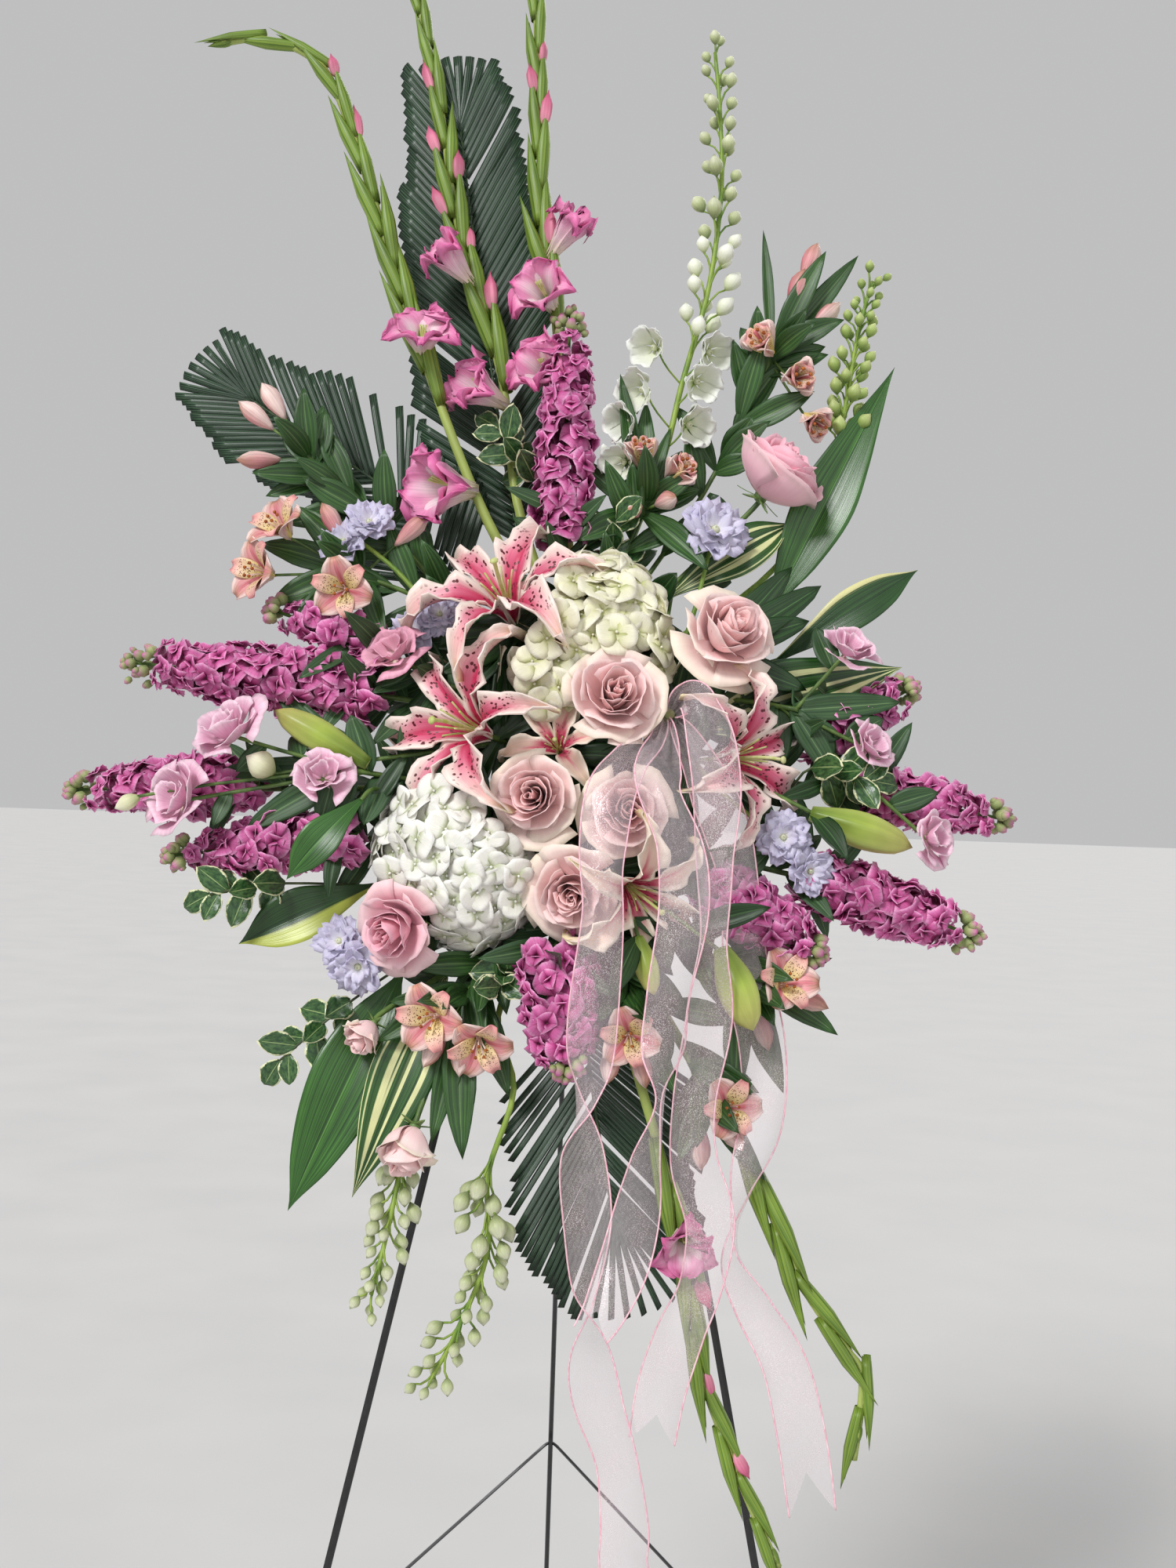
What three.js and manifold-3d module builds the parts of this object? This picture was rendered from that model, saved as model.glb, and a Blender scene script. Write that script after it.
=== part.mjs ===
// A standing funeral spray: one-sided mixed flowers in wet foam on a folding wire easel.
// Millimetres, +Z up, the easel faces -Y.
// Places in the spray are [across, up, out] from its heart: up runs along the leaning front frame
// of the easel, out runs squarely away from that frame towards the viewer.
import * as THREE from 'three';
import { mergeVertices } from 'three/addons/utils/BufferGeometryUtils.js';
import Module from 'manifold-3d';

const wasm = await Module();
wasm.setup();

// Driving dimensions.
const clearance = 0.35;
const leanAngle = THREE.MathUtils.degToRad(10);
const heartHeight = 1022;
const centring = [25, -41, 0];

const easel = {
  apexHeight: 1220,
  spreadPerHeight: 0.206,
  legRadius: 3.4,
  barRadius: 2.5,
  barOut: 1.3,
  barUps: [-75, 75],
  bendLength: 48,
  legOvershoot: 12,
  hingeHeight: 1150,
  backLegAngle: THREE.MathUtils.degToRad(15),
  backLegRadius: 2.3,
  eyeInner: 2.9,
  eyeOuter: 5.8,
  eyeLength: 9,
  stayHeight: 345,
  stayRadius: 1.5,
  stayRest: THREE.MathUtils.degToRad(5.8),
  stayReach: 355,
  stayCurl: 7,
  stayEyeWall: 2.2,
  stayEyeLength: 5.5,
  stayEyeInset: 4.6,
  pinRadius: 1.7,
  pinInset: 13,
  pinHead: 3.2,
};

const foam = { halfWidth: 55, halfHeight: 115, back: 7.1, front: 83, rootDepth: 22 };
const tray = {
  floorBack: 4.2,
  wall: 2.6,
  rim: 17,
  hookWidth: 10,
  hookAcross: 12,
  strapUps: [-58, 58],
  strapWidth: 7,
};
const ribbonGather = [74, 34, 126];
const ribbonWidth = 38;
const ribbonThick = 0.8;
const gatherSteps = 2.5;

const finishes = {
  blackWire: { color: 0x17181a, roughness: 0.45, metalness: 0.6 },
  greenPlastic: { color: 0x2c5a35, roughness: 0.5, metalness: 0 },
  wetFoam: { color: 0x3f6b45, roughness: 0.95, metalness: 0 },
  pickWood: { color: 0x9d8a5c, roughness: 0.8, metalness: 0 },
  organza: { color: 0xf2cfd6, roughness: 0.45, metalness: 0 },
  gladiolus: { color: 0xa9b56a, roughness: 0.6, metalness: 0 },
  whiteLarkspur: { color: 0xeef0e4, roughness: 0.6, metalness: 0 },
  lilacLarkspur: { color: 0xd9b7dc, roughness: 0.6, metalness: 0 },
  stock: { color: 0xb4619f, roughness: 0.65, metalness: 0 },
  lily: { color: 0xe0708f, roughness: 0.5, metalness: 0 },
  rose: { color: 0xf0b9b8, roughness: 0.6, metalness: 0 },
  hydrangea: { color: 0xf3f1df, roughness: 0.65, metalness: 0 },
  lisianthus: { color: 0xd48fc0, roughness: 0.6, metalness: 0 },
  alstroemeria: { color: 0xef8f88, roughness: 0.55, metalness: 0 },
  palm: { color: 0x2f5a34, roughness: 0.5, metalness: 0 },
  aspidistra: { color: 0x3f7a3f, roughness: 0.4, metalness: 0 },
  pittosporum: { color: 0x9fb377, roughness: 0.5, metalness: 0 },
};

// Vectors and frames.
const vector = ([x, y, z]) => new THREE.Vector3(x, y, z);
const unit = (list) => vector(list).normalize();
const mix = (a, b, t) => a.clone().lerp(b, t);

// The frame of a thing that grows along its own +Y from an origin and shows its +Z side.
function growing(origin, direction, facing = new THREE.Vector3(0, 0, 1)) {
  const along = direction.clone().normalize();
  let across = new THREE.Vector3().crossVectors(along, facing);
  if (across.length() < 0.05) across = new THREE.Vector3().crossVectors(along, new THREE.Vector3(0, 1, 0.3));
  across.normalize();
  const out = new THREE.Vector3().crossVectors(across, along);
  return new THREE.Matrix4().makeBasis(across, along, out).setPosition(origin);
}

// Turns a frame about its own +Y.
const spun = (frame, angle) => frame.clone().multiply(new THREE.Matrix4().makeRotationY(angle));

// A closed geometry as a solid, its shared vertices merged and its faces turned out.
function solidOf(geometry, frame = new THREE.Matrix4()) {
  const plain = geometry.clone().applyMatrix4(frame);
  plain.deleteAttribute('normal');
  plain.deleteAttribute('uv');
  const merged = mergeVertices(plain, 1e-4);
  const corners = merged.index.array;
  const triVerts = [];
  for (let i = 0; i < corners.length; i += 3) {
    const [a, b, c] = [corners[i], corners[i + 1], corners[i + 2]];
    if (a !== b && b !== c && c !== a) triVerts.push(a, b, c);
  }
  const vertProperties = merged.attributes.position.array;
  const build = (list) => new wasm.Manifold(
    new wasm.Mesh({ numProp: 3, vertProperties, triVerts: new Uint32Array(list) }));
  const solid = build(triVerts);
  return solid.volume() > 0 ? solid : build(triVerts.toReversed());
}

const joined = (solids) => solids.reduce((whole, next) => whole.add(next));

// The largest body of a solid, with loose scraps and sealed hollows left behind.
function largestBody(solid) {
  const bodies = solid.decompose();
  return bodies.reduce((best, body) => (body.volume() > best.volume() ? body : best));
}

function geometryOf(solid) {
  const { vertProperties, triVerts, numProp } = solid.getMesh();
  const positions = new Float32Array((vertProperties.length / numProp) * 3);
  for (let i = 0; i < positions.length / 3; i += 1) {
    for (let axis = 0; axis < 3; axis += 1) positions[i * 3 + axis] = vertProperties[i * numProp + axis];
  }
  const geometry = new THREE.BufferGeometry();
  geometry.setAttribute('position', new THREE.BufferAttribute(positions, 3));
  geometry.setIndex([...triVerts]);
  geometry.computeVertexNormals();
  return geometry;
}

function shell(vertices, faces) {
  const geometry = new THREE.BufferGeometry();
  const blank = (size) => new THREE.Float32BufferAttribute(new Float32Array(vertices.length * size), size);
  geometry.setAttribute('position', new THREE.Float32BufferAttribute(vertices.flat(), 3));
  geometry.setAttribute('normal', blank(3));
  geometry.setAttribute('uv', blank(2));
  geometry.setIndex(faces.flat());
  return geometry;
}

// A route whose extrusion steps fall on its own points.
class Route extends THREE.Curve {
  constructor(points) {
    super();
    this.points = points;
  }

  getPointAt(u, target = new THREE.Vector3()) {
    const place = u * (this.points.length - 1);
    const from = Math.min(Math.floor(place + 1e-6), this.points.length - 2);
    return target.lerpVectors(this.points[from], this.points[from + 1], place - from);
  }

  getTangentAt(u, target = new THREE.Vector3()) {
    const at = Math.round(u * (this.points.length - 1));
    const before = this.points[Math.max(at - 1, 0)];
    const after = this.points[Math.min(at + 1, this.points.length - 1)];
    return target.subVectors(after, before).normalize();
  }
}

const polygon = (sides, radius) => new THREE.Shape(
  Array.from({ length: sides }, (_, i) => new THREE.Vector2(
    radius * Math.cos((i * 2 * Math.PI) / sides), radius * Math.sin((i * 2 * Math.PI) / sides))));

// A round bar or stem through a list of points.
const tube = (points, radius, sides = 3) => new THREE.ExtrudeGeometry(polygon(sides, radius), {
  steps: points.length - 1,
  extrudePath: new Route(points),
});

// A form turned about +Y from [radius, height] pairs that start and end on the axis.
const turned = (profile, sides) => new THREE.LatheGeometry(
  profile.map(([radius, height]) => new THREE.Vector2(radius, height)), sides);

// A thin flower about +Y inside an outline of points, one list of them for each lobe and beginning with
// its notch. A lobe is [over, under] points of its middle, or null. Growing thickens the rim as well.
function flowerShell({ eye, root, lobes, middles, grow }) {
  const vertices = [eye.toArray(), root.toArray()];
  const add = (point, lift) => vertices.push([point.x, point.y + lift, point.z]) - 1;
  const spread = (point) => {
    const r = Math.hypot(point.x, point.z);
    return point.clone().setX(point.x * (1 + 1.6 * grow / r)).setZ(point.z * (1 + 1.6 * grow / r));
  };
  const rim = lobes.map((points) => points.map((point) => {
    const wide = grow ? spread(point) : point;
    const over = add(wide, 1.6 * grow);
    return [over, grow ? add(wide, -1.6 * grow) : over];
  }));
  const faces = [];
  rim.forEach((points, i) => {
    const loop = [...points, rim[(i + 1) % rim.length][0]];
    const lifts = [1.6 * grow, -1.6 * grow];
    const inner = middles ? middles[i].map((point, side) => add(point, lifts[side])) : [0, 1];
    if (middles) {
      faces.push([0, loop[0][0], inner[0]], [0, inner[0], loop.at(-1)[0]]);
      faces.push([1, inner[1], loop[0][1]], [1, loop.at(-1)[1], inner[1]]);
    }
    for (let k = 0; k + 1 < loop.length; k += 1) {
      const [[over, under], [overNext, underNext]] = [loop[k], loop[k + 1]];
      faces.push([inner[0], over, overNext], [inner[1], underNext, under]);
      if (grow) faces.push([over, under, underNext], [over, underNext, overNext]);
    }
  });
  return shell(vertices, faces);
}

function rimPoint(lobe, lobes, [turn, out, rise]) {
  const angle = ((lobe + turn) * 2 * Math.PI) / lobes;
  return new THREE.Vector3(out * Math.sin(angle), rise, out * Math.cos(angle));
}

// An open floret about +Y: pointed or broad lobes round an eye, drawn down behind to the root point
// that it springs from.
function star({
  lobes, radius, notch = 0.5, depth = 0, root = [0, -2, 0], eye = 1, broad = false, grow = 0,
}) {
  const stops = broad ? [[0, notch, 0.3], [0.28, 1, 1], [0.72, 1, 1]] : [[0, notch, 0.2], [0.5, 1, 1]];
  const back = vector(root);
  return flowerShell({
    eye: new THREE.Vector3(0, eye + 1.6 * grow, 0),
    root: back.addScaledVector(back.clone().normalize(), 6 * grow),
    lobes: Array.from({ length: lobes }, (_, lobe) => stops.map(
      ([turn, reach, rise]) => rimPoint(lobe, lobes, [turn, radius * reach, depth * rise]))),
    grow,
  });
}

// One lily flower about +Y: recurved pointed tepals, each raised along its middle, as one thin body.
// A tepal is read round as its notch, shoulder, tip and shoulder.
function corolla({ tepals, reach, depth, thick, grow = 0 }) {
  const outline = [[0, 0.27, 0.3], [0.24, 0.7, 0.98], [0.5, 1.12, 0.62], [0.76, 0.7, 0.98]];
  const sized = ([turn, out, rise]) => [turn, reach * out, depth * rise];
  return flowerShell({
    eye: new THREE.Vector3(0, thick + 1.6 * grow, 0),
    root: new THREE.Vector3(0, -0.12 * reach - 3 * grow, 0),
    lobes: Array.from({ length: 6 }, (_, lobe) => outline.map(
      (stop, i) => rimPoint(lobe, 6, sized(i && !tepals.includes(lobe) ? [stop[0], 0.3, 0.3] : stop)))),
    middles: Array.from({ length: 6 }, (_, lobe) => [1, -1].map((side) => {
      const middle = tepals.includes(lobe) ? [0.5, 0.62, 1.06] : [0.5, 0.2, 0.2];
      return rimPoint(lobe, 6, sized(middle)).add(new THREE.Vector3(0, (side * thick) / 2, 0));
    })),
    grow,
  });
}

// Rings of points about +Y closed to a point at both ends. Each ring is [radius, height] at its even
// and at its odd points, so that lobes stand out of it; start and end are heights on the axis.
function ringed(start, rings, end, sides) {
  const vertices = [[0, start, 0], [0, end, 0]];
  rings.forEach((stops) => {
    for (let i = 0; i < sides; i += 1) {
      const [radius, height] = stops[i % stops.length];
      const angle = (i * 2 * Math.PI) / sides;
      vertices.push([radius * Math.sin(angle), height, radius * Math.cos(angle)]);
    }
  });
  const at = (ring, i) => 2 + ring * sides + (i % sides);
  const faces = [];
  for (let i = 0; i < sides; i += 1) {
    faces.push([0, at(0, i + 1), at(0, i)], [1, at(rings.length - 1, i), at(rings.length - 1, i + 1)]);
    for (let ring = 0; ring + 1 < rings.length; ring += 1) {
      faces.push([at(ring, i), at(ring, i + 1), at(ring + 1, i + 1)]);
      faces.push([at(ring, i), at(ring + 1, i + 1), at(ring + 1, i)]);
    }
  }
  return shell(vertices, faces);
}

// A small leaf or bud between two points, widest at a share of its length. A leaf has left, top, right
// and under edges there; a bud is three-sided.
function kite({
  root, tip, half, thick, widest = 0.5, facing = [0, 0, 1], bulge = 0, bud = false, grow = 0,
}) {
  const [from, to] = [vector(root), vector(tip)];
  const along = to.clone().sub(from).normalize();
  const across = new THREE.Vector3().crossVectors(along, unit(facing)).normalize();
  const out = new THREE.Vector3().crossVectors(across, along);
  const middle = mix(from, to, widest).addScaledVector(out, bulge);
  from.addScaledVector(along, -grow);
  to.addScaledVector(along, grow * 2);
  const corner = (x, z) => middle.clone().addScaledVector(across, x).addScaledVector(out, z).toArray();
  const [w, t] = [half + 1.6 * grow, thick / 2 + 1.6 * grow];
  const ring = bud ? [[-w, -t / 2], [0, t], [w, -t / 2]] : [[-w, 0], [0, t], [w, 0], [0, -t]];
  const vertices = [from.toArray(), to.toArray(), ...ring.map(([x, z]) => corner(x, z))];
  const faces = [];
  for (let i = 0; i < ring.length; i += 1) {
    const [first, second] = [2 + i, 2 + ((i + 1) % ring.length)];
    faces.push([0, second, first], [1, first, second]);
  }
  return shell(vertices, faces);
}

// A piece gathers its solids, and the guards that keep later pieces clear of it.
function piece(name, finish) {
  return { name, finish, solids: [], guards: [], holes: [] };
}

function addForm(target, geometry, frame, guard = null) {
  target.solids.push(solidOf(geometry, frame));
  if (guard) target.guards.push(solidOf(guard, frame));
}

// A star whose root is a place in the spray: the point of the stem that it springs from.
function addStar(target, shape, frame, springsFrom = null) {
  const root = springsFrom ? springsFrom.clone().applyMatrix4(frame.clone().invert()).toArray() : shape.root;
  const whole = { ...shape, ...(root ? { root } : {}) };
  addForm(target, star(whole), frame, star({ ...whole, grow: clearance }));
}

function addKite(target, shape) {
  const still = new THREE.Matrix4();
  addForm(target, kite(shape), still, kite({ ...shape, grow: clearance }));
}

// The radius of a tube that clears one of the given radius and sides all round.
const clearOf = (radius, sides) => radius + clearance / Math.cos(Math.PI / sides);

function addTube(target, points, radius, sides = 3) {
  const grown = points.map((place) => place.clone());
  grown[0].addScaledVector(points[0].clone().sub(points[1]).normalize(), clearance);
  grown.at(-1).addScaledVector(points.at(-1).clone().sub(points.at(-2)).normalize(), clearance);
  target.solids.push(solidOf(tube(points, radius, sides)));
  target.guards.push(solidOf(tube(grown, clearOf(radius, sides), sides)));
}

// Where a stem that makes for a place leaves the foam, aimed from a height on the foam's middle line.
function foamExit(place, aimUp) {
  const start = new THREE.Vector3(0, aimUp, (foam.back + foam.front) / 2);
  const heading = place.clone().sub(start).normalize();
  const room = [foam.halfWidth, foam.halfHeight, (foam.front - foam.back) / 2];
  const middle = [0, 0, start.z];
  let reach = Infinity;
  ['x', 'y', 'z'].forEach((axis, i) => {
    const side = Math.sign(heading[axis]) || 1;
    const travel = (middle[i] + side * room[i] - start[axis]) / (heading[axis] || 1e-9);
    reach = Math.min(reach, travel);
  });
  return { exit: start.clone().addScaledVector(heading, reach), heading };
}

// A stem rooted in the foam that runs by the given points, with its plain hole in the foam.
function addStem(target, points, radius = 2, aimUp = null) {
  const aim = aimUp ?? THREE.MathUtils.clamp(points[0].y * 0.45, -80, 80);
  const { exit, heading } = foamExit(points[0], aim);
  const root = exit.clone().addScaledVector(heading, -foam.rootDepth);
  addTube(target, [root, exit, ...points], radius);
  const hole = [root.clone().addScaledVector(heading, -clearance), exit.clone().addScaledVector(heading, 8)];
  target.holes.push(solidOf(tube(hole, clearOf(radius, 3))));
}

const curvedRoute = (points, steps) => new THREE.CatmullRomCurve3(points).getPoints(steps);

// Stalks by their routes: one straight from the foam, or all from one short stem that ends at a fork.
function addStalks(target, routes, radius, { fork = null, aim = null } = {}) {
  if (!fork) {
    routes.forEach((route) => addStem(target, route, radius, aim));
    return;
  }
  const top = vector(fork);
  const { heading } = foamExit(top, aim);
  addStem(target, [top], radius + 0.5, aim);
  routes.forEach((route, k) => {
    const spring = top.clone().addScaledVector(heading, -1 - 3 * k);
    addTube(target, [spring, ...route], radius);
  });
}

// The easel, its front frame lying in the plane out = 0. Its legs overshoot the floor and are cut off there.
const panelFrame = new THREE.Matrix4().makeRotationX(Math.PI / 2 - leanAngle).setPosition(0, 0, heartHeight);
const panelUp = (height) => (height - heartHeight) / Math.cos(leanAngle);
const frameHalf = (up) => easel.spreadPerHeight * (easel.apexHeight - heartHeight - up * Math.cos(leanAngle));
const belowFloor = new THREE.BoxGeometry(2000, 2000, 60).translate(0, 0, -30);
const hingeBack = (easel.hingeHeight - heartHeight) * Math.tan(leanAngle);
const hinge = new THREE.Vector3(0, hingeBack, easel.hingeHeight);
const pinPlace = new THREE.Vector3(
  frameHalf(panelUp(easel.stayHeight)),
  (easel.stayHeight - heartHeight) * Math.tan(leanAngle),
  easel.stayHeight,
);

function makeEaselFrame() {
  const frame = piece('easel_frame', 'blackWire');
  const foot = panelUp(-easel.legOvershoot);
  const shoulder = panelUp(easel.apexHeight) - easel.bendLength;
  const apex = new THREE.Vector3(0, panelUp(easel.apexHeight), 0);
  const shoulders = [-1, 1].map((side) => new THREE.Vector3(side * frameHalf(shoulder), shoulder, 0));
  const bend = new THREE.QuadraticBezierCurve3(shoulders[0], apex, shoulders[1]).getPoints(6);
  const feet = [-1, 1].map((side) => new THREE.Vector3(side * frameHalf(foot), foot, 0));
  addTube(frame, [feet[0], ...bend, feet[1]], easel.legRadius, 6);
  for (const up of easel.barUps) {
    const half = frameHalf(up);
    addTube(frame, [new THREE.Vector3(-half, up, easel.barOut), new THREE.Vector3(half, up, easel.barOut)],
      easel.barRadius, 6);
  }
  const hingeUp = panelUp(easel.hingeHeight);
  const hingeHalf = frameHalf(hingeUp);
  addTube(frame, [new THREE.Vector3(-hingeHalf, hingeUp, 0), new THREE.Vector3(hingeHalf, hingeUp, 0)],
    easel.barRadius, 8);
  for (const side of [-1, 1]) {
    const pinUp = panelUp(easel.stayHeight);
    const onLeg = new THREE.Vector3(side * pinPlace.x, pinUp, 0);
    const inner = new THREE.Vector3(side * (pinPlace.x - easel.pinInset), pinUp, 0);
    addTube(frame, [onLeg, inner], easel.pinRadius, 8);
    addTube(frame, [inner, inner.clone().setX(inner.x - side * 2)], easel.pinHead, 8);
  }
  const floor = solidOf(belowFloor, panelFrame.clone().invert());
  frame.solids = [joined(frame.solids).subtract(floor)];
  return frame;
}

// A short sleeve on an axis along X, the rolled eye of a wire.
function sleeve(inner, outer, length, sides) {
  const half = length / 2;
  const ring = turned([[inner, -half], [outer, -half], [outer, half], [inner, half], [inner, -half]], sides);
  return ring.rotateZ(Math.PI / 2);
}

function makeBackLeg() {
  const leg = piece('easel_back_leg', 'blackWire');
  const heading = new THREE.Vector3(0, Math.sin(easel.backLegAngle), -Math.cos(easel.backLegAngle));
  const start = hinge.clone().addScaledVector(heading, (easel.eyeInner + easel.eyeOuter) / 2);
  const reach = (easel.hingeHeight + easel.legOvershoot) / Math.cos(easel.backLegAngle);
  const end = hinge.clone().addScaledVector(heading, reach);
  const eye = solidOf(sleeve(easel.eyeInner, easel.eyeOuter, easel.eyeLength, 12),
    new THREE.Matrix4().setPosition(hinge));
  const rod = solidOf(tube([start, end], easel.backLegRadius, 8));
  leg.solids = [eye.add(rod).subtract(solidOf(belowFloor))];
  return leg;
}

function makeStay() {
  const stay = piece('easel_stay', 'blackWire');
  const cornerHeight = easel.stayHeight + easel.stayReach * Math.sin(easel.stayRest);
  const legBehind = hinge.y + (easel.hingeHeight - cornerHeight) * Math.tan(easel.backLegAngle);
  const corner = new THREE.Vector3(0, legBehind + easel.backLegRadius + easel.stayRadius + easel.stayCurl,
    cornerHeight);
  const eyes = [-1, 1].map((side) => new THREE.Vector3(
    side * (pinPlace.x - easel.legRadius - easel.stayEyeInset), pinPlace.y, pinPlace.z));
  const inner = easel.pinRadius + clearance;
  const starts = eyes.map((eye) => eye.clone().addScaledVector(
    corner.clone().sub(eye).normalize(), inner + 1));
  const shoulders = starts.map((start) => corner.clone().addScaledVector(
    start.clone().sub(corner).normalize(), 2 * easel.stayCurl));
  const bend = new THREE.QuadraticBezierCurve3(shoulders[0], corner, shoulders[1]).getPoints(4);
  const at = eyes.map((eye) => new THREE.Matrix4().setPosition(eye));
  const ring = sleeve(inner, inner + easel.stayEyeWall, easel.stayEyeLength, 10);
  const bore = new THREE.CylinderGeometry(inner, inner, easel.stayEyeLength + 2.5, 10).rotateZ(Math.PI / 2);
  const rings = at.map((frame) => solidOf(ring, frame));
  const bores = at.map((frame) => solidOf(bore, frame));
  const wire = solidOf(tube([starts[0], ...bend, starts[1]], easel.stayRadius, 6));
  stay.solids = [wire.subtract(joined(bores)).add(joined(rings))];
  return stay;
}

// The foam's plastic holder: a shallow tray with two straps, hooked over both cross bars.
function makeTray() {
  const holder = piece('foam_holder', 'greenPlastic');
  const gap = 0.3;
  const [halfWidth, halfHeight] = [foam.halfWidth + gap, foam.halfHeight + gap];
  const block = (width, height, back, front) => solidOf(
    new THREE.BoxGeometry(2 * width, 2 * height, front - back).translate(0, 0, (front + back) / 2));
  const outer = block(halfWidth + tray.wall, halfHeight + tray.wall, tray.floorBack, tray.rim);
  const inside = block(halfWidth, halfHeight, foam.back - gap, tray.rim + 1);
  holder.solids.push(outer.subtract(inside));
  const [edge, thick] = [halfWidth, 1.8];
  const strap = new THREE.Shape([
    [-edge - thick, tray.rim - 3], [-edge, tray.rim - 3], [-edge, foam.front + gap], [edge, foam.front + gap],
    [edge, tray.rim - 3], [edge + thick, tray.rim - 3], [edge + thick, foam.front + gap + thick],
    [-edge - thick, foam.front + gap + thick],
  ].map(([x, y]) => new THREE.Vector2(x, y)));
  for (const up of tray.strapUps) {
    const geometry = new THREE.ExtrudeGeometry(strap, { depth: tray.strapWidth, bevelEnabled: false });
    geometry.translate(0, 0, -tray.strapWidth / 2).rotateX(Math.PI / 2);
    holder.solids.push(solidOf(geometry, new THREE.Matrix4().setPosition(0, up, 0)));
  }
  const hook = new THREE.Shape([
    [5, -2], [5, 5.3], [-3.6, 5.3], [-3.6, -3], [-1.6, -3], [-1.6, 2.9], [4.2, 2.9], [4.2, -2],
  ].map(([x, y]) => new THREE.Vector2(x, y)));
  for (const up of easel.barUps) {
    for (const side of [-1, 1]) {
      const geometry = new THREE.ExtrudeGeometry(hook, { depth: tray.hookWidth, bevelEnabled: false });
      geometry.translate(0, 0, -tray.hookWidth / 2).rotateY(-Math.PI / 2);
      holder.solids.push(solidOf(geometry, new THREE.Matrix4().setPosition(side * tray.hookAcross, up, 0)));
    }
  }
  holder.guards = holder.solids;
  return holder;
}

// The flowers. Each maker returns one piece: its stem from the foam, and what grows on it.
const scaled = (rings, size) => rings.map((stops) => stops.map(([r, h]) => [r * size, h * size]));

// A rose: three ranks of broad petals, rims standing over the hollows between ranks.
// Each ring is read round as the notch and the two shoulders of four petals.
const roseRings = [
  [[0.6, 0.06]],
  [[0.88, 0.52], [1.06, 0.5], [1.06, 0.5]],
  [[0.62, 0.4]],
  [[0.72, 0.8], [0.6, 0.72], [0.72, 0.8]],
  [[0.42, 0.6]],
  [[0.4, 0.98], [0.44, 1], [0.34, 0.92]],
];
const budRings = [
  [[0.3, -0.05]],
  [[0.62, 0.35], [0.7, 0.3], [0.66, 0.3]],
  [[0.5, 1.0], [0.56, 1.1], [0.44, 0.98]],
  [[0.3, 0.85]],
  [[0.26, 1.2], [0.3, 1.22], [0.2, 1.15]],
];
const roseHull = [
  [0, -0.2], [0.34, -0.16], [0.86, 0.16], [1.16, 0.44], [1.16, 0.58], [0.84, 0.94], [0.5, 1.08], [0, 1.08],
];
const budHull = [[0, -0.2], [0.36, -0.16], [0.76, 0.3], [0.6, 1.16], [0, 1.3]];

function addRoseBloom(target, { at, face, radius, open = true, turn = 0 }) {
  const facing = unit(face);
  const base = vector(at).addScaledVector(facing, -0.45 * radius);
  const frame = spun(growing(base, facing, new THREE.Vector3(0, 1, 0)), turn);
  const [rings, hull, top, sides] = open ? [roseRings, roseHull, 0.76, 12] : [budRings, budHull, 1, 9];
  addForm(target, ringed(-0.16 * radius, scaled(rings, radius), top * radius, sides), frame);
  target.guards.push(solidOf(turned(hull.map(([r, h]) => [r * radius, h * radius]), 9), frame));
}

function makeRose({ name, blooms, fork, aim }) {
  const rose = piece(name, 'rose');
  const routes = blooms.map(({ at, face, radius, by = [] }) => {
    const neck = vector(at).addScaledVector(unit(face), -0.5 * radius);
    return [...by.map(vector), neck.clone().addScaledVector(unit(face), -0.6 * radius), neck];
  });
  addStalks(rose, routes, 2.3, { fork, aim });
  blooms.forEach((bloom) => addRoseBloom(rose, bloom));
  return rose;
}

// A stargazer lily: six recurved tepals from a six-sided throat, and the pistil.
function makeLily({
  name, at, face, reach, turn = 0, tepals = [0, 1, 2, 3, 4, 5], buds = [], aim = null, by = [],
}) {
  const lily = piece(name, 'lily');
  const facing = unit(face);
  const base = vector(at).addScaledVector(facing, -0.3 * reach);
  const neck = base.clone().addScaledVector(facing, -0.3 * reach);
  addStem(lily, [...by.map(vector), neck, base], 2.4, aim);
  const frame = spun(growing(base, facing, new THREE.Vector3(0, 1, 0)), turn);
  const shape = { tepals, reach, depth: 0.4 * reach, thick: 1.6 };
  addForm(lily, corolla(shape), frame, corolla({ ...shape, grow: clearance }));
  const [style, stigma] = [[0, -0.05, 0], [0, 0.72, -0.1]].map(
    (place) => vector(place).multiplyScalar(reach).applyMatrix4(frame));
  const pistil = { half: 2, thick: 4, widest: 0.94, facing: [0, 1, 0.2], bud: true };
  addKite(lily, { root: style.toArray(), tip: stigma.toArray(), ...pistil });
  for (const bud of buds) {
    const [root, tip] = [bud.base, bud.tip].map(vector);
    addTube(lily, [neck, mix(root, tip, 0.1)], 1.7);
    const length = tip.distanceTo(root);
    const form = (extra) => turned([[0, -extra], [bud.radius * 0.6 + extra, length * 0.1],
      [bud.radius + extra, length * 0.6], [0, length + extra]], 6);
    addForm(lily, form(0), growing(root, tip.clone().sub(root)), form(clearance));
  }
  return lily;
}

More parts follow.
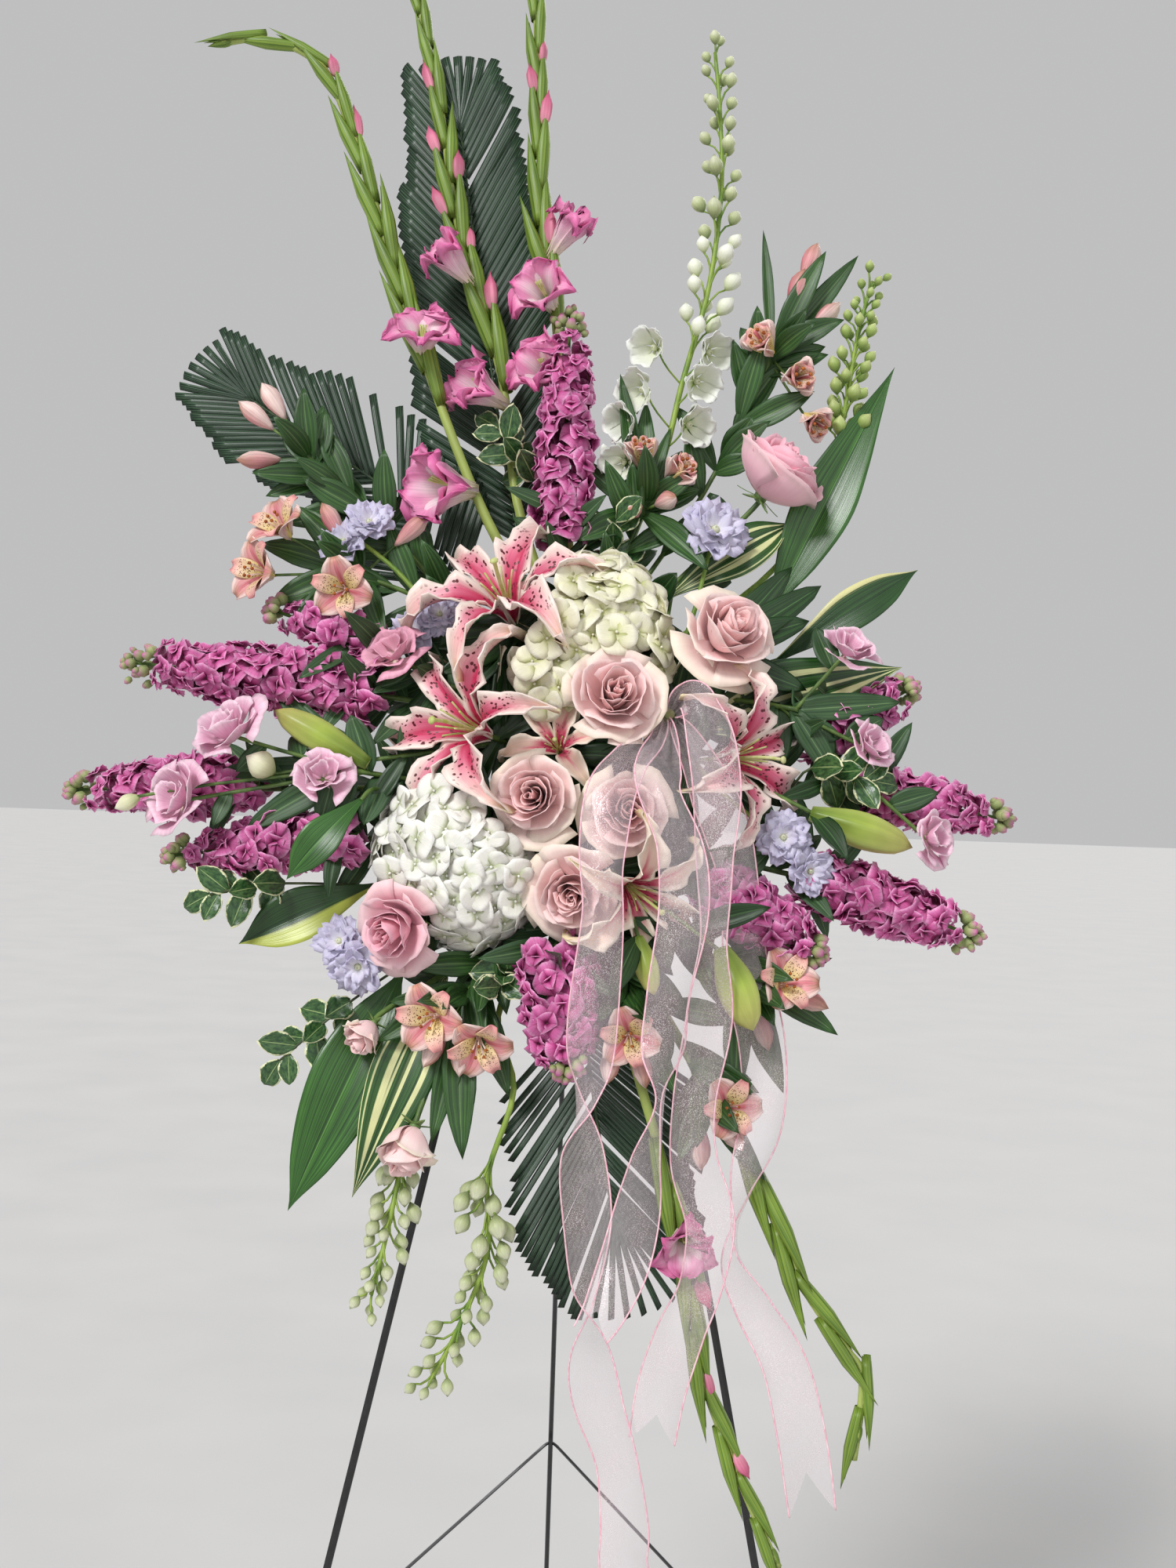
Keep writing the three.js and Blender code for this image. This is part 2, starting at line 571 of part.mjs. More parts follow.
// A mophead: a small domed core under four-lobed florets set by the golden angle.
// No florets stand in its hollows, [across, up, radius], where other blooms press into the head.
function makeHydrangea({ name, at, face, radius, height, florets, hollows, aim = null }) {
  const head = piece(name, 'hydrangea');
  const facing = unit(face);
  const base = vector(at);
  addStem(head, [base.clone().addScaledVector(facing, -4), base.clone().addScaledVector(facing, 8)], 3, aim);
  const frame = growing(base, facing, new THREE.Vector3(0, 1, 0));
  const core = [[0, -4], [0.5 * radius, 0], [0.56 * radius, 0.3 * height], [0, 0.68 * height]];
  addForm(head, turned(core, 6), frame);
  const floret = { lobes: 4, radius: (1.45 * radius) / Math.sqrt(florets), depth: 4, eye: 1.5 };
  const golden = Math.PI * (3 - Math.sqrt(5));
  for (let i = 0; i < florets; i += 1) {
    const polar = Math.acos(1 - (1.04 * (i + 0.5)) / florets);
    const [x, z] = [Math.sin(polar) * Math.sin(i * golden), Math.sin(polar) * Math.cos(i * golden)];
    const y = Math.cos(polar);
    const on = (share) => new THREE.Vector3(
      share * x * radius, share * y * height, share * z * radius).applyMatrix4(frame);
    const place = on(0.95);
    if (hollows.some(([across, up, reach]) => Math.hypot(place.x - across, place.y - up) < reach)) continue;
    const outward = new THREE.Vector3(x / radius, y / height, z / radius).normalize();
    outward.transformDirection(frame);
    const stand = spun(growing(place, outward, facing), i * 1.3);
    const root = on(0.44).applyMatrix4(stand.clone().invert()).toArray();
    addStar(head, { ...floret, root }, stand);
  }
  const hull = turned([[0, -6], [0.54 * radius, -3], [0.6 * radius, 0.32 * height], [0, 0.74 * height]], 6);
  head.guards.push(solidOf(hull, frame));
  return head;
}

// Points evenly spaced along a stem, with the direction there.
function stations(points, from, to, count) {
  const path = new THREE.CurvePath();
  points.slice(1).forEach((point, i) => path.add(new THREE.LineCurve3(points[i], point)));
  return Array.from({ length: count }, (_, i) => {
    const share = i / Math.max(count - 1, 1);
    const u = Math.min(from + (to - from) * share, 0.9999);
    return { place: path.getPoint(u), along: path.getTangent(u), share };
  });
}

function nearestOn(points, place) {
  return stations(points, 0, 1, 60).reduce(
    (best, stop) => (stop.place.distanceTo(place) < best.distanceTo(place) ? stop.place : best), points[0]);
}

// A stock spike about its axis: rows of ruffled florets, each standing over the hollow before the next.
function addStockSpike(target, { base, tip, width, rows }) {
  const [root, end] = [vector(base), vector(tip)];
  const length = end.distanceTo(root);
  const frame = growing(root, end.clone().sub(root));
  const half = width / 2;
  const reach = (share) => half * (share < 0.3 ? 0.86 + 0.45 * share : 1 - 0.8 * (share - 0.3) ** 1.5);
  const rings = [];
  for (let row = 0; row < rows; row += 1) {
    const share = (row + 0.45) / rows;
    const [full, hollow] = [reach(share), 0.5 * reach(share)];
    const rim = [[full, (share + 0.06) * length], [0.66 * full, share * length]];
    const valley = [[hollow, (share + 0.36 / rows) * length], [0.8 * full, (share + 0.6 / rows) * length]];
    rings.push(row % 2 ? rim.toReversed() : rim, row % 2 ? valley.toReversed() : valley);
  }
  addForm(target, ringed(0, rings, length, 8), frame);
  const hull = [
    [0, -2], [0.95 * half, 0.04 * length], [1.04 * half, 0.3 * length], [0.86 * half, 0.8 * length],
    [0.58 * half, 0.99 * length], [0, length + 1],
  ];
  target.guards.push(solidOf(turned(hull, 8), frame));
}

function makeStock({ name, spikes, fork, aim }) {
  const stock = piece(name, 'stock');
  const routes = spikes.map(({ base, tip, by = [] }) => {
    const start = vector(base);
    return [...by.map(vector), mix(start, vector(tip), 0.06)];
  });
  addStalks(stock, routes, 2.4, { fork, aim });
  spikes.forEach((spike) => addStockSpike(stock, spike));
  return stock;
}

// A gladiolus spike: a long stem with alternate sheathed buds, and open florets at given places.
// A floret's tube, this share of its length, makes straight for its mouth from the stem.
const tubeShare = 0.3;

function makeGladiolus({ name, route, budsFrom = 0.3, buds = 10, florets = [], aim = null }) {
  const spike = piece(name, 'gladiolus');
  const points = curvedRoute(route.map(vector), 6);
  addStem(spike, points, 2.8, aim);
  for (const { place, along, share } of stations(points, budsFrom, 0.985, buds)) {
    const side = Math.round(share * (buds - 1)) % 2 ? 1 : -1;
    const across = new THREE.Vector3().crossVectors(along, new THREE.Vector3(0, 0, 1)).multiplyScalar(side);
    const heading = along.clone().addScaledVector(across, 0.62 - 0.2 * share).normalize();
    const length = 40 - 14 * share;
    addKite(spike, {
      root: place.toArray(),
      tip: place.clone().addScaledVector(heading, length).toArray(),
      half: 7.5 - 3 * share,
      thick: 13 - 5 * share,
      widest: 0.5,
      bulge: 2,
      bud: true,
    });
  }
  for (const { at, face, radius, depth } of florets) {
    const mouth = vector(at);
    const from = nearestOn(points, mouth.clone().addScaledVector(unit(face), -depth));
    const length = mouth.distanceTo(from);
    const throat = mix(from, mouth, tubeShare);
    const shape = { lobes: 6, radius, notch: 0.66, depth: (1 - tubeShare) * length, eye: 3, broad: true };
    addStar(spike, shape, growing(throat, mouth.sub(from)), from);
  }
  return spike;
}

// Larkspur: small round buds on short stalks all along, and open florets of five lobes.
function makeLarkspur({ name, finish, branches, fork, aim }) {
  const stem = piece(name, finish);
  addStalks(stem, branches.map(({ route }) => curvedRoute(route.map(vector), 4)), 1.8, { fork, aim });
  branches.forEach(({ route, from = 0.2, buds = 12, size = 6, florets = [] }) => {
    const points = curvedRoute(route.map(vector), 4);
    for (const { place, along, share } of buds ? stations(points, from, 1, buds) : []) {
      const angle = share * (buds - 1) * 2.4;
      const side = new THREE.Vector3().crossVectors(along, new THREE.Vector3(0, 0, 1)).normalize();
      const forward = new THREE.Vector3(0, 0, 0.75 * Math.cos(angle));
      const outward = side.multiplyScalar(Math.sin(angle)).add(forward);
      const heading = (share === 1 ? along.clone() : outward.addScaledVector(along, 0.8)).normalize();
      const length = (28 - 12 * share) * (size / 6);
      const half = size - 2.2 * share;
      addKite(stem, {
        root: place.toArray(),
        tip: place.clone().addScaledVector(heading, length).toArray(),
        half,
        thick: 2 * half,
        widest: 0.7,
        bud: true,
      });
    }
    for (const { at, face, radius = 15, doubled = false } of florets) {
      const centre = vector(at);
      const facing = unit(face);
      const eye = doubled ? 0.5 * radius : 1.2;
      const shape = { lobes: 5, radius, notch: 0.55, depth: 0.3 * radius, eye, broad: doubled };
      addStar(stem, shape, growing(centre, facing), nearestOn(points, centre));
    }
  });
  return stem;
}

// Lisianthus: ruffled double cups and slim buds on branching stems.
const lisianthusRings = [[[0.3, 0.02]], [[1, 0.66], [0.8, 0.58]], [[0.5, 0.46]], [[0.42, 0.72], [0.56, 0.8]]];

function makeLisianthus({ name, hub, blooms, by = [], buds = [], aim = null }) {
  const stem = piece(name, 'lisianthus');
  const top = vector(hub);
  const before = vector(by.at(-1) ?? foamExit(top, aim).exit.toArray());
  const spring = (k) => top.clone().addScaledVector(before.clone().sub(top).normalize(), 2 + 6 * k);
  addStem(stem, [...by.map(vector), top], 2.2, aim);
  blooms.forEach(({ at, face, radius }, k) => {
    const facing = unit(face);
    const base = vector(at).addScaledVector(facing, -0.6 * radius);
    const neck = base.clone().addScaledVector(facing, 0.1 * radius);
    addTube(stem, [spring(k), base.clone().addScaledVector(facing, -0.5 * radius), neck], 1.8);
    const cup = ringed(-0.04 * radius, scaled(lisianthusRings, radius), 0.36 * radius, 8);
    const hull = [[0, -0.08], [0.37, -0.03], [1.05, 0.6], [1, 0.74], [0.6, 0.86], [0, 0.86]].map(
      ([r, h]) => [r * radius, h * radius]);
    addForm(stem, cup, growing(base, facing), turned(hull, 8));
  });
  buds.forEach(({ at, tip, radius = 6 }, k) => {
    addTube(stem, [spring(blooms.length + k), mix(vector(at), vector(tip), 0.15)], 1.5);
    addKite(stem, { root: at, tip, half: radius, thick: 2 * radius, widest: 0.4, bud: true });
  });
  return stem;
}

// Alstroemeria: flared florets and slim buds from the top of each stem, with lance leaves.
function makeAlstroemeria({ name, clusters, fork: start, aim }) {
  const stem = piece(name, 'alstroemeria');
  addStalks(stem, clusters.map(({ by = [], hub }) => [...by, hub].map(vector)), 1.9, { fork: start, aim });
  for (const { by = [], hub, open = [], buds = [], leaves = [] } of clusters) {
    const top = vector(hub);
    const before = vector(by.at(-1) ?? start ?? foamExit(top, aim ?? top.y * 0.45).exit.toArray());
    const along = top.clone().sub(before).normalize();
    const spring = (k) => top.clone().addScaledVector(along, -2 - 3.5 * k);
    open.forEach(({ at, face, radius = 17 }, k) => {
      const facing = unit(face);
      const throat = vector(at).addScaledVector(facing, -0.75 * radius);
      const shape = { lobes: 6, radius, notch: 0.5, depth: 0.85 * radius, eye: 1.5 };
      addStar(stem, shape, growing(throat, facing), spring(k));
    });
    buds.forEach(({ tip }, k) => {
      const root = spring(open.length + k).toArray();
      addKite(stem, { root, tip, half: 4.8, thick: 9, widest: 0.66, bud: true });
    });
    leaves.forEach(({ tip, half = 6 }, k) => {
      const root = spring(open.length + buds.length + k).toArray();
      addKite(stem, { root, tip, half, thick: 1.4, widest: 0.5, bulge: 3 });
    });
  }
  return stem;
}

// A palm frond trimmed square: alternate leaflets cut to the rib in one thin arched blade.
function makePalm({ name, route, leaflets, reach, sweep = 0.9, aim = null }) {
  const frond = piece(name, 'palm');
  const stops = stations(curvedRoute(route.map(vector), 12), 0, 1, leaflets + 2);
  addStem(frond, [stops[0].place, stops[1].place], 2.2, aim);
  const build = (grow) => {
    const vertices = [];
    const faces = [];
    const rib = stops.map(({ place, along }) => {
      const across = new THREE.Vector3().crossVectors(along, new THREE.Vector3(0, 0, 1)).normalize();
      const out = new THREE.Vector3().crossVectors(across, along);
      const top = vertices.push(place.clone().addScaledVector(out, 1.3 + grow).toArray()) - 1;
      const under = vertices.push(place.clone().addScaledVector(out, -1.3 - grow).toArray()) - 1;
      return { place, along, across, out, top, under };
    });
    const leaflet = (first, side) => {
      const share = first / leaflets;
      const [from, middle, to] = [rib[first], rib[first + 1], rib[first + 2]];
      const length = reach * (0.7 + 0.5 * Math.sin(Math.PI * (0.2 + 0.65 * share))) + grow;
      const heading = middle.along.clone().multiplyScalar(sweep + 0.8 * share)
        .addScaledVector(middle.across, side).addScaledVector(middle.out, -0.05).normalize();
      const edge = middle.along.clone().multiplyScalar(5).addScaledVector(middle.across, -side * 3);
      const end = middle.place.clone().addScaledVector(heading, length);
      const near = vertices.push(end.clone().sub(edge).toArray()) - 1;
      const far = vertices.push(end.clone().add(edge).toArray()) - 1;
      const list = [
        [from.top, near, middle.top], [middle.top, near, far], [middle.top, far, to.top],
        [from.under, middle.under, near], [middle.under, far, near], [middle.under, to.under, far],
        [from.top, from.under, near], [to.top, far, to.under],
      ];
      faces.push(...(side > 0 ? list.map(([a, b, c]) => [a, c, b]) : list));
    };
    for (let first = 0; first + 2 < rib.length; first += 2) leaflet(first, 1);
    for (let first = 1; first + 2 < rib.length; first += 2) leaflet(first, -1);
    return { vertices, faces, rib };
  };
  const close = ({ vertices, faces, rib }) => {
    const bridge = (a, b) => faces.push([a.top, b.top, b.under], [a.top, b.under, a.under]);
    bridge(rib[1], rib[0]);
    const [ahead, last] = rib.slice(-2);
    if (rib.length % 2) bridge(last, ahead);
    else bridge(ahead, last);
    return shell(vertices, faces);
  };
  addForm(frond, close(build(0)), new THREE.Matrix4(), close(build(clearance)));
  return frond;
}

// A broad leaf and its stalk as one blade: stalk stations first, then the leaf's own.
function addLeaf(target, {
  from, by = [], at, tip, half, shares = [0.55, 1, 0.8, 0], arch = 12, facing = [0, 0, 1],
}) {
  const [base, end] = [vector(at), vector(tip)];
  const out = unit(facing);
  const stops = [from, ...by.map(vector), base].map((place) => ({ place, width: 1.7, thick: 3.4 }));
  shares.forEach((share, i) => {
    const t = (i + 1) / shares.length;
    const place = mix(base, end, t).addScaledVector(out, 4 * arch * t * (1 - t));
    stops.push({ place, width: share * half, thick: 1.4 });
  });
  const build = (grow) => {
    const vertices = [];
    stops.forEach(({ place, width, thick }, i) => {
      const [before, after] = [stops[Math.max(i - 1, 0)], stops[Math.min(i + 1, stops.length - 1)]];
      const along = after.place.clone().sub(before.place);
      const across = new THREE.Vector3().crossVectors(along, out).normalize();
      const up = new THREE.Vector3().crossVectors(across, along).normalize();
      const edge = i > by.length + 1 ? 0.16 * width : 0;
      const corner = (x, z) => place.clone().addScaledVector(across, x).addScaledVector(up, z).toArray();
      if (width === 0) {
        vertices.push(place.clone().addScaledVector(along.normalize(), grow * 2).toArray());
        return;
      }
      const [w, t] = [width + 2.5 * grow, thick / 2 + 1.7 * grow];
      vertices.push(corner(-w, edge), corner(0, t), corner(w, edge), corner(0, -t));
    });
    const faces = [[0, 3, 2], [0, 2, 1]];
    const rings = stops.length - 1;
    for (let i = 0; i + 1 < rings; i += 1) {
      const [left, top, right, under] = [0, 1, 2, 3].map((k) => 4 * i + k);
      const [leftNext, topNext, rightNext, underNext] = [4, 5, 6, 7].map((k) => 4 * i + k);
      faces.push([left, top, topNext], [left, topNext, leftNext]);
      faces.push([top, right, topNext], [right, rightNext, topNext]);
      faces.push([left, underNext, under], [left, leftNext, underNext]);
      faces.push([under, underNext, right], [right, underNext, rightNext]);
    }
    const [left, top, right, under] = [0, 1, 2, 3].map((k) => 4 * (rings - 1) + k);
    const point = 4 * rings;
    faces.push([left, top, point], [top, right, point], [right, under, point], [under, left, point]);
    return shell(vertices, faces);
  };
  const still = new THREE.Matrix4();
  addForm(target, build(0), still, build(clearance));
}

// Broad leaves whose stalks meet in one stem at the foam.
function makeLeaves({ name, finish, leaves, fork, aim }) {
  const bunch = piece(name, finish);
  addStem(bunch, [vector(fork)], 2.4, aim);
  for (const leaf of leaves) addLeaf(bunch, { ...leaf, from: vector(fork) });
  return bunch;
}

// Pittosporum: small leaves in whorls along a woody twig.
function makePittosporum({ name, sprigs, fork, aim }) {
  const twig = piece(name, 'pittosporum');
  addStalks(twig, sprigs.map(({ by = [], at, tip }) => [...by, at, tip].map(vector)), 1.5, { fork, aim });
  for (const { at, tip, leaves = 6, length = 36, half = 11 } of sprigs) {
    const [base, end] = [vector(at), vector(tip)];
    const heading = end.clone().sub(base).normalize();
    for (let i = 0; i < leaves; i += 1) {
      const share = i / (leaves - 1);
      const side = new THREE.Vector3().crossVectors(heading, new THREE.Vector3(0, 0, 1)).normalize();
      const forward = new THREE.Vector3(0, 0, 0.6 * Math.cos(i * 2.4));
      const outward = side.multiplyScalar(Math.sin(i * 2.4)).add(forward);
      const direction = heading.clone().multiplyScalar(0.35 + 0.5 * share).add(outward).normalize();
      const root = mix(base, end, share * 0.98);
      addKite(twig, {
        root: root.toArray(),
        tip: root.clone().addScaledVector(direction, length * (1 - 0.2 * share)).toArray(),
        half: half * (1 - 0.15 * share),
        thick: 1.6,
        facing: [0, 0.2, 1],
        bulge: 3,
      });
    }
  }
  return twig;
}

// The ribbon's pick: a stake in the foam with the wired knot that the tails hang from.
function makePick() {
  const pick = piece('ribbon_pick', 'pickWood');
  const knot = vector(ribbonGather);
  const back = knot.clone().add(new THREE.Vector3(-8, -4, -30));
  addStem(pick, [back, knot], 1.8, 0);
  const frame = growing(knot, knot.clone().sub(back));
  addForm(pick, turned([[0, -4], [4.5, -4], [4.5, 4], [0, 4]], 8), frame,
    turned([[0, -4.4], [5, -4.4], [5, 4.4], [0, 4.4]], 8));
  return pick;
}

// One tail of ribbon through [across, up, out, turn in degrees] stops, gathered narrow at its top.
function makeRibbon({ name, stops, steps, start = 0 }) {
  const tail = piece(name, 'organza');
  const curve = new THREE.CatmullRomCurve3(stops.map(vector), false, 'centripetal');
  const turns = stops.map(([, , , turn]) => turn);
  const build = (extra) => {
    const vertices = [];
    const faces = [];
    for (let i = 0; i <= steps; i += 1) {
      const t = i / steps;
      const place = curve.getPoint(t);
      const along = curve.getTangent(t);
      if (i === 0) place.addScaledVector(along, -extra);
      if (i === steps) place.addScaledVector(along, extra);
      const k = Math.min(Math.floor(t * (turns.length - 1)), turns.length - 2);
      const turn = THREE.MathUtils.lerp(turns[k], turns[k + 1], t * (turns.length - 1) - k);
      const across = new THREE.Vector3().crossVectors(along, new THREE.Vector3(0, 0.15, 1)).normalize();
      across.applyAxisAngle(along, THREE.MathUtils.degToRad(turn));
      const out = new THREE.Vector3().crossVectors(across, along);
      const spreading = THREE.MathUtils.lerp(0.2, 1, Math.min(1, t * steps / gatherSteps));
      const half = (ribbonWidth / 2) * spreading + extra * 2;
      const thick = ribbonThick / 2 + extra;
      for (const [x, z] of [[-half, thick], [half, thick], [half, -thick], [-half, -thick]]) {
        vertices.push(place.clone().addScaledVector(across, x).addScaledVector(out, z).toArray());
      }
    }
    for (let i = 0; i < steps; i += 1) {
      for (let side = 0; side < 4; side += 1) {
        const [a, b] = [i * 4 + side, i * 4 + ((side + 1) % 4)];
        // The two broad faces fold along the same diagonal, so that a twist keeps them parallel.
        if (side === 2) faces.push([a, b, a + 4], [b, b + 4, a + 4]);
        else faces.push([a, b, b + 4], [a, b + 4, a + 4]);
      }
    }
    const end = steps * 4;
    faces.push([0, 2, 1], [0, 3, 2], [end, end + 1, end + 2], [end, end + 2, end + 3]);
    return shell(vertices, faces);
  };
  tail.solids.push(solidOf(build(0)));
  tail.guards.push(solidOf(build(clearance)));
  return tail;
}

const ribbons = [
  {
    name: 'ribbon_front', steps: 20,
    stops: [
      [70, 30, 129, 0], [60, 12, 136, 0], [44, -9, 160, 0], [31, -38, 184, 0], [26, -86, 190, 0],
      [28, -131, 187, 0], [24, -193, 176, 0], [22, -232, 165, 10], [19, -262, 158, 70],
      [18, -299, 150, 150], [25, -350, 140, 190], [26, -401, 130, 240], [30, -440, 122, 320],
      [37, -480, 112, 360], [52, -526, 100, 380], [60, -571, 90, 360], [61, -600, 84, 350],
      [70, -634, 78, 360], [77, -662, 72, 370],
    ],
  },
  {
    name: 'ribbon_middle', steps: 15,
    stops: [
      [72, 28, 131, 20], [70, 8, 150, 0], [66, -16, 182, -10], [67, -40, 200, 0],
      [82, -80, 202, 10], [86, -124, 197, 10], [78, -180, 188, 0], [76, -219, 178, -20],
      [75, -258, 170, -80], [68, -303, 160, -50], [62, -337, 152, -20], [52, -377, 154, 0],
      [40, -404, 160, 20], [28, -424, 166, 40],
    ],
  },
  {
    name: 'ribbon_right', steps: 16,
    stops: [
      [78, 36, 130, 30], [86, 42, 150, 20], [94, 38, 168, 0], [103, 12, 178, 0], [110, -33, 176, 0],
      [108, -85, 168, 30], [108, -143, 160, 60], [109, -200, 150, 20], [101, -257, 142, 0],
      [102, -303, 136, 0], [115, -348, 128, 10], [109, -394, 120, 20], [96, -428, 114, 10],
      [84, -469, 106, 0], [78, -509, 98, 0],
    ],
  },
  {
    name: 'ribbon_behind', steps: 14,
    stops: [
      [79, 30, 126, 0], [90, 14, 126, 0], [106, -15, 124, 0], [124, -60, 126, 0],
      [134, -100, 116, 0], [140, -157, 106, 10], [153, -215, 104, 20], [155, -273, 102, 0],
      [142, -325, 100, -60], [135, -372, 98, -100], [154, -411, 95, -140], [176, -451, 90, -170],
      [190, -502, 82, -180], [200, -559, 74, -180],
    ],
  },
];

// The spray's layout, in [across, up, out] millimetres from its heart.
const roses = [
  {
    name: 'rose_upper_right',
    blooms: [{ at: [122, 105, 120], face: [0.35, 0.25, 0.9], radius: 43 }],
  },
  {
    name: 'rose_centre',
    blooms: [{ at: [33, 44, 150], face: [0.1, 0.1, 1], radius: 42, turn: 0.4 }],
  },
  {
    name: 'rose_centre_left',
    blooms: [{ at: [-27, -36, 145], face: [-0.15, -0.1, 1], radius: 38, turn: 0.9 }],
  },
  {
    name: 'rose_centre_right',
    blooms: [{ at: [45, -45, 140], face: [0.15, -0.1, 1], radius: 37, turn: 1.3 }],
  },
  {
    name: 'rose_lower',
    blooms: [{ at: [5, -109, 140], face: [-0.1, -0.35, 0.9], radius: 37, turn: 0.2 }],
  },
  {
    name: 'rose_left',
    blooms: [{ at: [-131, -139, 120], face: [-0.45, -0.45, 0.8], radius: 36, turn: 0.7 }],
  },
  {
    name: 'rose_top_right',
    blooms: [{ at: [160, 249, 75], face: [0.6, 0.75, 0.45], radius: 36, turn: 0.3 }],
  },
  {
    name: 'rose_hanging', fork: [-55, -128, 50], aim: -60,
    blooms: [
      {
        at: [-113, -302, 98], face: [-0.25, -0.95, 0.25], radius: 31, open: false,
        by: [[-82, -200, 72]],
      },
      {
        at: [-151, -218, 95], face: [-0.5, -0.7, 0.4], radius: 22, open: false,
        by: [[-85, -160, 62]],
      },
    ],
  },
];

const lilies = [
  { name: 'lily_upper_left', at: [-59, 131, 115], face: [-0.35, 0.3, 0.9], reach: 80, turn: 0.35 },
  {
    name: 'lily_left', at: [-85, 21, 125], face: [-0.45, 0.05, 0.9], reach: 80, turn: 0.1,
    buds: [{ base: [-159, -8, 100], tip: [-236, 33, 100], radius: 13 }],
  },
  {
    name: 'lily_right', at: [135, 5, 120], face: [0.4, 0, 0.9], reach: 68, turn: 0.5,
    buds: [{ base: [188, -36, 108], tip: [267, -61, 112], radius: 14 }],
  },
  {
    name: 'lily_small', at: [-12, 10, 116], face: [-0.2, 0.2, 1], reach: 44, turn: 0.2,
    tepals: [0, 1, 3, 4, 5],
  },
  {
    name: 'lily_lower', at: [55, -107, 135], face: [0.5, -0.2, 0.85], reach: 52, turn: 0.8,
    buds: [
      { base: [56, -139, 130], tip: [69, -183, 138], radius: 9 },
      { base: [118, -146, 138], tip: [143, -207, 144], radius: 15 },
    ],
  },
];

const hydrangeas = [
  {
    name: 'hydrangea_upper', at: [5, 95, 94], face: [0, 0.12, 1], radius: 74, height: 52,
    florets: 19,
    hollows: [
      [33, 44, 50], [122, 105, 58], [-59, 131, 62], [-85, 21, 66], [-12, 10, 36],
    ],
  },
  {
    name: 'hydrangea_lower', at: [-81, -78, 90], face: [-0.35, -0.25, 0.9], radius: 70, height: 56,
    florets: 18,
    hollows: [[-27, -36, 48], [-131, -139, 46], [-85, 21, 66], [5, -109, 44]],
  },
];

const stocks = [
  {
    name: 'stock_top',
    spikes: [{ base: [-14, 195, 66], tip: [-15, 393, 58], width: 56, rows: 5 }],
  },
  {
    name: 'stock_left_upper', fork: [-62, 45, 55], aim: 42,
    spikes: [
      { base: [-155, 53, 80], tip: [-361, 71, 68], width: 62, rows: 5 },
      { base: [-167, 92, 76], tip: [-248, 118, 72], width: 44, rows: 3, by: [[-120, 75, 66]] },
    ],
  },
  {
    name: 'stock_left_middle',
    spikes: [{ base: [-249, -25, 70], tip: [-402, -34, 58], width: 56, rows: 5 }],
  },
  {
    name: 'stock_left_lower',
    spikes: [
      {
        base: [-165, -66, 84], tip: [-315, -87, 76], width: 54, rows: 4,
        by: [[-110, -54, 40], [-154, -61, 60]],
      },
    ],
  },
  {
    name: 'stock_lower',
    spikes: [{ base: [-8, -150, 108], tip: [5, -243, 118], width: 70, rows: 4 }],
  },
  {
    name: 'stock_right_inner',
    spikes: [{ base: [112, -93, 100], tip: [197, -146, 98], width: 58, rows: 4 }],
  },
  {
    name: 'stock_right_lower',
    spikes: [{ base: [186, -82, 82], tip: [323, -124, 76], width: 58, rows: 5 }],
  },
  {
    name: 'stock_right_upper', fork: [62, 12, 52], aim: 10,
    spikes: [
      { base: [188, 25, 72], tip: [275, 78, 60], width: 52, rows: 3 },
      { base: [225, -8, 66], tip: [352, -27, 56], width: 52, rows: 4, by: [[140, 0, 58]] },
    ],
  },
];

const gladioli = [
  {
    name: 'gladiolus_left',
    route: [
      [-78, 212, 50], [-123, 314, 52], [-170, 442, 50], [-206, 546, 46], [-234, 612, 45],
      [-262, 638, 45], [-300, 646, 47], [-331, 638, 50],
    ],
    buds: 10,
    florets: [
      { at: [-138, 372, 74], face: [-0.2, 0.5, 0.8], radius: 26, depth: 30 },
      { at: [-127, 227, 84], face: [-0.5, 0.2, 0.9], radius: 30, depth: 30 },
    ],
  },
  {
    name: 'gladiolus_middle',
    route: [
      [-54, 232, 38], [-72, 344, 36], [-116, 483, 30], [-140, 612, 26], [-170, 730, 22],
    ],
    buds: 8,
    florets: [
      { at: [-100, 327, 66], face: [-0.3, 0.5, 0.8], radius: 22, depth: 28 },
      { at: [-128, 450, 58], face: [-0.3, 0.8, 0.5], radius: 18, depth: 34 },
    ],
  },
  {
    name: 'gladiolus_right',
    route: [
      [-12, 232, 26], [-28, 400, 26], [-44, 496, 24], [-51, 619, 22], [-62, 765, 20],
    ],
    budsFrom: 0.4, buds: 8,
    florets: [
      { at: [-44, 418, 62], face: [-0.1, 0.3, 0.9], radius: 24, depth: 28 },
      { at: [-13, 487, 48], face: [0.4, 0.8, 0.5], radius: 18, depth: 34 },
    ],
  },
  {
    name: 'gladiolus_low', aim: -70,
    route: [
      [34, -160, 68], [60, -240, 76], [81, -305, 78], [101, -374, 76], [115, -459, 70],
      [136, -515, 64], [158, -564, 58], [178, -603, 54],
    ],
    budsFrom: 0.4, buds: 8,
    florets: [{ at: [100, -372, 104], face: [0.1, -0.3, 0.9], radius: 28, depth: 28 }],
  },
  {
    name: 'gladiolus_low_right', aim: -62,
    route: [
      [66, -170, 60], [110, -240, 64], [148, -297, 68], [170, -350, 72], [194, -400, 74],
      [223, -439, 74], [237, -462, 74], [232, -522, 66],
    ],
    budsFrom: 0.45, buds: 7,
  },
];

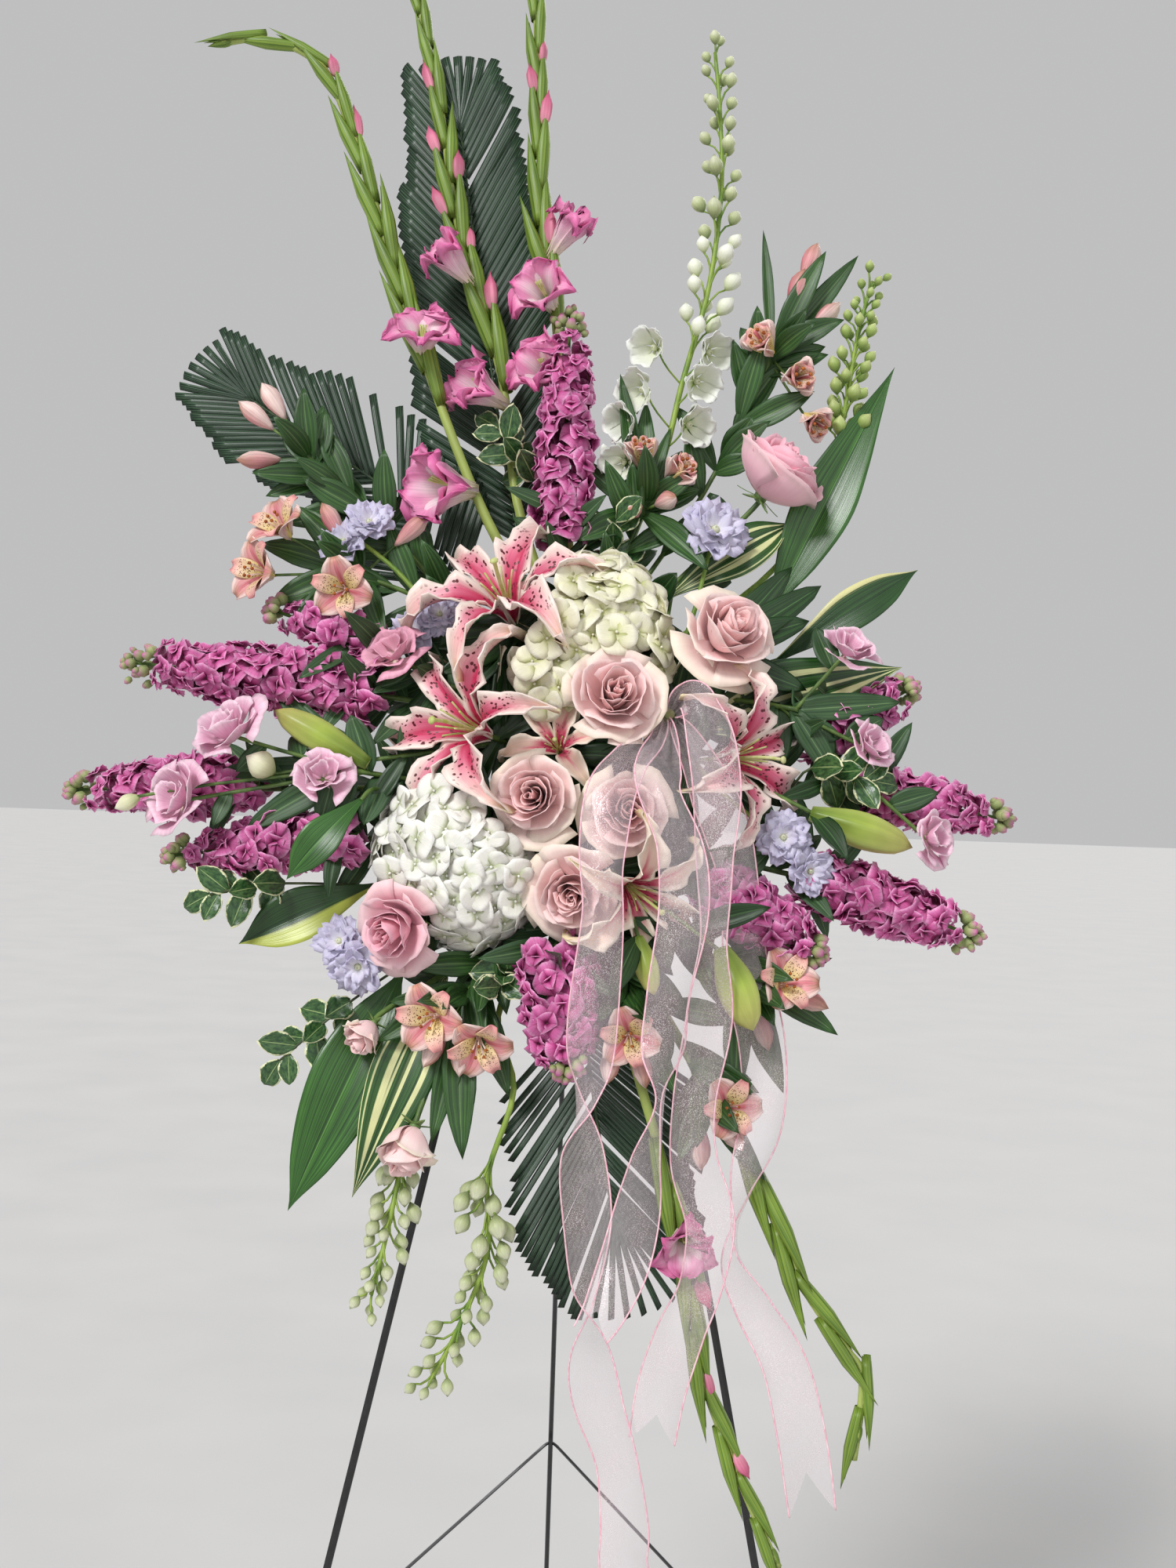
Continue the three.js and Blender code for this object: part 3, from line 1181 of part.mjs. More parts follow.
const larkspurs = [
  {
    name: 'larkspur_white_top', finish: 'whiteLarkspur',
    branches: [
      {
        route: [
          [64, 259, 50], [82, 340, 46], [103, 430, 42], [112, 520, 40], [110, 590, 38],
          [104, 654, 38],
        ],
        from: 0.45, buds: 8, size: 6.5,
        florets: [
          { at: [57, 372, 54], face: [-0.4, 0.3, 0.8], radius: 15 },
          { at: [104, 368, 56], face: [0.3, 0.2, 0.9] },
          { at: [48, 330, 60], face: [-0.4, 0, 0.8] },
          { at: [94, 338, 62], face: [0.3, 0, 0.9] },
          { at: [36, 300, 62], face: [-0.5, 0, 0.8], radius: 14 },
          { at: [88, 298, 64], face: [0.3, -0.1, 0.9] },
          { at: [34, 262, 66], face: [-0.4, -0.2, 0.8], radius: 14 },
        ],
      },
    ],
  },
  {
    name: 'larkspur_white_right', finish: 'whiteLarkspur', aim: 58,
    branches: [
      {
        route: [
          [150, 166, 46], [206, 246, 42], [220, 320, 50], [228, 375, 54], [240, 430, 54],
        ],
        from: 0.5, buds: 9, size: 5.5,
      },
    ],
  },
  {
    name: 'larkspur_white_low', finish: 'whiteLarkspur', fork: [-24, -128, 58], aim: -70,
    branches: [
      {
        route: [
          [-50, -200, 74], [-35, -256, 84], [-52, -320, 84], [-50, -379, 80], [-72, -440, 74],
          [-89, -473, 70],
        ],
        from: 0.45, buds: 7, size: 7.5,
      },
      {
        route: [
          [-92, -210, 58], [-118, -300, 52], [-128, -365, 66], [-137, -413, 78],
        ],
        from: 0.5, buds: 5, size: 7,
      },
    ],
  },
  {
    name: 'larkspur_lilac_left', finish: 'lilacLarkspur',
    branches: [
      {
        route: [[-100, 108, 74], [-150, 160, 72], [-190, 190, 68]],
        buds: 0,
        florets: [
          { at: [-195, 183, 78], face: [-0.3, 0.3, 0.9], radius: 15, doubled: true },
          { at: [-172, 200, 80], face: [0.1, 0.4, 0.9], radius: 14, doubled: true },
          { at: [-132, 106, 86], face: [-0.3, 0.1, 0.9], radius: 14, doubled: true },
          { at: [-110, 120, 92], face: [0, 0.2, 0.9], radius: 13, doubled: true },
        ],
      },
    ],
  },
  {
    name: 'larkspur_lilac_low_left', finish: 'lilacLarkspur', aim: -84,
    branches: [
      {
        route: [[-96, -138, 46], [-150, -154, 54], [-178, -158, 78]],
        buds: 0,
        florets: [
          { at: [-177, -146, 92], face: [-0.3, 0.1, 0.9], radius: 14, doubled: true },
          { at: [-160, -168, 94], face: [-0.1, -0.4, 0.9], radius: 15, doubled: true },
        ],
      },
    ],
  },
  {
    name: 'larkspur_lilac_right', finish: 'lilacLarkspur', fork: [64, 42, 61], aim: 34,
    branches: [
      {
        route: [[92, 120, 72], [108, 190, 76]],
        buds: 0,
        florets: [{ at: [112, 203, 84], face: [0.2, 0.3, 0.9], radius: 20, doubled: true }],
      },
      {
        route: [[92, 12, 84], [118, -18, 92], [159, -51, 98]],
        buds: 0,
        florets: [
          { at: [167, -56, 114], face: [0, 0, 1], radius: 15, doubled: true },
          { at: [190, -82, 108], face: [0.3, -0.2, 0.9], radius: 13, doubled: true },
        ],
      },
    ],
  },
];

const lisianthuses = [
  {
    name: 'lisianthus_left',
    by: [[-108, -16, 72]],
    hub: [-174, -14, 106], aim: -12,
    blooms: [
      { at: [-270, 16, 122], face: [-0.4, 0.4, 0.8], radius: 26 },
      { at: [-309, -44, 118], face: [-0.5, -0.1, 0.8], radius: 25 },
      { at: [-192, -22, 124], face: [0, 0.1, 0.9], radius: 20 },
    ],
    buds: [
      { at: [-230, -19, 104], tip: [-252, -8, 118], radius: 8 },
      { at: [-334, -40, 104], tip: [-356, -50, 98] },
    ],
  },
  {
    name: 'lisianthus_pale', hub: [-100, 62, 80], aim: 30,
    blooms: [{ at: [-146, 84, 112], face: [-0.3, 0.3, 0.9], radius: 22 }],
  },
  {
    name: 'lisianthus_right',
    by: [[110, 62, 66]],
    hub: [178, 48, 100], aim: 26,
    blooms: [
      { at: [220, 102, 106], face: [0.3, 0.4, 0.8], radius: 21 },
      { at: [238, 20, 112], face: [0.4, 0.1, 0.8], radius: 18 },
      { at: [288, -55, 110], face: [0.5, -0.2, 0.8], radius: 19 },
    ],
  },
];

const alstroemerias = [
  {
    name: 'alstroemeria_left', fork: [-60, 85, 40], aim: 66,
    clusters: [
      {
        by: [[-150, 190, 50]],
        hub: [-232, 262, 54],
        buds: [{ tip: [-290, 304, 62] }, { tip: [-288, 252, 64] }, { tip: [-272, 322, 60] }],
      },
      {
        by: [[-110, 130, 60]],
        hub: [-190, 160, 64],
        open: [
          { at: [-244, 190, 82], face: [-0.5, 0.5, 0.7] },
          { at: [-258, 151, 82], face: [-0.7, 0, 0.7] },
          { at: [-188, 136, 92], face: [-0.1, -0.2, 0.9], radius: 16 },
        ],
        buds: [{ tip: [-124, 206, 76] }, { tip: [-214, 216, 68] }],
      },
    ],
  },
  {
    name: 'alstroemeria_top', aim: 88,
    clusters: [
      {
        hub: [56, 232, 56],
        open: [
          { at: [50, 263, 72], face: [-0.1, 0.7, 0.7], radius: 15 },
          { at: [78, 250, 72], face: [0.6, 0.4, 0.7], radius: 15 },
        ],
        buds: [{ tip: [78, 226, 84] }, { tip: [40, 216, 84] }],
        leaves: [{ tip: [29, 340, 62], half: 8 }, { tip: [74, 300, 50], half: 6 }],
      },
    ],
  },
  {
    name: 'alstroemeria_right', aim: 80,
    clusters: [
      {
        by: [[103, 245, 42]],
        hub: [160, 372, 44],
        open: [
          { at: [150, 368, 66], face: [-0.5, 0.2, 0.8], radius: 16 },
          { at: [176, 340, 66], face: [0.3, -0.2, 0.9], radius: 16 },
          { at: [190, 304, 64], face: [0.4, -0.6, 0.7], radius: 15 },
        ],
        buds: [{ tip: [196, 472, 48] }, { tip: [216, 418, 48] }, { tip: [184, 444, 56] }],
        leaves: [{ tip: [118, 372, 50] }],
      },
    ],
  },
  {
    name: 'alstroemeria_low_left', aim: -76,
    clusters: [
      {
        hub: [-78, -188, 86],
        open: [
          { at: [-98, -204, 114], face: [-0.3, -0.2, 0.9], radius: 17 },
          { at: [-62, -222, 112], face: [0.1, -0.6, 0.8], radius: 16 },
        ],
        buds: [{ tip: [-104, -242, 104] }, { tip: [-76, -248, 108] }],
      },
    ],
  },
  {
    name: 'alstroemeria_low_right', fork: [38, -124, 66], aim: -86,
    clusters: [
      {
        hub: [50, -180, 84],
        open: [{ at: [52, -213, 112], face: [0, -0.2, 0.9], radius: 15 }],
        buds: [{ tip: [36, -250, 104] }, { tip: [66, -252, 102] }],
        leaves: [{ tip: [50, -236, 98], half: 9 }],
      },
      {
        by: [[100, -140, 78]],
        hub: [146, -164, 84],
        open: [{ at: [170, -168, 106], face: [0.3, 0.2, 0.9], radius: 16 }],
        buds: [{ tip: [160, -220, 96] }, { tip: [206, -186, 94] }],
        leaves: [{ tip: [134, -262, 92], half: 11 }],
      },
      {
        by: [[84, -200, 74]],
        hub: [112, -254, 78],
        open: [{ at: [130, -264, 98], face: [0.2, 0, 0.9], radius: 15 }],
        buds: [{ tip: [142, -296, 94] }, { tip: [110, -312, 92] }],
      },
    ],
  },
];

const palms = [
  {
    name: 'palm_top',
    route: [[-50, 200, 20], [-71, 297, 16], [-98, 449, 15], [-121, 590, 16]],
    leaflets: 22, reach: 88, aim: 80,
  },
  {
    name: 'palm_left',
    route: [[-100, 160, 24], [-156, 237, 18], [-233, 288, 16], [-290, 325, 16]],
    leaflets: 17, reach: 80, aim: 70,
  },
  {
    name: 'palm_low',
    route: [[16, -190, 44], [25, -248, 52], [37, -313, 56], [46, -350, 52]],
    leaflets: 15, reach: 100, aim: -84,
  },
];

const broadLeaves = [
  {
    name: 'aspidistra_right', finish: 'aspidistra', fork: [63, 62, 34], aim: 54,
    leaves: [
      {
        by: [[110, 100, 40]],
        at: [160, 142, 46], tip: [263, 362, 46], half: 25, shares: [0.7, 1, 0.75, 0.35, 0],
      },
      { by: [[110, 82, 44]], at: [165, 98, 56], tip: [280, 178, 62], half: 17 },
      {
        by: [[80, 52, 50]],
        at: [98, 34, 68], tip: [268, 96, 58], half: 32, shares: [0.7, 1, 0.8, 0.45, 0],
      },
      { by: [[72, 110, 46]], at: [76, 150, 54], tip: [178, 218, 52], half: 20 },
    ],
  },
  {
    name: 'aspidistra_left', finish: 'aspidistra', fork: [-62, -82, 40], aim: -72,
    leaves: [
      { by: [[-110, -92, 48]], at: [-154, -98, 56], tip: [-258, -150, 66], half: 21 },
      {
        by: [[-84, -120, 56]],
        at: [-104, -170, 66], tip: [-196, -354, 66], half: 34, shares: [0.7, 1, 0.8, 0.45, 0],
      },
      { by: [[-66, -118, 40]], at: [-76, -165, 42], tip: [-152, -342, 40], half: 17, arch: 3 },
      {
        by: [[-96, -72, 22], [-134, -30, 50], [-152, -28, 104]],
        at: [-160, -38, 116], tip: [-214, -104, 122], half: 15,
      },
    ],
  },
];

const pittosporums = [
  {
    name: 'pittosporum_upper', fork: [20, 124, 30], aim: 96,
    sprigs: [
      { by: [[-6, 230, 34]], at: [-40, 250, 44], tip: [-72, 290, 58], leaves: 5 },
      { at: [26, 165, 50], tip: [30, 208, 74], leaves: 4 },
      {
        by: [[74, 124, 26], [118, 42, 36], [162, -20, 72]],
        at: [190, 2, 98], tip: [236, -8, 104], leaves: 5,
      },
    ],
  },
  {
    name: 'pittosporum_lower', fork: [-44, -124, 30], aim: -98,
    sprigs: [
      { at: [-42, -160, 84], tip: [-48, -180, 124], leaves: 4, length: 30 },
      { by: [[-110, -150, 50]], at: [-166, -192, 70], tip: [-218, -240, 76], leaves: 5 },
      { by: [[-120, -100, 40]], at: [-222, -102, 80], tip: [-278, -114, 92], leaves: 5 },
    ],
  },
];

// Each piece is kept clear of the ones before it, and stays one body.
function assemble(pieces) {
  const placed = [];
  for (const item of pieces) {
    let solid = joined(item.solids);
    const box = boundsOf(solid);
    for (const guard of placed) {
      if (box.intersectsBox(guard.box)) solid = solid.subtract(guard.solid);
    }
    item.solid = largestBody(solid);
    for (const guard of item.guards) placed.push({ solid: guard, box: boundsOf(guard) });
  }
  return pieces;
}

function boundsOf(solid) {
  const { min, max } = solid.boundingBox();
  return new THREE.Box3(vector(min), vector(max));
}

function makeFoam(pieces) {
  const block = piece('floral_foam', 'wetFoam');
  const depth = foam.front - foam.back;
  let solid = solidOf(new THREE.BoxGeometry(2 * foam.halfWidth, 2 * foam.halfHeight, depth).translate(
    0, 0, foam.back + depth / 2));
  for (const { holes } of pieces) {
    for (const hole of holes) solid = solid.subtract(hole);
  }
  block.solid = largestBody(solid);
  return block;
}

function meshOf({ name, finish, solid }) {
  const material = new THREE.MeshStandardMaterial({ ...finishes[finish], name: `${name}_finish` });
  const mesh = new THREE.Mesh(geometryOf(solid), material);
  mesh.name = name;
  return mesh;
}

const leaning = assemble([
  makeEaselFrame(),
  makeTray(),
  makePick(),
  ...ribbons.map(makeRibbon),
  ...roses.map(makeRose),
  ...lilies.map(makeLily),
  ...hydrangeas.map(makeHydrangea),
  ...stocks.map(makeStock),
  ...gladioli.map(makeGladiolus),
  ...lisianthuses.map(makeLisianthus),
  ...larkspurs.map(makeLarkspur),
  ...alstroemerias.map(makeAlstroemeria),
  ...broadLeaves.map(makeLeaves),
  ...pittosporums.map(makePittosporum),
  ...palms.map(makePalm),
]);

const panel = new THREE.Group();
panel.rotation.x = Math.PI / 2 - leanAngle;
panel.position.z = heartHeight;
panel.add(...leaning.map(meshOf), meshOf(makeFoam(leaning)));

const legs = assemble([makeBackLeg(), makeStay()]).map(meshOf);

const spray = new THREE.Group();
spray.position.set(...centring);
spray.add(panel, ...legs);

export default spray;
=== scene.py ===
import math
import random
import bmesh
import bpy
from mathutils import Matrix, Vector


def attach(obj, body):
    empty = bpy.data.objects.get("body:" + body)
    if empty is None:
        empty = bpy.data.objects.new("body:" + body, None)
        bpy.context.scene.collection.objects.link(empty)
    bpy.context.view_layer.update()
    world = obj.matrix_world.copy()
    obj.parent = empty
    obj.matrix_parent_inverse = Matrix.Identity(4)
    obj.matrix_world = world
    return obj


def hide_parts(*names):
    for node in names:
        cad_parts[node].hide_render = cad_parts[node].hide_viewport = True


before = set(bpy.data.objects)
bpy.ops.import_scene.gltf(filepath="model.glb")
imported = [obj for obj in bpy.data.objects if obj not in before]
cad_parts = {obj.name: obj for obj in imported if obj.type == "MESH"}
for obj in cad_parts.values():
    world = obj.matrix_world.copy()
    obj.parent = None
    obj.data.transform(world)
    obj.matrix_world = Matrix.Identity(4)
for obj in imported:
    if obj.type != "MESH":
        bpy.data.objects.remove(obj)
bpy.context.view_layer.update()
scene = bpy.context.scene
print("stand and flowers loaded")

# Forms are laid out in millimetres from the heart of the spray, as across, up and out.
lean = math.radians(10)
heartFrame = (Matrix.Translation((0.025, -0.041, 1.022)) @ Matrix.Rotation(math.pi / 2 - lean, 4, "X")
              @ Matrix.Scale(0.001, 4))
golden = math.pi * (3 - math.sqrt(5))
fifth = 1.2566  # a fifth of a turn
foam = {"half": (55, 115, 38), "middle": 45}

# ---- camera
shot = {"place": (0.039, -1.541, 1.022), "lens": 40.9, "roll": 2}
camera = bpy.data.objects.new("camera", bpy.data.cameras.new("camera"))
scene.collection.objects.link(camera)
camera.data.lens = shot["lens"]
camera.matrix_world = (Matrix.Translation(shot["place"]) @ Matrix.Rotation(math.pi / 2, 4, "X")
                       @ Matrix.Rotation(math.radians(shot["roll"]), 4, "Z"))
scene.camera = camera
scene.view_settings.view_transform = "Standard"


# ---- how finishes are mixed
def tint(red, green, blue):
    # a colour as a paint chart gives it, 0 to 255
    return tuple(((c / 255 + 0.055) / 1.055) ** 2.4 if c > 10 else c / 3294 for c in (red, green, blue)) + (1,)


def addNode(tree, kind, inputs=None, **settings):
    node = tree.nodes.new("ShaderNode" + kind)
    for key, value in settings.items():
        setattr(node, key, value)
    for key, value in (inputs or {}).items():
        if isinstance(value, bpy.types.NodeSocket):
            tree.links.new(value, node.inputs[key])
        else:
            node.inputs[key].default_value = value
    return node


def newFinish(name, roughness=0.5, **sockets):
    material = bpy.data.materials.new(name)
    material.use_nodes = True
    shader = material.node_tree.nodes["Principled BSDF"]
    shader.inputs["Roughness"].default_value = roughness
    for key, value in sockets.items():
        shader.inputs[key.replace("_", " ")].default_value = value
    return material, material.node_tree, shader


def colourRamp(tree, share, stops):
    ramp = addNode(tree, "ValToRGB", {"Fac": share})
    elements = ramp.color_ramp.elements
    while len(elements) < len(stops):
        elements.new(0.5)
    for element, (place, colour) in zip(elements, stops):
        element.position = place
        element.color = colour
    return ramp.outputs["Color"]


def mixed(tree, share, first, second, blend="MIX"):
    return addNode(tree, "MixRGB", {"Fac": share, "Color1": first, "Color2": second},
                   blend_type=blend).outputs["Color"]


def sums(tree, operation, first, second=0.5, third=0.5):
    node = addNode(tree, "Math", operation=operation)
    for socket, value in zip(node.inputs, (first, second, third)):
        if isinstance(value, bpy.types.NodeSocket):
            tree.links.new(value, socket)
        else:
            socket.default_value = value
    return node.outputs[0]


def fade(tree, value, start, end):
    # 0 before start, 1 after end
    return addNode(tree, "MapRange", {"Value": value, "From Min": start, "From Max": end},
                   interpolation_type="SMOOTHSTEP").outputs["Result"]


def fadeOut(tree, value, start, end):
    return sums(tree, "SUBTRACT", 1.0, fade(tree, value, start, end))


def stretched(tree, place, *scale):
    return addNode(tree, "Mapping", {"Vector": place, "Scale": scale}).outputs["Vector"]


def noise(tree, place, size=1.0, detail=2.0):
    return addNode(tree, "TexNoise", {"Vector": place, "Scale": size, "Detail": detail}).outputs["Fac"]


def shaded(tree, colour, share, low, high, start=0.3, end=0.7):
    # darker where share is low, lighter where it is high
    shade = colourRamp(tree, share, [(start, (low,) * 3 + (1,)), (end, (high,) * 3 + (1,))])
    return mixed(tree, 1.0, colour, shade, "MULTIPLY")


def paint(tree, shader, colour, height, strength, distance=0.0006):
    bump = addNode(tree, "Bump", {"Height": height, "Strength": strength, "Distance": distance})
    tree.links.new(bump.outputs["Normal"], shader.inputs["Normal"])
    tree.links.new(colour, shader.inputs["Base Color"])


def bladePlaces(tree):
    # the flat place on a petal, its share across from the left, from the middle out, and its share along
    uv = addNode(tree, "UVMap").outputs["UV"]
    parts = addNode(tree, "SeparateXYZ", {"Vector": uv}).outputs
    across = sums(tree, "ABSOLUTE", sums(tree, "MULTIPLY_ADD", parts["X"], 2.0, -1.0))
    return uv, parts["X"], across, parts["Y"]


def placeOn(tree):
    return addNode(tree, "TexCoord").outputs["Object"]


def petalFinish(name, stops, margin=None, heart=None, spots=None, veins=0.3, patches=(0.82, 1.12),
                roughness=0.55, grain=(26, 1.6), bump=0.35, patchSize=38, **sockets):
    # stops run from the petal's foot to its rim; margin and heart lie across it
    material, tree, shader = newFinish(name, roughness, **sockets)
    uv, _, across, rise = bladePlaces(tree)
    colour = colourRamp(tree, rise, [(place, tint(*tone)) for place, *tone in stops])
    if margin:
        tone, start, end = margin
        colour = mixed(tree, fade(tree, across, start, end), colour, tint(*tone))
    if heart:
        tone, width, reach = heart
        inside = sums(tree, "MULTIPLY", fadeOut(tree, across, 0.15 * width, width),
                      fadeOut(tree, rise, 0.45 * reach, reach))
        colour = mixed(tree, inside, colour, tint(*tone))
    streak = noise(tree, stretched(tree, uv, *grain, 1), detail=3.0)
    colour = shaded(tree, colour, streak, 1 - veins, 1 + 0.25 * veins)
    if spots:
        tone, low, high, wide = spots
        cell = addNode(tree, "TexVoronoi", {"Vector": stretched(tree, uv, 10, 24, 1), "Scale": 1.0})
        band = sums(tree, "MULTIPLY", fade(tree, rise, low, low + 0.08), fadeOut(tree, rise, high - 0.12, high))
        inside = sums(tree, "MULTIPLY", band, fadeOut(tree, across, wide - 0.2, wide))
        dot = sums(tree, "MULTIPLY", fadeOut(tree, cell.outputs["Distance"], 0.27, 0.36), inside)
        colour = mixed(tree, dot, colour, tint(*tone))
    cloud = noise(tree, placeOn(tree), patchSize)
    paint(tree, shader, shaded(tree, colour, cloud, *patches, 0.32, 0.68), streak, bump)
    return material


def leafFinish(name, dark, light, rib=None, stripe=None, flank=None, margin=None, veins=(46, 0.6), roughness=0.38,
               bump=0.5, patches=(0.75, 1.2), ribWidth=0.05):
    # long veins from foot to tip; stripe is (colour, share, coarseness), flank one pale side, margin a pale edge
    material, tree, shader = newFinish(name, roughness)
    uv, fromLeft, across, _ = bladePlaces(tree)
    streak = noise(tree, stretched(tree, uv, *veins, 1))
    colour = colourRamp(tree, streak, [(0.34, tint(*dark)), (0.66, tint(*light))])
    if stripe:
        tone, share, coarse = stripe
        bands = noise(tree, stretched(tree, uv, coarse, 0.35, 1), detail=1.0)
        colour = mixed(tree, fade(tree, bands, 0.62 - 0.3 * share, 0.66 - 0.3 * share), colour, tint(*tone))
    if flank:
        tone, reach = flank
        edge = sums(tree, "MULTIPLY_ADD", streak, 0.16, fromLeft)
        colour = mixed(tree, fadeOut(tree, edge, reach + 0.05, reach + 0.12), colour, tint(*tone))
    if margin:
        tone, start = margin
        reach = sums(tree, "MULTIPLY_ADD", noise(tree, stretched(tree, uv, 7, 6, 1)), 0.5, across)
        colour = mixed(tree, fade(tree, reach, start + 0.2, start + 0.28), colour, tint(*tone))
    if rib:
        colour = mixed(tree, fadeOut(tree, across, 0.4 * ribWidth, ribWidth), colour, tint(*rib))
    cloud = noise(tree, placeOn(tree), 26.0)
    paint(tree, shader, shaded(tree, colour, cloud, *patches), streak, bump)
    return material


def stemFinish(name, first, second, size=90, roughness=0.5, bump=0.3):
    material, tree, shader = newFinish(name, roughness)
    cloud = noise(tree, stretched(tree, placeOn(tree), size, size, 0.25 * size), detail=3.0)
    paint(tree, shader, colourRamp(tree, cloud, [(0.35, tint(*first)), (0.65, tint(*second))]), cloud, bump, 0.0008)
    return material


# ---- building blocks
def along(stops, share):
    # a smooth value between evenly spaced stops
    reach = min(max(share, 0), 1) * (len(stops) - 1)
    k = min(int(reach), len(stops) - 2)
    t = reach - k
    before, first, last, after = (stops[min(max(k + n, 0), len(stops) - 1)] for n in (-1, 0, 1, 2))

    def bend(a, b, c, d):
        return 0.5 * (2 * b + (c - a) * t + (2 * a - 5 * b + 4 * c - d) * t * t + (3 * b - a - 3 * c + d) * t ** 3)
    if isinstance(first, (int, float)):
        return bend(before, first, last, after)
    return Vector([bend(*four) for four in zip(before, first, last, after)])


def smoothRoute(points, steps):
    return [along([tuple(p) for p in points], i / steps) for i in range(steps + 1)]


def stations(points, start, end, count):
    # evenly spaced places along a route, with the direction there
    lengths = [(b - a).length for a, b in zip(points, points[1:])]
    total = sum(lengths)
    stops = []
    for i in range(count):
        share = i / max(count - 1, 1)
        left = min(start + (end - start) * share, 0.9999) * total
        for a, b, length in zip(points, points[1:], lengths):
            if left <= length:
                stops.append((a.lerp(b, left / length), (b - a).normalized(), share))
                break
            left -= length
    return stops


def nearestOn(points, place):
    return min((stop[0] for stop in stations(points, 0, 1, 60)), key=lambda spot: (spot - place).length)


def unit(heading):
    return Vector(heading).normalized()


def sideways(heading):
    return heading.cross(Vector((0, 0, 1))).normalized()


def spun(angle, axis="Z"):
    return Matrix.Rotation(angle, 4, axis)


def sized(across, along, out):
    return Matrix.Diagonal((across, along, out, 1))


def spoke(angle, rise=0):
    # clockwise from +Y
    return Vector((math.sin(angle), math.cos(angle), rise))


def facing(at, face, turn=0, size=1):
    # +Z looks out along face, and +Y as near up the spray as it can
    out = unit(face)
    side = Vector((0, 1, 0)).cross(out).normalized()
    axes = Matrix((side, out.cross(side), out)).transposed().to_4x4()
    return Matrix.Translation(Vector(at)) @ axes @ spun(turn) @ Matrix.Scale(size, 4)


def pointing(at, heading, face=(0, 0, 1), roll=0):
    # +Y runs along heading, and +Z as near to face as it can
    ahead = unit(heading)
    side = ahead.cross(Vector(face)).normalized()
    axes = Matrix((side, ahead, side.cross(ahead))).transposed().to_4x4()
    return Matrix.Translation(Vector(at)) @ axes @ spun(roll, "Y")


def asMesh(bm, name="template"):
    mesh = bpy.data.meshes.new(name)
    bm.to_mesh(mesh)
    bm.free()
    return mesh


def newForm():
    bm = bmesh.new()
    bm.loops.layers.uv.new("UVMap")
    return bm


def stamp(bm, template, matrix, material=None):
    copy = template.copy()
    copy.transform(matrix)
    if material is not None:
        copy.polygons.foreach_set("material_index", [material] * len(copy.polygons))
    bm.from_mesh(copy)
    bpy.data.meshes.remove(copy)


def press(bm, mesh, matrix=Matrix()):
    # a form that is stamped once
    stamp(bm, mesh, matrix)
    bpy.data.meshes.remove(mesh)


def blade(columns, rows, shape, thick=0.03, material=0, uvSpan=(0, 1)):
    # a flat grid drawn into a petal or leaf: shape says where each place goes, across -1 to 1 and along 0 to 1
    bm = newForm()
    bmesh.ops.create_grid(bm, x_segments=columns, y_segments=rows, size=0.5, calc_uvs=True)
    layer = bm.loops.layers.uv.active
    for face in bm.faces:
        for loop in face.loops:
            loop[layer].uv.y = uvSpan[0] + (uvSpan[1] - uvSpan[0]) * loop[layer].uv.y
    for vert in bm.verts:
        vert.co = Vector(shape(2 * vert.co.x, vert.co.y + 0.5))
    bmesh.ops.remove_doubles(bm, verts=bm.verts[:], dist=0.0005)
    if thick:
        low, high = ([pick(vert.co[i] for vert in bm.verts) for i in range(3)] for pick in (min, max))
        bmesh.ops.solidify(bm, geom=bm.faces[:], thickness=thick)
        for vert in bm.verts:
            vert.co = [min(max(vert.co[i], low[i] - thick), high[i] + thick) for i in range(3)]
    for face in bm.faces:
        face.material_index = material
        face.smooth = not thick or min(edge.calc_length() for edge in face.edges) > 1.3 * thick
    return asMesh(bm)


def addStem(bm, points, radius, material=0, sides=6, tip=1.0):
    # a ring drawn out from point to point and closed at both ends
    points = [Vector(p) for p in points]
    headings = [(points[min(i + 1, len(points) - 1)] - points[max(i - 1, 0)]).normalized()
                for i in range(len(points))]
    turn = headings[0].to_track_quat("Z", "Y")
    made = bmesh.ops.create_circle(bm, cap_ends=True, radius=radius, segments=sides,
                                   matrix=Matrix.Translation(points[0]) @ turn.to_matrix().to_4x4())
    verts = made["verts"]
    faces = {face for vert in verts for face in vert.link_faces}
    edges = list({edge for vert in verts for edge in vert.link_edges})
    for i in range(1, len(points)):
        made = bmesh.ops.extrude_edge_only(bm, edges=edges)["geom"]
        verts = [part for part in made if isinstance(part, bmesh.types.BMVert)]
        edges = [part for part in made if isinstance(part, bmesh.types.BMEdge)
                 and all(vert in verts for vert in part.verts)]
        faces.update(part for part in made if isinstance(part, bmesh.types.BMFace))
        swing = headings[i - 1].rotation_difference(headings[i]).to_matrix().to_4x4()
        narrow = Matrix.Scale(1 - (1 - tip) / (len(points) - 1), 4)
        bmesh.ops.transform(bm, verts=verts, matrix=Matrix.Translation(points[i]) @ swing @ narrow
                            @ Matrix.Translation(-points[i - 1]))
    cap = bmesh.ops.contextual_create(bm, geom=edges)["faces"]
    faces.update(cap)
    bmesh.ops.recalc_face_normals(bm, faces=list(faces))
    for face in faces:
        face.material_index = material
        face.smooth = len(face.verts) == 4


def addBead(bm, at, radius, heading=(0, 0, 1), stretch=1.0, material=0, segments=8, rings=6):
    turn = Vector(heading).to_track_quat("Z", "Y").to_matrix().to_4x4()
    shape = sized(radius, radius, radius * stretch)
    made = bmesh.ops.create_uvsphere(bm, u_segments=segments, v_segments=rings, radius=1,
                                     matrix=Matrix.Translation(Vector(at)) @ turn @ shape, calc_uvs=True)
    for face in {face for vert in made["verts"] for face in vert.link_faces}:
        face.material_index = material
        face.smooth = True


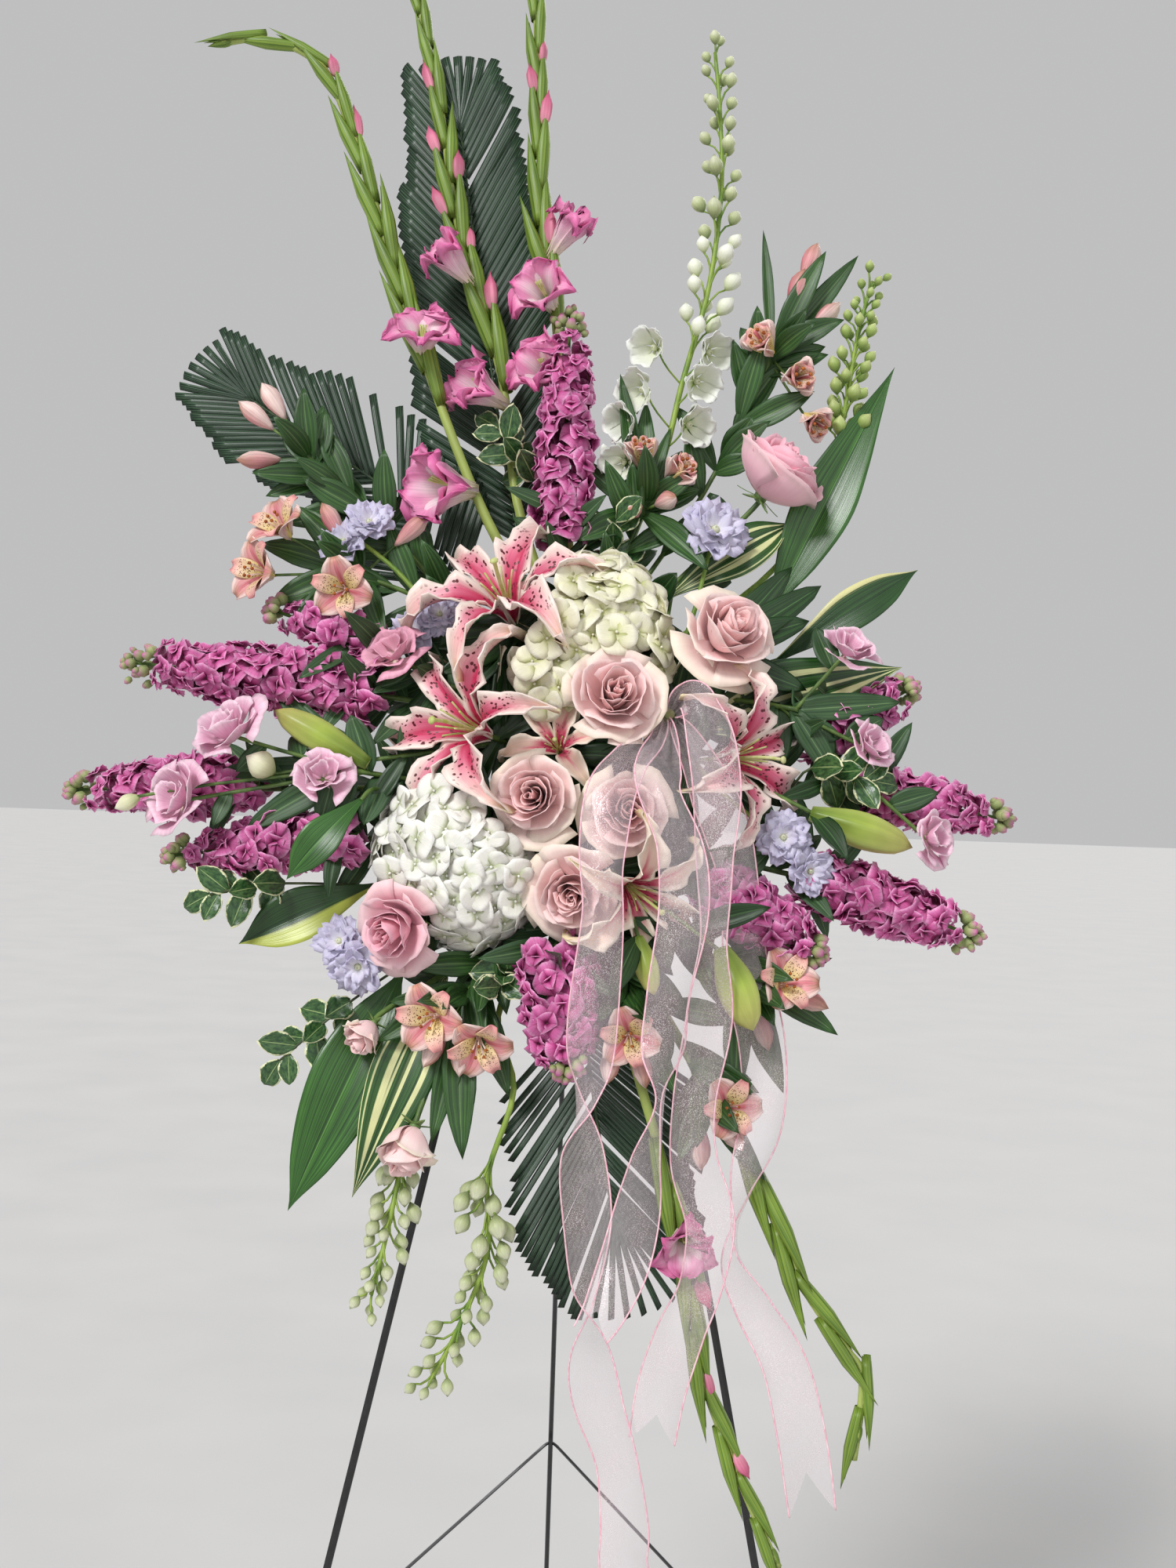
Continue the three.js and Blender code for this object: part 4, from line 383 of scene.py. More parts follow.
def foamExit(place, aimUp):
    # where a stem that makes for a place leaves the foam
    middle = Vector((0, 0, foam["middle"]))
    start = middle + Vector((0, aimUp, 0))
    heading = unit(Vector(place) - start)
    reach = min((middle[i] + math.copysign(foam["half"][i], heading[i]) - start[i]) / (heading[i] or 1e-9)
                for i in range(3))
    return start + heading * reach, heading


def addStalk(bm, points, radius, aim=None, tip=1.0):
    # a stem rooted in the foam that runs by the given points
    points = [Vector(p) for p in points]
    aim = min(max(points[0].y * 0.45, -80), 80) if aim is None else aim
    exitPoint, heading = foamExit(points[0], aim)
    stops = [exitPoint - heading * 18, exitPoint, *points]
    addStem(bm, smoothRoute(stops, 6 * (len(stops) - 1)), radius, tip=tip)
    return smoothRoute(stops[1:], 24)


def addStalks(bm, routes, radius, fork=None, aim=None, tip=1.0):
    # stems of their own, or one stem that forks
    if not fork:
        return [addStalk(bm, route, radius, aim, tip) for route in routes]
    heading = foamExit(fork, aim)[1]
    drawn = [addStalk(bm, [fork], radius + 0.5, aim)]
    for k, route in enumerate(routes):
        stops = [Vector(fork) + heading * (-1 - 3 * k), *[Vector(p) for p in route]]
        addStem(bm, smoothRoute(stops, 5 * (len(stops) - 1)), radius, tip=tip)
        drawn.append(smoothRoute(stops, 24))
    return drawn


def lance(seed):
    # a long pointed leaf along +Y, one unit long and two wide
    rng = random.Random(seed)
    bend, fold = rng.uniform(-0.4, 0.4), rng.uniform(0.2, 0.5)

    def shape(side, v):
        half = max(0, math.sin(math.pi * (0.05 + 0.95 * v))) ** 0.85
        wavy = 0.1 * side * math.sin(7 * v + seed)
        return half * side + bend * v * (1 - v) * 2, v, (fold * abs(side) + wavy) * half + 1.2 * v * (1 - 0.9 * v)
    return blade(6, 9, shape, thick=0.07)


def ovalLeaf(seed):
    rng = random.Random(seed)
    bend, fold, sag = rng.uniform(-0.3, 0.3), rng.uniform(0.1, 0.35), rng.uniform(0, 0.8)

    def shape(side, v):
        half = max(0, math.sin(math.pi * (0.03 + 0.97 * v) ** 0.8)) ** 0.6
        wavy = 0.07 * abs(side) ** 3 * math.sin(13 * v + seed + 2 * side)
        return half * side + bend * v * (1 - v), v, (fold * abs(side) + wavy) * half + sag * v * (1 - 1.4 * v)
    return blade(6, 9, shape, thick=0.06)


lances = [lance(seed) for seed in range(5)]
ovals = [ovalLeaf(seed) for seed in range(5)]


# no loose leaf ends in front of these: across, up, out and radius
clearings = [(122, 105, 108, 46), (33, 44, 138, 46), (-27, -36, 132, 42), (45, -45, 128, 42), (5, -109, 128, 42),
             (-131, -139, 104, 42), (160, 249, 60, 38), (-113, -302, 86, 32), (-151, -218, 80, 26),
             (-59, 131, 96, 78), (-85, 21, 104, 78), (135, 5, 100, 68), (-12, 10, 106, 44), (55, -107, 120, 52),
             (5, 95, 100, 76), (-81, -78, 96, 74), (-270, 16, 104, 28), (-309, -44, 100, 28), (-192, -22, 106, 26),
             (-146, 84, 96, 26), (220, 102, 92, 24), (238, 20, 98, 22), (288, -55, 96, 22), (112, 203, 72, 32),
             (167, -56, 102, 24), (190, -82, 96, 22), (-195, 183, 68, 24), (-172, 200, 68, 22), (-177, -146, 80, 24),
             (-160, -168, 82, 24), (-138, 372, 50, 28), (-127, 227, 60, 32), (-100, 327, 46, 26), (-44, 418, 42, 28),
             (-198, 8, 92, 20), (-225, 25, 92, 16), (228, -48, 100, 18), (130, -176, 130, 20),
             (108, -85, 118, 24), (108, -143, 114, 24), (109, -200, 108, 22), (100, -40, 128, 24),
             (168, 60, 62, 26), (206, 74, 60, 28), (244, 88, 56, 24), (26, -150, 150, 26), (24, -210, 140, 24)]


def inFront(place):
    return any(math.hypot(place.x - x, place.y - y) < radius and place.z > out for x, y, out, radius in clearings)


def addFoliage(bm, points, templates, material, count, length, half, rng, start=0.35, end=0.9, rise=0.6):
    # leaves set alternately round a stem
    for i, (place, heading, share) in enumerate(stations(points, start, end, count)):
        across = heading.cross(Vector((0.01, 0, 1))).normalized()
        turn = 2.4 * i + rng.uniform(-0.5, 0.5)
        out = across * math.sin(turn) + across.cross(heading) * math.cos(turn) * 0.6
        size = rng.uniform(0.8, 1.12)
        aimed = (out + heading * rise).normalized() * length * size
        while inFront(place + aimed) or inFront(place + aimed * 0.6):
            aimed = Vector((aimed.x, aimed.y, aimed.z - 12)) * 0.96
        matrix = pointing(place, aimed, Vector((0, 0, 1)) + heading * 0.2)
        stamp(bm, rng.choice(templates), matrix @ sized(half * size, length * size, half * size), material)


# a few long leaves seen in the gaps: foot, tip and half width
gapLeaves = {
    "rose_upper_right": [((108, 92, 92), (200, 160, 70), 13), ((108, 92, 92), (190, 128, 78), 13),
        ((106, 90, 88), (176, 176, 66), 12), ((108, 92, 92), (186, 66, 92), 12)],
    "lisianthus_left": [((-172, -14, 102), (-254, -62, 92), 12), ((-172, -14, 102), (-238, 54, 86), 12),
        ((-168, -14, 100), (-280, -16, 88), 11)],
    "lisianthus_right": [((174, 48, 98), (262, 60, 88), 11), ((174, 48, 98), (214, -14, 96), 10)],
}


def makePiece(node, part, bm, looks):
    # looks name the finishes in the order of the form's material numbers
    name = node + "_" + part
    for k, (foot, tip, half) in enumerate(gapLeaves.get(node, ())):
        heading = Vector(tip) - Vector(foot)
        stamp(bm, ovals[k % 5], pointing(foot, heading) @ sized(half, heading.length, half), len(looks) - 1)
    bm.transform(heartFrame)
    mesh = asMesh(bm, name)
    for look in looks:
        mesh.materials.append(finishes[look])
    piece = bpy.data.objects.new(name, mesh)
    scene.collection.objects.link(piece)
    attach(piece, "stand_and_flowers")
    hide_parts(node)
    return piece


# ---- finishes
# stops: share from foot to rim, red, green and blue
petalLooks = {
    "rosePink": {"stops": [(0, 255, 196, 196), (0.2, 255, 204, 206), (0.42, 253, 212, 210), (0.66, 251, 214, 214),
        (0.88, 251, 226, 220), (1, 249, 236, 214)], "veins": 0.05, "patches": (0.96, 1.02), "roughness": 0.6,
        "bump": 0.1, "Sheen_Weight": 0.15},
    "roseDeep": {"stops": [(0, 248, 172, 182), (0.3, 248, 182, 196), (0.66, 247, 190, 205), (1, 250, 216, 218)],
        "veins": 0.05, "patches": (0.96, 1.02), "roughness": 0.6, "bump": 0.1, "Sheen_Weight": 0.15},
    "lilyPink": {"stops": [(0, 222, 222, 150), (0.07, 178, 18, 60), (0.24, 206, 44, 92), (0.42, 226, 112, 144),
        (0.6, 240, 174, 182), (0.84, 248, 214, 204), (1, 236, 222, 180)], "margin": ((251, 232, 222), 0.4, 0.9),
        "spots": ((92, 4, 26), 0.1, 0.74, 0.9), "heart": ((198, 40, 88), 0.3, 0.84), "veins": 0.16,
        "patches": (0.9, 1.05), "roughness": 0.42, "bump": 0.4},
    "lilyCream": {"stops": [(0, 214, 214, 140), (0.08, 170, 20, 60), (0.26, 206, 70, 110), (0.42, 246, 210, 196),
        (0.8, 250, 228, 204), (1, 240, 226, 176)], "margin": ((252, 238, 220), 0.45, 0.9),
        "spots": ((96, 4, 30), 0.08, 0.4, 0.8), "heart": ((220, 110, 130), 0.22, 0.7), "veins": 0.12,
        "roughness": 0.45},
    "lilyBud": {"stops": [(0, 104, 132, 44), (0.5, 162, 182, 76), (1, 196, 190, 110)],
        "heart": ((222, 222, 150), 0.9, 1.1), "veins": 0.2, "grain": (14, 0.5), "roughness": 0.4},
    # hydrangea petals: the yellow-green foot is partly the florets' own green centre, partly painted shade in the
    # floret's depth
    "hydrangeaCream": {"stops": [(0, 196, 202, 130), (0.3, 240, 238, 200), (1, 251, 247, 226)], "veins": 0.1,
        "patches": (0.84, 1.02), "patchSize": 60, "bump": 0.3},
    "hydrangeaWhite": {"stops": [(0, 190, 200, 152), (0.3, 247, 246, 234), (1, 254, 253, 247)], "veins": 0.1,
        "patches": (0.86, 1.02), "patchSize": 60, "bump": 0.3},
    # stock petals: the dark band near the foot, deep in the floret, is painted shade; the pale rims are partly their
    # own colour, partly painted highlight
    "stockMauve": {"stops": [(0, 170, 120, 110), (0.12, 120, 26, 80), (0.45, 190, 72, 138), (0.8, 218, 110, 172),
        (1, 242, 168, 212)], "veins": 0.26, "patches": (0.74, 1.16), "patchSize": 60, "roughness": 0.55},
    "stockBud": {"stops": [(0, 108, 136, 70), (0.5, 160, 172, 112), (0.8, 206, 128, 168), (1, 196, 84, 150)],
        "veins": 0.2, "roughness": 0.6},
    "gladiolusPink": {"stops": [(0, 228, 222, 176), (0.34, 246, 214, 222), (0.62, 240, 158, 198),
        (1, 224, 104, 166)], "heart": ((251, 234, 238), 0.5, 0.94), "veins": 0.2, "patches": (0.84, 1.1),
        "roughness": 0.5},
    "gladiolusTip": {"stops": [(0, 206, 200, 130), (0.5, 232, 150, 170), (0.8, 222, 110, 148), (1, 186, 70, 108)],
        "veins": 0.35, "grain": (16, 0.6), "roughness": 0.5},
    "larkspurWhite": {"stops": [(0, 190, 202, 140), (0.3, 228, 232, 212), (1, 240, 242, 236)], "veins": 0.06,
        "patches": (0.92, 1.03), "bump": 0.2},
    "larkspurBud": {"stops": [(0, 108, 128, 66), (0.4, 188, 198, 146), (0.85, 224, 226, 196), (1, 132, 150, 80)],
        "veins": 0.24, "patches": (0.84, 1.06), "roughness": 0.5},
    "paleBud": {"stops": [(0, 170, 186, 110), (0.3, 232, 236, 208), (0.8, 246, 247, 236), (1, 196, 206, 140)],
        "veins": 0.12, "patches": (0.9, 1.04), "roughness": 0.5},
    "greenBudlet": {"stops": [(0, 96, 128, 48), (0.5, 158, 180, 96), (1, 206, 214, 150)], "veins": 0.2,
        "patches": (0.86, 1.08), "roughness": 0.5},
    "larkspurLilac": {"stops": [(0, 238, 238, 214), (0.25, 232, 228, 240), (1, 206, 200, 228)], "veins": 0.16,
        "patches": (0.9, 1.04)},
    "lisianthusPink": {"stops": [(0, 224, 224, 176), (0.2, 232, 190, 206), (0.65, 238, 182, 208),
        (1, 248, 214, 228)], "veins": 0.16, "patches": (0.86, 1.06), "roughness": 0.55},
    "lisianthusPale": {"stops": [(0, 222, 220, 180), (0.3, 238, 190, 206), (1, 236, 166, 190)], "veins": 0.14,
        "patches": (0.9, 1.06)},
    "budCream": {"stops": [(0, 150, 168, 100), (0.4, 222, 222, 178), (1, 240, 236, 212)], "veins": 0.1,
        "patches": (0.9, 1.05)},
    "alstroemeriaPink": {"stops": [(0, 228, 214, 156), (0.25, 240, 192, 178), (0.7, 232, 156, 160),
        (1, 198, 148, 120)], "margin": ((248, 220, 212), 0.35, 0.95), "heart": ((208, 108, 120), 0.22, 1.2),
        "veins": 0.35, "patches": (0.86, 1.08), "roughness": 0.5},
    "alstroemeriaThroat": {"stops": [(0, 236, 214, 120), (0.5, 246, 224, 164), (0.78, 242, 194, 176),
        (1, 230, 150, 152)], "spots": ((104, 34, 26), 0.15, 0.9, 0.95), "veins": 0.2, "roughness": 0.5},
}

leafLooks = {
    "darkLeaf": {"dark": (16, 42, 18), "light": (44, 80, 34), "rib": (70, 108, 56), "veins": (24, 0.5),
        "roughness": 0.36},
    "greyLeaf": {"dark": (30, 62, 32), "light": (66, 98, 56), "rib": (100, 130, 84), "veins": (16, 0.5),
        "roughness": 0.5},
    "gladiolusGreen": {"dark": (74, 106, 30), "light": (138, 164, 60), "veins": (18, 0.5),
        "margin": ((176, 190, 104), 1.0), "roughness": 0.42, "patches": (0.78, 1.14)},
    "lanceLeaf": {"dark": (24, 56, 26), "light": (70, 110, 50), "rib": (98, 128, 74), "veins": (26, 0.3)},
    "palmGreen": {"dark": (6, 22, 13), "light": (28, 54, 34), "veins": (7, 0.12), "roughness": 0.34, "bump": 0.8,
        "stripe": ((78, 108, 80), 0.3, 13)},
    "aspidistraGreen": {"dark": (22, 58, 22), "light": (66, 116, 44), "veins": (40, 0.35), "rib": (92, 140, 66),
        "ribWidth": 0.03, "roughness": 0.3},
    "aspidistraStriped": {"dark": (22, 54, 24), "light": (60, 104, 44), "veins": (40, 0.35),
        "stripe": ((212, 214, 158), 0.42, 8), "roughness": 0.3},
    "aspidistraHalf": {"dark": (18, 46, 20), "light": (46, 84, 34), "veins": (40, 0.35),
        "flank": ((176, 186, 78), 0.36), "roughness": 0.3},
    "aspidistraEdged": {"dark": (18, 48, 20), "light": (46, 88, 36), "veins": (40, 0.35),
        "flank": ((214, 210, 150), 0.12), "roughness": 0.3},
    "pittosporumLeaf": {"dark": (30, 66, 34), "light": (74, 110, 60), "rib": (150, 172, 112),
        "margin": ((226, 228, 184), 0.9), "veins": (9, 7), "roughness": 0.3},
}

stemLooks = {
    "stemGreen": {"first": (58, 84, 34), "second": (104, 132, 62)},
    "darkStem": {"first": (44, 58, 30), "second": (78, 92, 50)},
    "sepalGreen": {"first": (72, 104, 48), "second": (120, 148, 84), "size": 160},
    "pistilGreen": {"first": (176, 190, 96), "second": (206, 206, 150), "size": 200},
    "antherRust": {"first": (132, 62, 20), "second": (186, 104, 40), "size": 400, "roughness": 0.8},
    "larkspurStem": {"first": (96, 132, 44), "second": (150, 174, 74)},
    "palmRib": {"first": (34, 56, 30), "second": (66, 90, 52)},
    "wireEdge": {"first": (234, 168, 186), "second": (252, 214, 222), "size": 700, "roughness": 0.5},
}
finishes = {name: petalFinish(name, **look) for name, look in petalLooks.items()}
finishes.update({name: leafFinish(name, **look) for name, look in leafLooks.items()})
finishes.update({name: stemFinish(name, **look) for name, look in stemLooks.items()})
print("finishes mixed")


# ---- roses
roseShape = {
    "open": {"petals": 27, "rim": [0.03, 0.09, 0.16, 0.25, 0.35, 0.47, 0.63, 0.84, 1.0],
        "spans": [330, 230, 180, 155, 135, 122, 118, 112, 108], "tops": [0.96, 1.0, 1.03, 1.03, 0.99, 0.92, 0.78,
        0.58, 0.4], "curls": [0, 0.05, 0.2, 0.4, 0.6, 0.8, 1.1, 1.4, 1.7],
        "steeps": [2.6, 2.6, 2.6, 2.5, 2.4, 2.1, 1.8, 1.5, 1.3], "starts": [0, 0.02, 0.05, 0.1, 0.2, 0.32, 0.44,
        0.52, 0.56], "ends": [0.34, 0.4, 0.46, 0.54, 0.62, 0.72, 0.84, 0.94, 1]},
    "cup": {"petals": 26, "rim": [0.04, 0.14, 0.27, 0.41, 0.56, 0.71, 0.85, 0.97],
        "spans": [330, 200, 165, 145, 130, 124, 120, 116], "tops": [1.1, 1.14, 1.14, 1.12, 1.08, 1.0, 0.92, 0.8],
        "curls": [0, 0.1, 0.3, 0.5, 0.8, 1.1, 1.5, 2.0], "steeps": [3.4, 3.4, 3.4, 3.3, 3.2, 3.0, 2.8, 2.5],
        "starts": [0, 0.05, 0.12, 0.2, 0.3, 0.34, 0.38, 0.4], "ends": [0.36, 0.42, 0.5, 0.58, 0.66, 0.74, 0.84,
        0.94]},
    "bud": {"petals": 18, "rim": [0.05, 0.16, 0.3, 0.43, 0.55, 0.66], "spans": [330, 200, 160, 135, 125, 120],
        "tops": [1.16, 1.2, 1.18, 1.12, 1.0, 0.86], "curls": [0, 0.2, 0.5, 0.9, 1.3, 1.9],
        "steeps": [3.2, 3.6, 3.8, 3.6, 3.2, 2.6], "starts": [0.05, 0.1, 0.2, 0.3, 0.36, 0.4],
        "ends": [0.4, 0.5, 0.62, 0.74, 0.86, 1]},
}


def rosePetal(rim, top, span, curl, steep, run, rng):
    reach = math.radians(span) / 2
    foot = min(0.1, 0.6 * rim)
    phase, tilt, point = rng.uniform(0, 6), rng.uniform(-0.12, 0.12), rng.uniform(0.0, 0.07)

    def shape(side, v):
        rise = v * (1 - 0.2 * abs(side) ** 2.4 + tilt * side * v)
        width = 0.5 + 0.5 * math.sin(min(rise * 1.9, math.pi / 2))
        radius = foot + (rim - foot) * (1 - (1 - min(rise, 1)) ** steep)
        height = -0.08 + (top + 0.08) * rise ** 1.15 + point * v ** 6 * math.exp(-30 * side * side)
        roll = max(0, (v - 0.72) / 0.28) ** 2
        radius += curl * (0.06 + 0.09 * abs(side - 0.1) ** 1.5) * roll + 0.04 * side * rise
        radius += (0.03 * math.sin(4 * side + phase) + 0.02 * math.sin(9 * side + 2 * phase)) * v ** 3 * (0.25 + rim)
        height += (0.022 * math.cos(5 * side + phase) - 0.05 * curl) * roll
        angle = reach * side * width
        return radius * math.sin(angle), radius * math.cos(angle), height
    return blade(9 if rim > 0.2 else 7, 8, shape, thick=0.008, material=1, uvSpan=run)


def roseBloom(kind, seed):
    rng = random.Random(seed)
    look = roseShape[kind]
    bm = newForm()
    start = rng.uniform(0, 6.28)
    for i in range(look["petals"]):
        rim, top, span, curl, steep, *run = (along(look[key], i / (look["petals"] - 1)) for key in (
            "rim", "tops", "spans", "curls", "steeps", "starts", "ends"))
        petal = rosePetal(max(rim, 0.03) * rng.uniform(0.9, 1.1), top * rng.uniform(0.93, 1.06),
                          span * rng.uniform(0.74, 1.12), curl * rng.uniform(0.6, 1.4), steep, run, rng)
        tilt = spun(rng.uniform(-0.1, 0.06), "X") @ spun(rng.uniform(-0.07, 0.07), "Y")
        press(bm, petal, spun(start + i * golden + rng.uniform(-0.4, 0.4)) @ tilt)
    addBead(bm, (0, 0, -0.1), 0.16, stretch=0.9, material=2)

    def sepalShape(side, v):
        return 0.1 * side * (1 - v) ** 0.6, 0.08 + 0.5 * v, -0.12 - 0.16 * v + 0.05 * v * v
    sepal = blade(2, 5, sepalShape, thick=0.015, material=2)
    for i in range(5):
        stamp(bm, sepal, spun(i * fifth))
    return asMesh(bm)


# blooms: place, facing, radius, turn, and places that the stem runs by
roses = {
    "rose_upper_right": {"kind": "open", "blooms": [((122, 105, 120), (0.35, 0.25, 0.9), 43)]},
    "rose_centre": {"kind": "open", "blooms": [((33, 44, 150), (0.1, 0.1, 1), 42, 0.4)]},
    "rose_centre_left": {"kind": "open", "blooms": [((-27, -36, 145), (-0.15, -0.1, 1), 38, 0.9)]},
    "rose_centre_right": {"kind": "open", "blooms": [((45, -45, 140), (0.15, -0.1, 1), 37, 1.3)]},
    "rose_lower": {"kind": "open", "blooms": [((5, -109, 140), (-0.1, -0.35, 0.9), 37, 0.2)]},
    "rose_left": {"kind": "open", "blooms": [((-131, -139, 120), (-0.45, -0.45, 0.8), 36, 0.7)]},
    "rose_top_right": {"kind": "cup", "blooms": [((160, 249, 75), (0.6, 0.75, 0.45), 36, 0.3)]},
    "rose_hanging": {"kind": "bud", "fork": (-55, -128, 50), "aim": -60,
        "blooms": [((-113, -302, 98), (-0.25, -0.95, 0.25), 31, 0, (-82, -200, 72)),
        ((-151, -218, 95), (-0.5, -0.7, 0.4), 22, 0, (-85, -160, 62))]},
}
for k, (name, rose) in enumerate(roses.items()):
    bm = newForm()
    kind, routes, places = rose["kind"], [], []
    for at, face, radius, *rest in rose["blooms"]:
        turn, *by = rest or [0]
        face = unit(face)
        neck = Vector(at) - 0.55 * radius * face
        routes.append([*by, neck - 0.6 * radius * face, neck])
        size = radius * (1.08 if kind == "cup" else 0.94)
        places.append(facing(Vector(at) - 0.45 * radius * face, face, turn, size))
    rng = random.Random(k + 3)
    for points in addStalks(bm, routes, 2.3, rose.get("fork"), rose.get("aim")):
        addFoliage(bm, points, ovals, 3, 3, 38, 12, rng, start=0.25, end=0.7)
    for n, place in enumerate(places):
        stamp(bm, roseBloom(kind, 11 + 7 * k + n), place)
    petals = "roseDeep" if name in ("rose_top_right", "rose_left") else "rosePink"
    makePiece(name, "flower", bm, ["stemGreen", petals, "sepalGreen", "darkLeaf"])
print("roses made:", len(roses))


# ---- lilies
lilyShape = {
    "profile": [(0.03, -0.06), (0.18, 0.22), (0.42, 0.4), (0.7, 0.44), (0.94, 0.32), (1.08, 0.1)],
    "half": [0.05, 0.105, 0.16, 0.175, 0.135, 0.062, 0.0],
}


def lilyTepal(wide, seed):
    rng = random.Random(seed)
    wave, bend = rng.uniform(0, 6), rng.uniform(-0.05, 0.05)

    def shape(side, v):
        reach, height = along(lilyShape["profile"], v)
        half = max(along(lilyShape["half"], v), 0) * wide
        lift = 0.1 * side * side - 0.04 * math.exp(-18 * side * side)
        ruffle = 0.07 * abs(side) ** 2 * (math.sin(16 * v + wave + 2 * side) + 0.5 * math.sin(31 * v + 2 * wave))
        return half * side + bend * v * v, reach, height + (lift + ruffle) * min(1, 3 * v) * wide
    return blade(10, 16, shape, thick=0.012, material=1)


# buds: foot, tip and radius
lilies = {
    "lily_upper_left": {"at": (-59, 131, 115), "face": (-0.3, 0.6, 0.75), "reach": 80, "turn": 0.35},
    "lily_left": {"at": (-85, 21, 125), "face": (-0.68, 0.12, 0.72), "reach": 80, "turn": 0.1,
        "buds": [((-159, -8, 100), (-236, 33, 100), 13)]},
    "lily_right": {"at": (135, 5, 120), "face": (0.78, 0, 0.6), "reach": 70, "turn": 0.5,
        "buds": [((188, -36, 108), (267, -61, 112), 14)]},
    "lily_small": {"at": (-12, 10, 116), "face": (-0.2, 0.2, 1), "reach": 44, "turn": 0.2,
        "tepals": (0, 1, 3, 4, 5)},
    "lily_lower": {"at": (55, -107, 135), "face": (0.5, -0.5, 0.7), "reach": 60, "turn": 0.8,
        "buds": [((56, -139, 130), (69, -183, 138), 9), ((118, -146, 138), (143, -207, 144), 15)]},
}


def curvedBud(bm, base, tip, radius, material):
    # a lily bud: six seamed tepals still closed on each other
    axis = Vector(tip) - Vector(base)
    length = axis.length

    def shape(side, v):
        angle = math.pi * (side + 1)
        girth = radius * (0.42 + 0.62 * math.sin(math.pi * min(1, v * 1.02) ** 1.1)) * (1 if v < 0.97 else 0.5)
        girth *= max(0.0, min(1, (1 - v) * 7)) ** 0.5 if v > 0.86 else 1
        girth *= 1.05 - 0.12 * abs(math.sin(3 * angle)) ** 0.4 * (1 - 0.4 * v)
        return girth * math.sin(angle), length * v, girth * math.cos(angle)
    shell = blade(36, 14, shape, thick=0, material=material)
    form = newForm()
    form.from_mesh(shell)
    bmesh.ops.remove_doubles(form, verts=form.verts[:], dist=0.05)
    bmesh.ops.holes_fill(form, edges=[edge for edge in form.edges if edge.is_boundary], sides=40)
    bmesh.ops.recalc_face_normals(form, faces=form.faces[:])
    shell = asMesh(form)
    stamp(bm, shell, pointing(base, axis))


for k, (name, lily) in enumerate(lilies.items()):
    bm = newForm()
    face, reach = unit(lily["face"]), lily["reach"]
    base = Vector(lily["at"]) - 0.3 * reach * face
    neck = base - 0.3 * reach * face
    points = addStalk(bm, [neck, base], 2.4)
    addFoliage(bm, points, lances, 4, 9, 84, 11, random.Random(k + 20), start=0.08, end=0.6, rise=0.1)
    frameHere = facing(base, face, lily.get("turn", 0), reach)
    for i in lily.get("tepals", range(6)):
        tepal = lilyTepal(1.16 if i % 2 else 0.86, 31 * k + i)
        lower = Matrix.Translation((0, 0, 0.012 if i % 2 else -0.012))
        stamp(bm, tepal, frameHere @ lower @ spun((i + 0.5) * math.pi / 3))
    inside = [frameHere @ Vector(p) for p in ((0, 0, -0.02), (0.01, -0.02, 0.3), (0.03, -0.05, 0.56),
                                              (0.05, -0.1, 0.74))]
    addStem(bm, smoothRoute(inside, 8), 0.022 * reach, 2, 6, 0.9)
    addBead(bm, inside[-1], 0.045 * reach, face, 0.6, 2)
    for i in range(6):
        angle = i * math.pi / 3 + 0.3
        out = spoke(angle)
        stops = [frameHere @ (out * r + Vector((0, 0, h))) for r, h in ((0.03, 0), (0.07, 0.25), (0.17, 0.5))]
        addStem(bm, smoothRoute(stops, 5), 0.012 * reach, 2, 5, 0.8)
    for foot, tip, radius in lily.get("buds", []):
        foot, tip = Vector(foot), Vector(tip)
        stops = smoothRoute([neck, neck.lerp(foot, 0.5) + face * 4, foot.lerp(tip, 0.06)], 8)
        addStem(bm, stops, 1.8, 0)
        addFoliage(bm, stops, lances, 4, 4, 62, 9, random.Random(k + 27), start=0.2, end=0.95, rise=0.8)
        curvedBud(bm, foot, tip, radius, 3)
    tepals = "lilyCream" if name in ("lily_small", "lily_lower") else "lilyPink"
    makePiece(name, "flower", bm, ["stemGreen", tepals, "pistilGreen", "lilyBud", "darkLeaf"])
print("lilies made:", len(lilies))


# ---- hydrangeas
def hydrangeaFloret(seed):
    rng = random.Random(seed)
    bm = newForm()
    for i in range(4):
        cup, twist, size = rng.uniform(-0.16, 0.12), rng.uniform(-0.2, 0.2), rng.uniform(0.9, 1.08)

        def shape(side, v):
            half = 0.76 * math.sin(math.pi * (0.09 + 0.76 * v)) ** 0.5 * size
            x, y = half * side, (0.04 + 1.0 * v) * size
            return x, y * (1 - 0.1 * side * side), 0.08 + cup * v * v - 0.1 * side * side * v + twist * side * v
        petal = blade(4, 4, shape, thick=0.01, material=1)
        press(bm, petal, spun(i * math.pi / 2 + rng.uniform(-0.12, 0.12))
              @ spun(rng.uniform(-0.05, 0.1), "Y"))
    addBead(bm, (0, 0, 0.12), 0.09, material=1, segments=5, rings=4)
    return asMesh(bm)


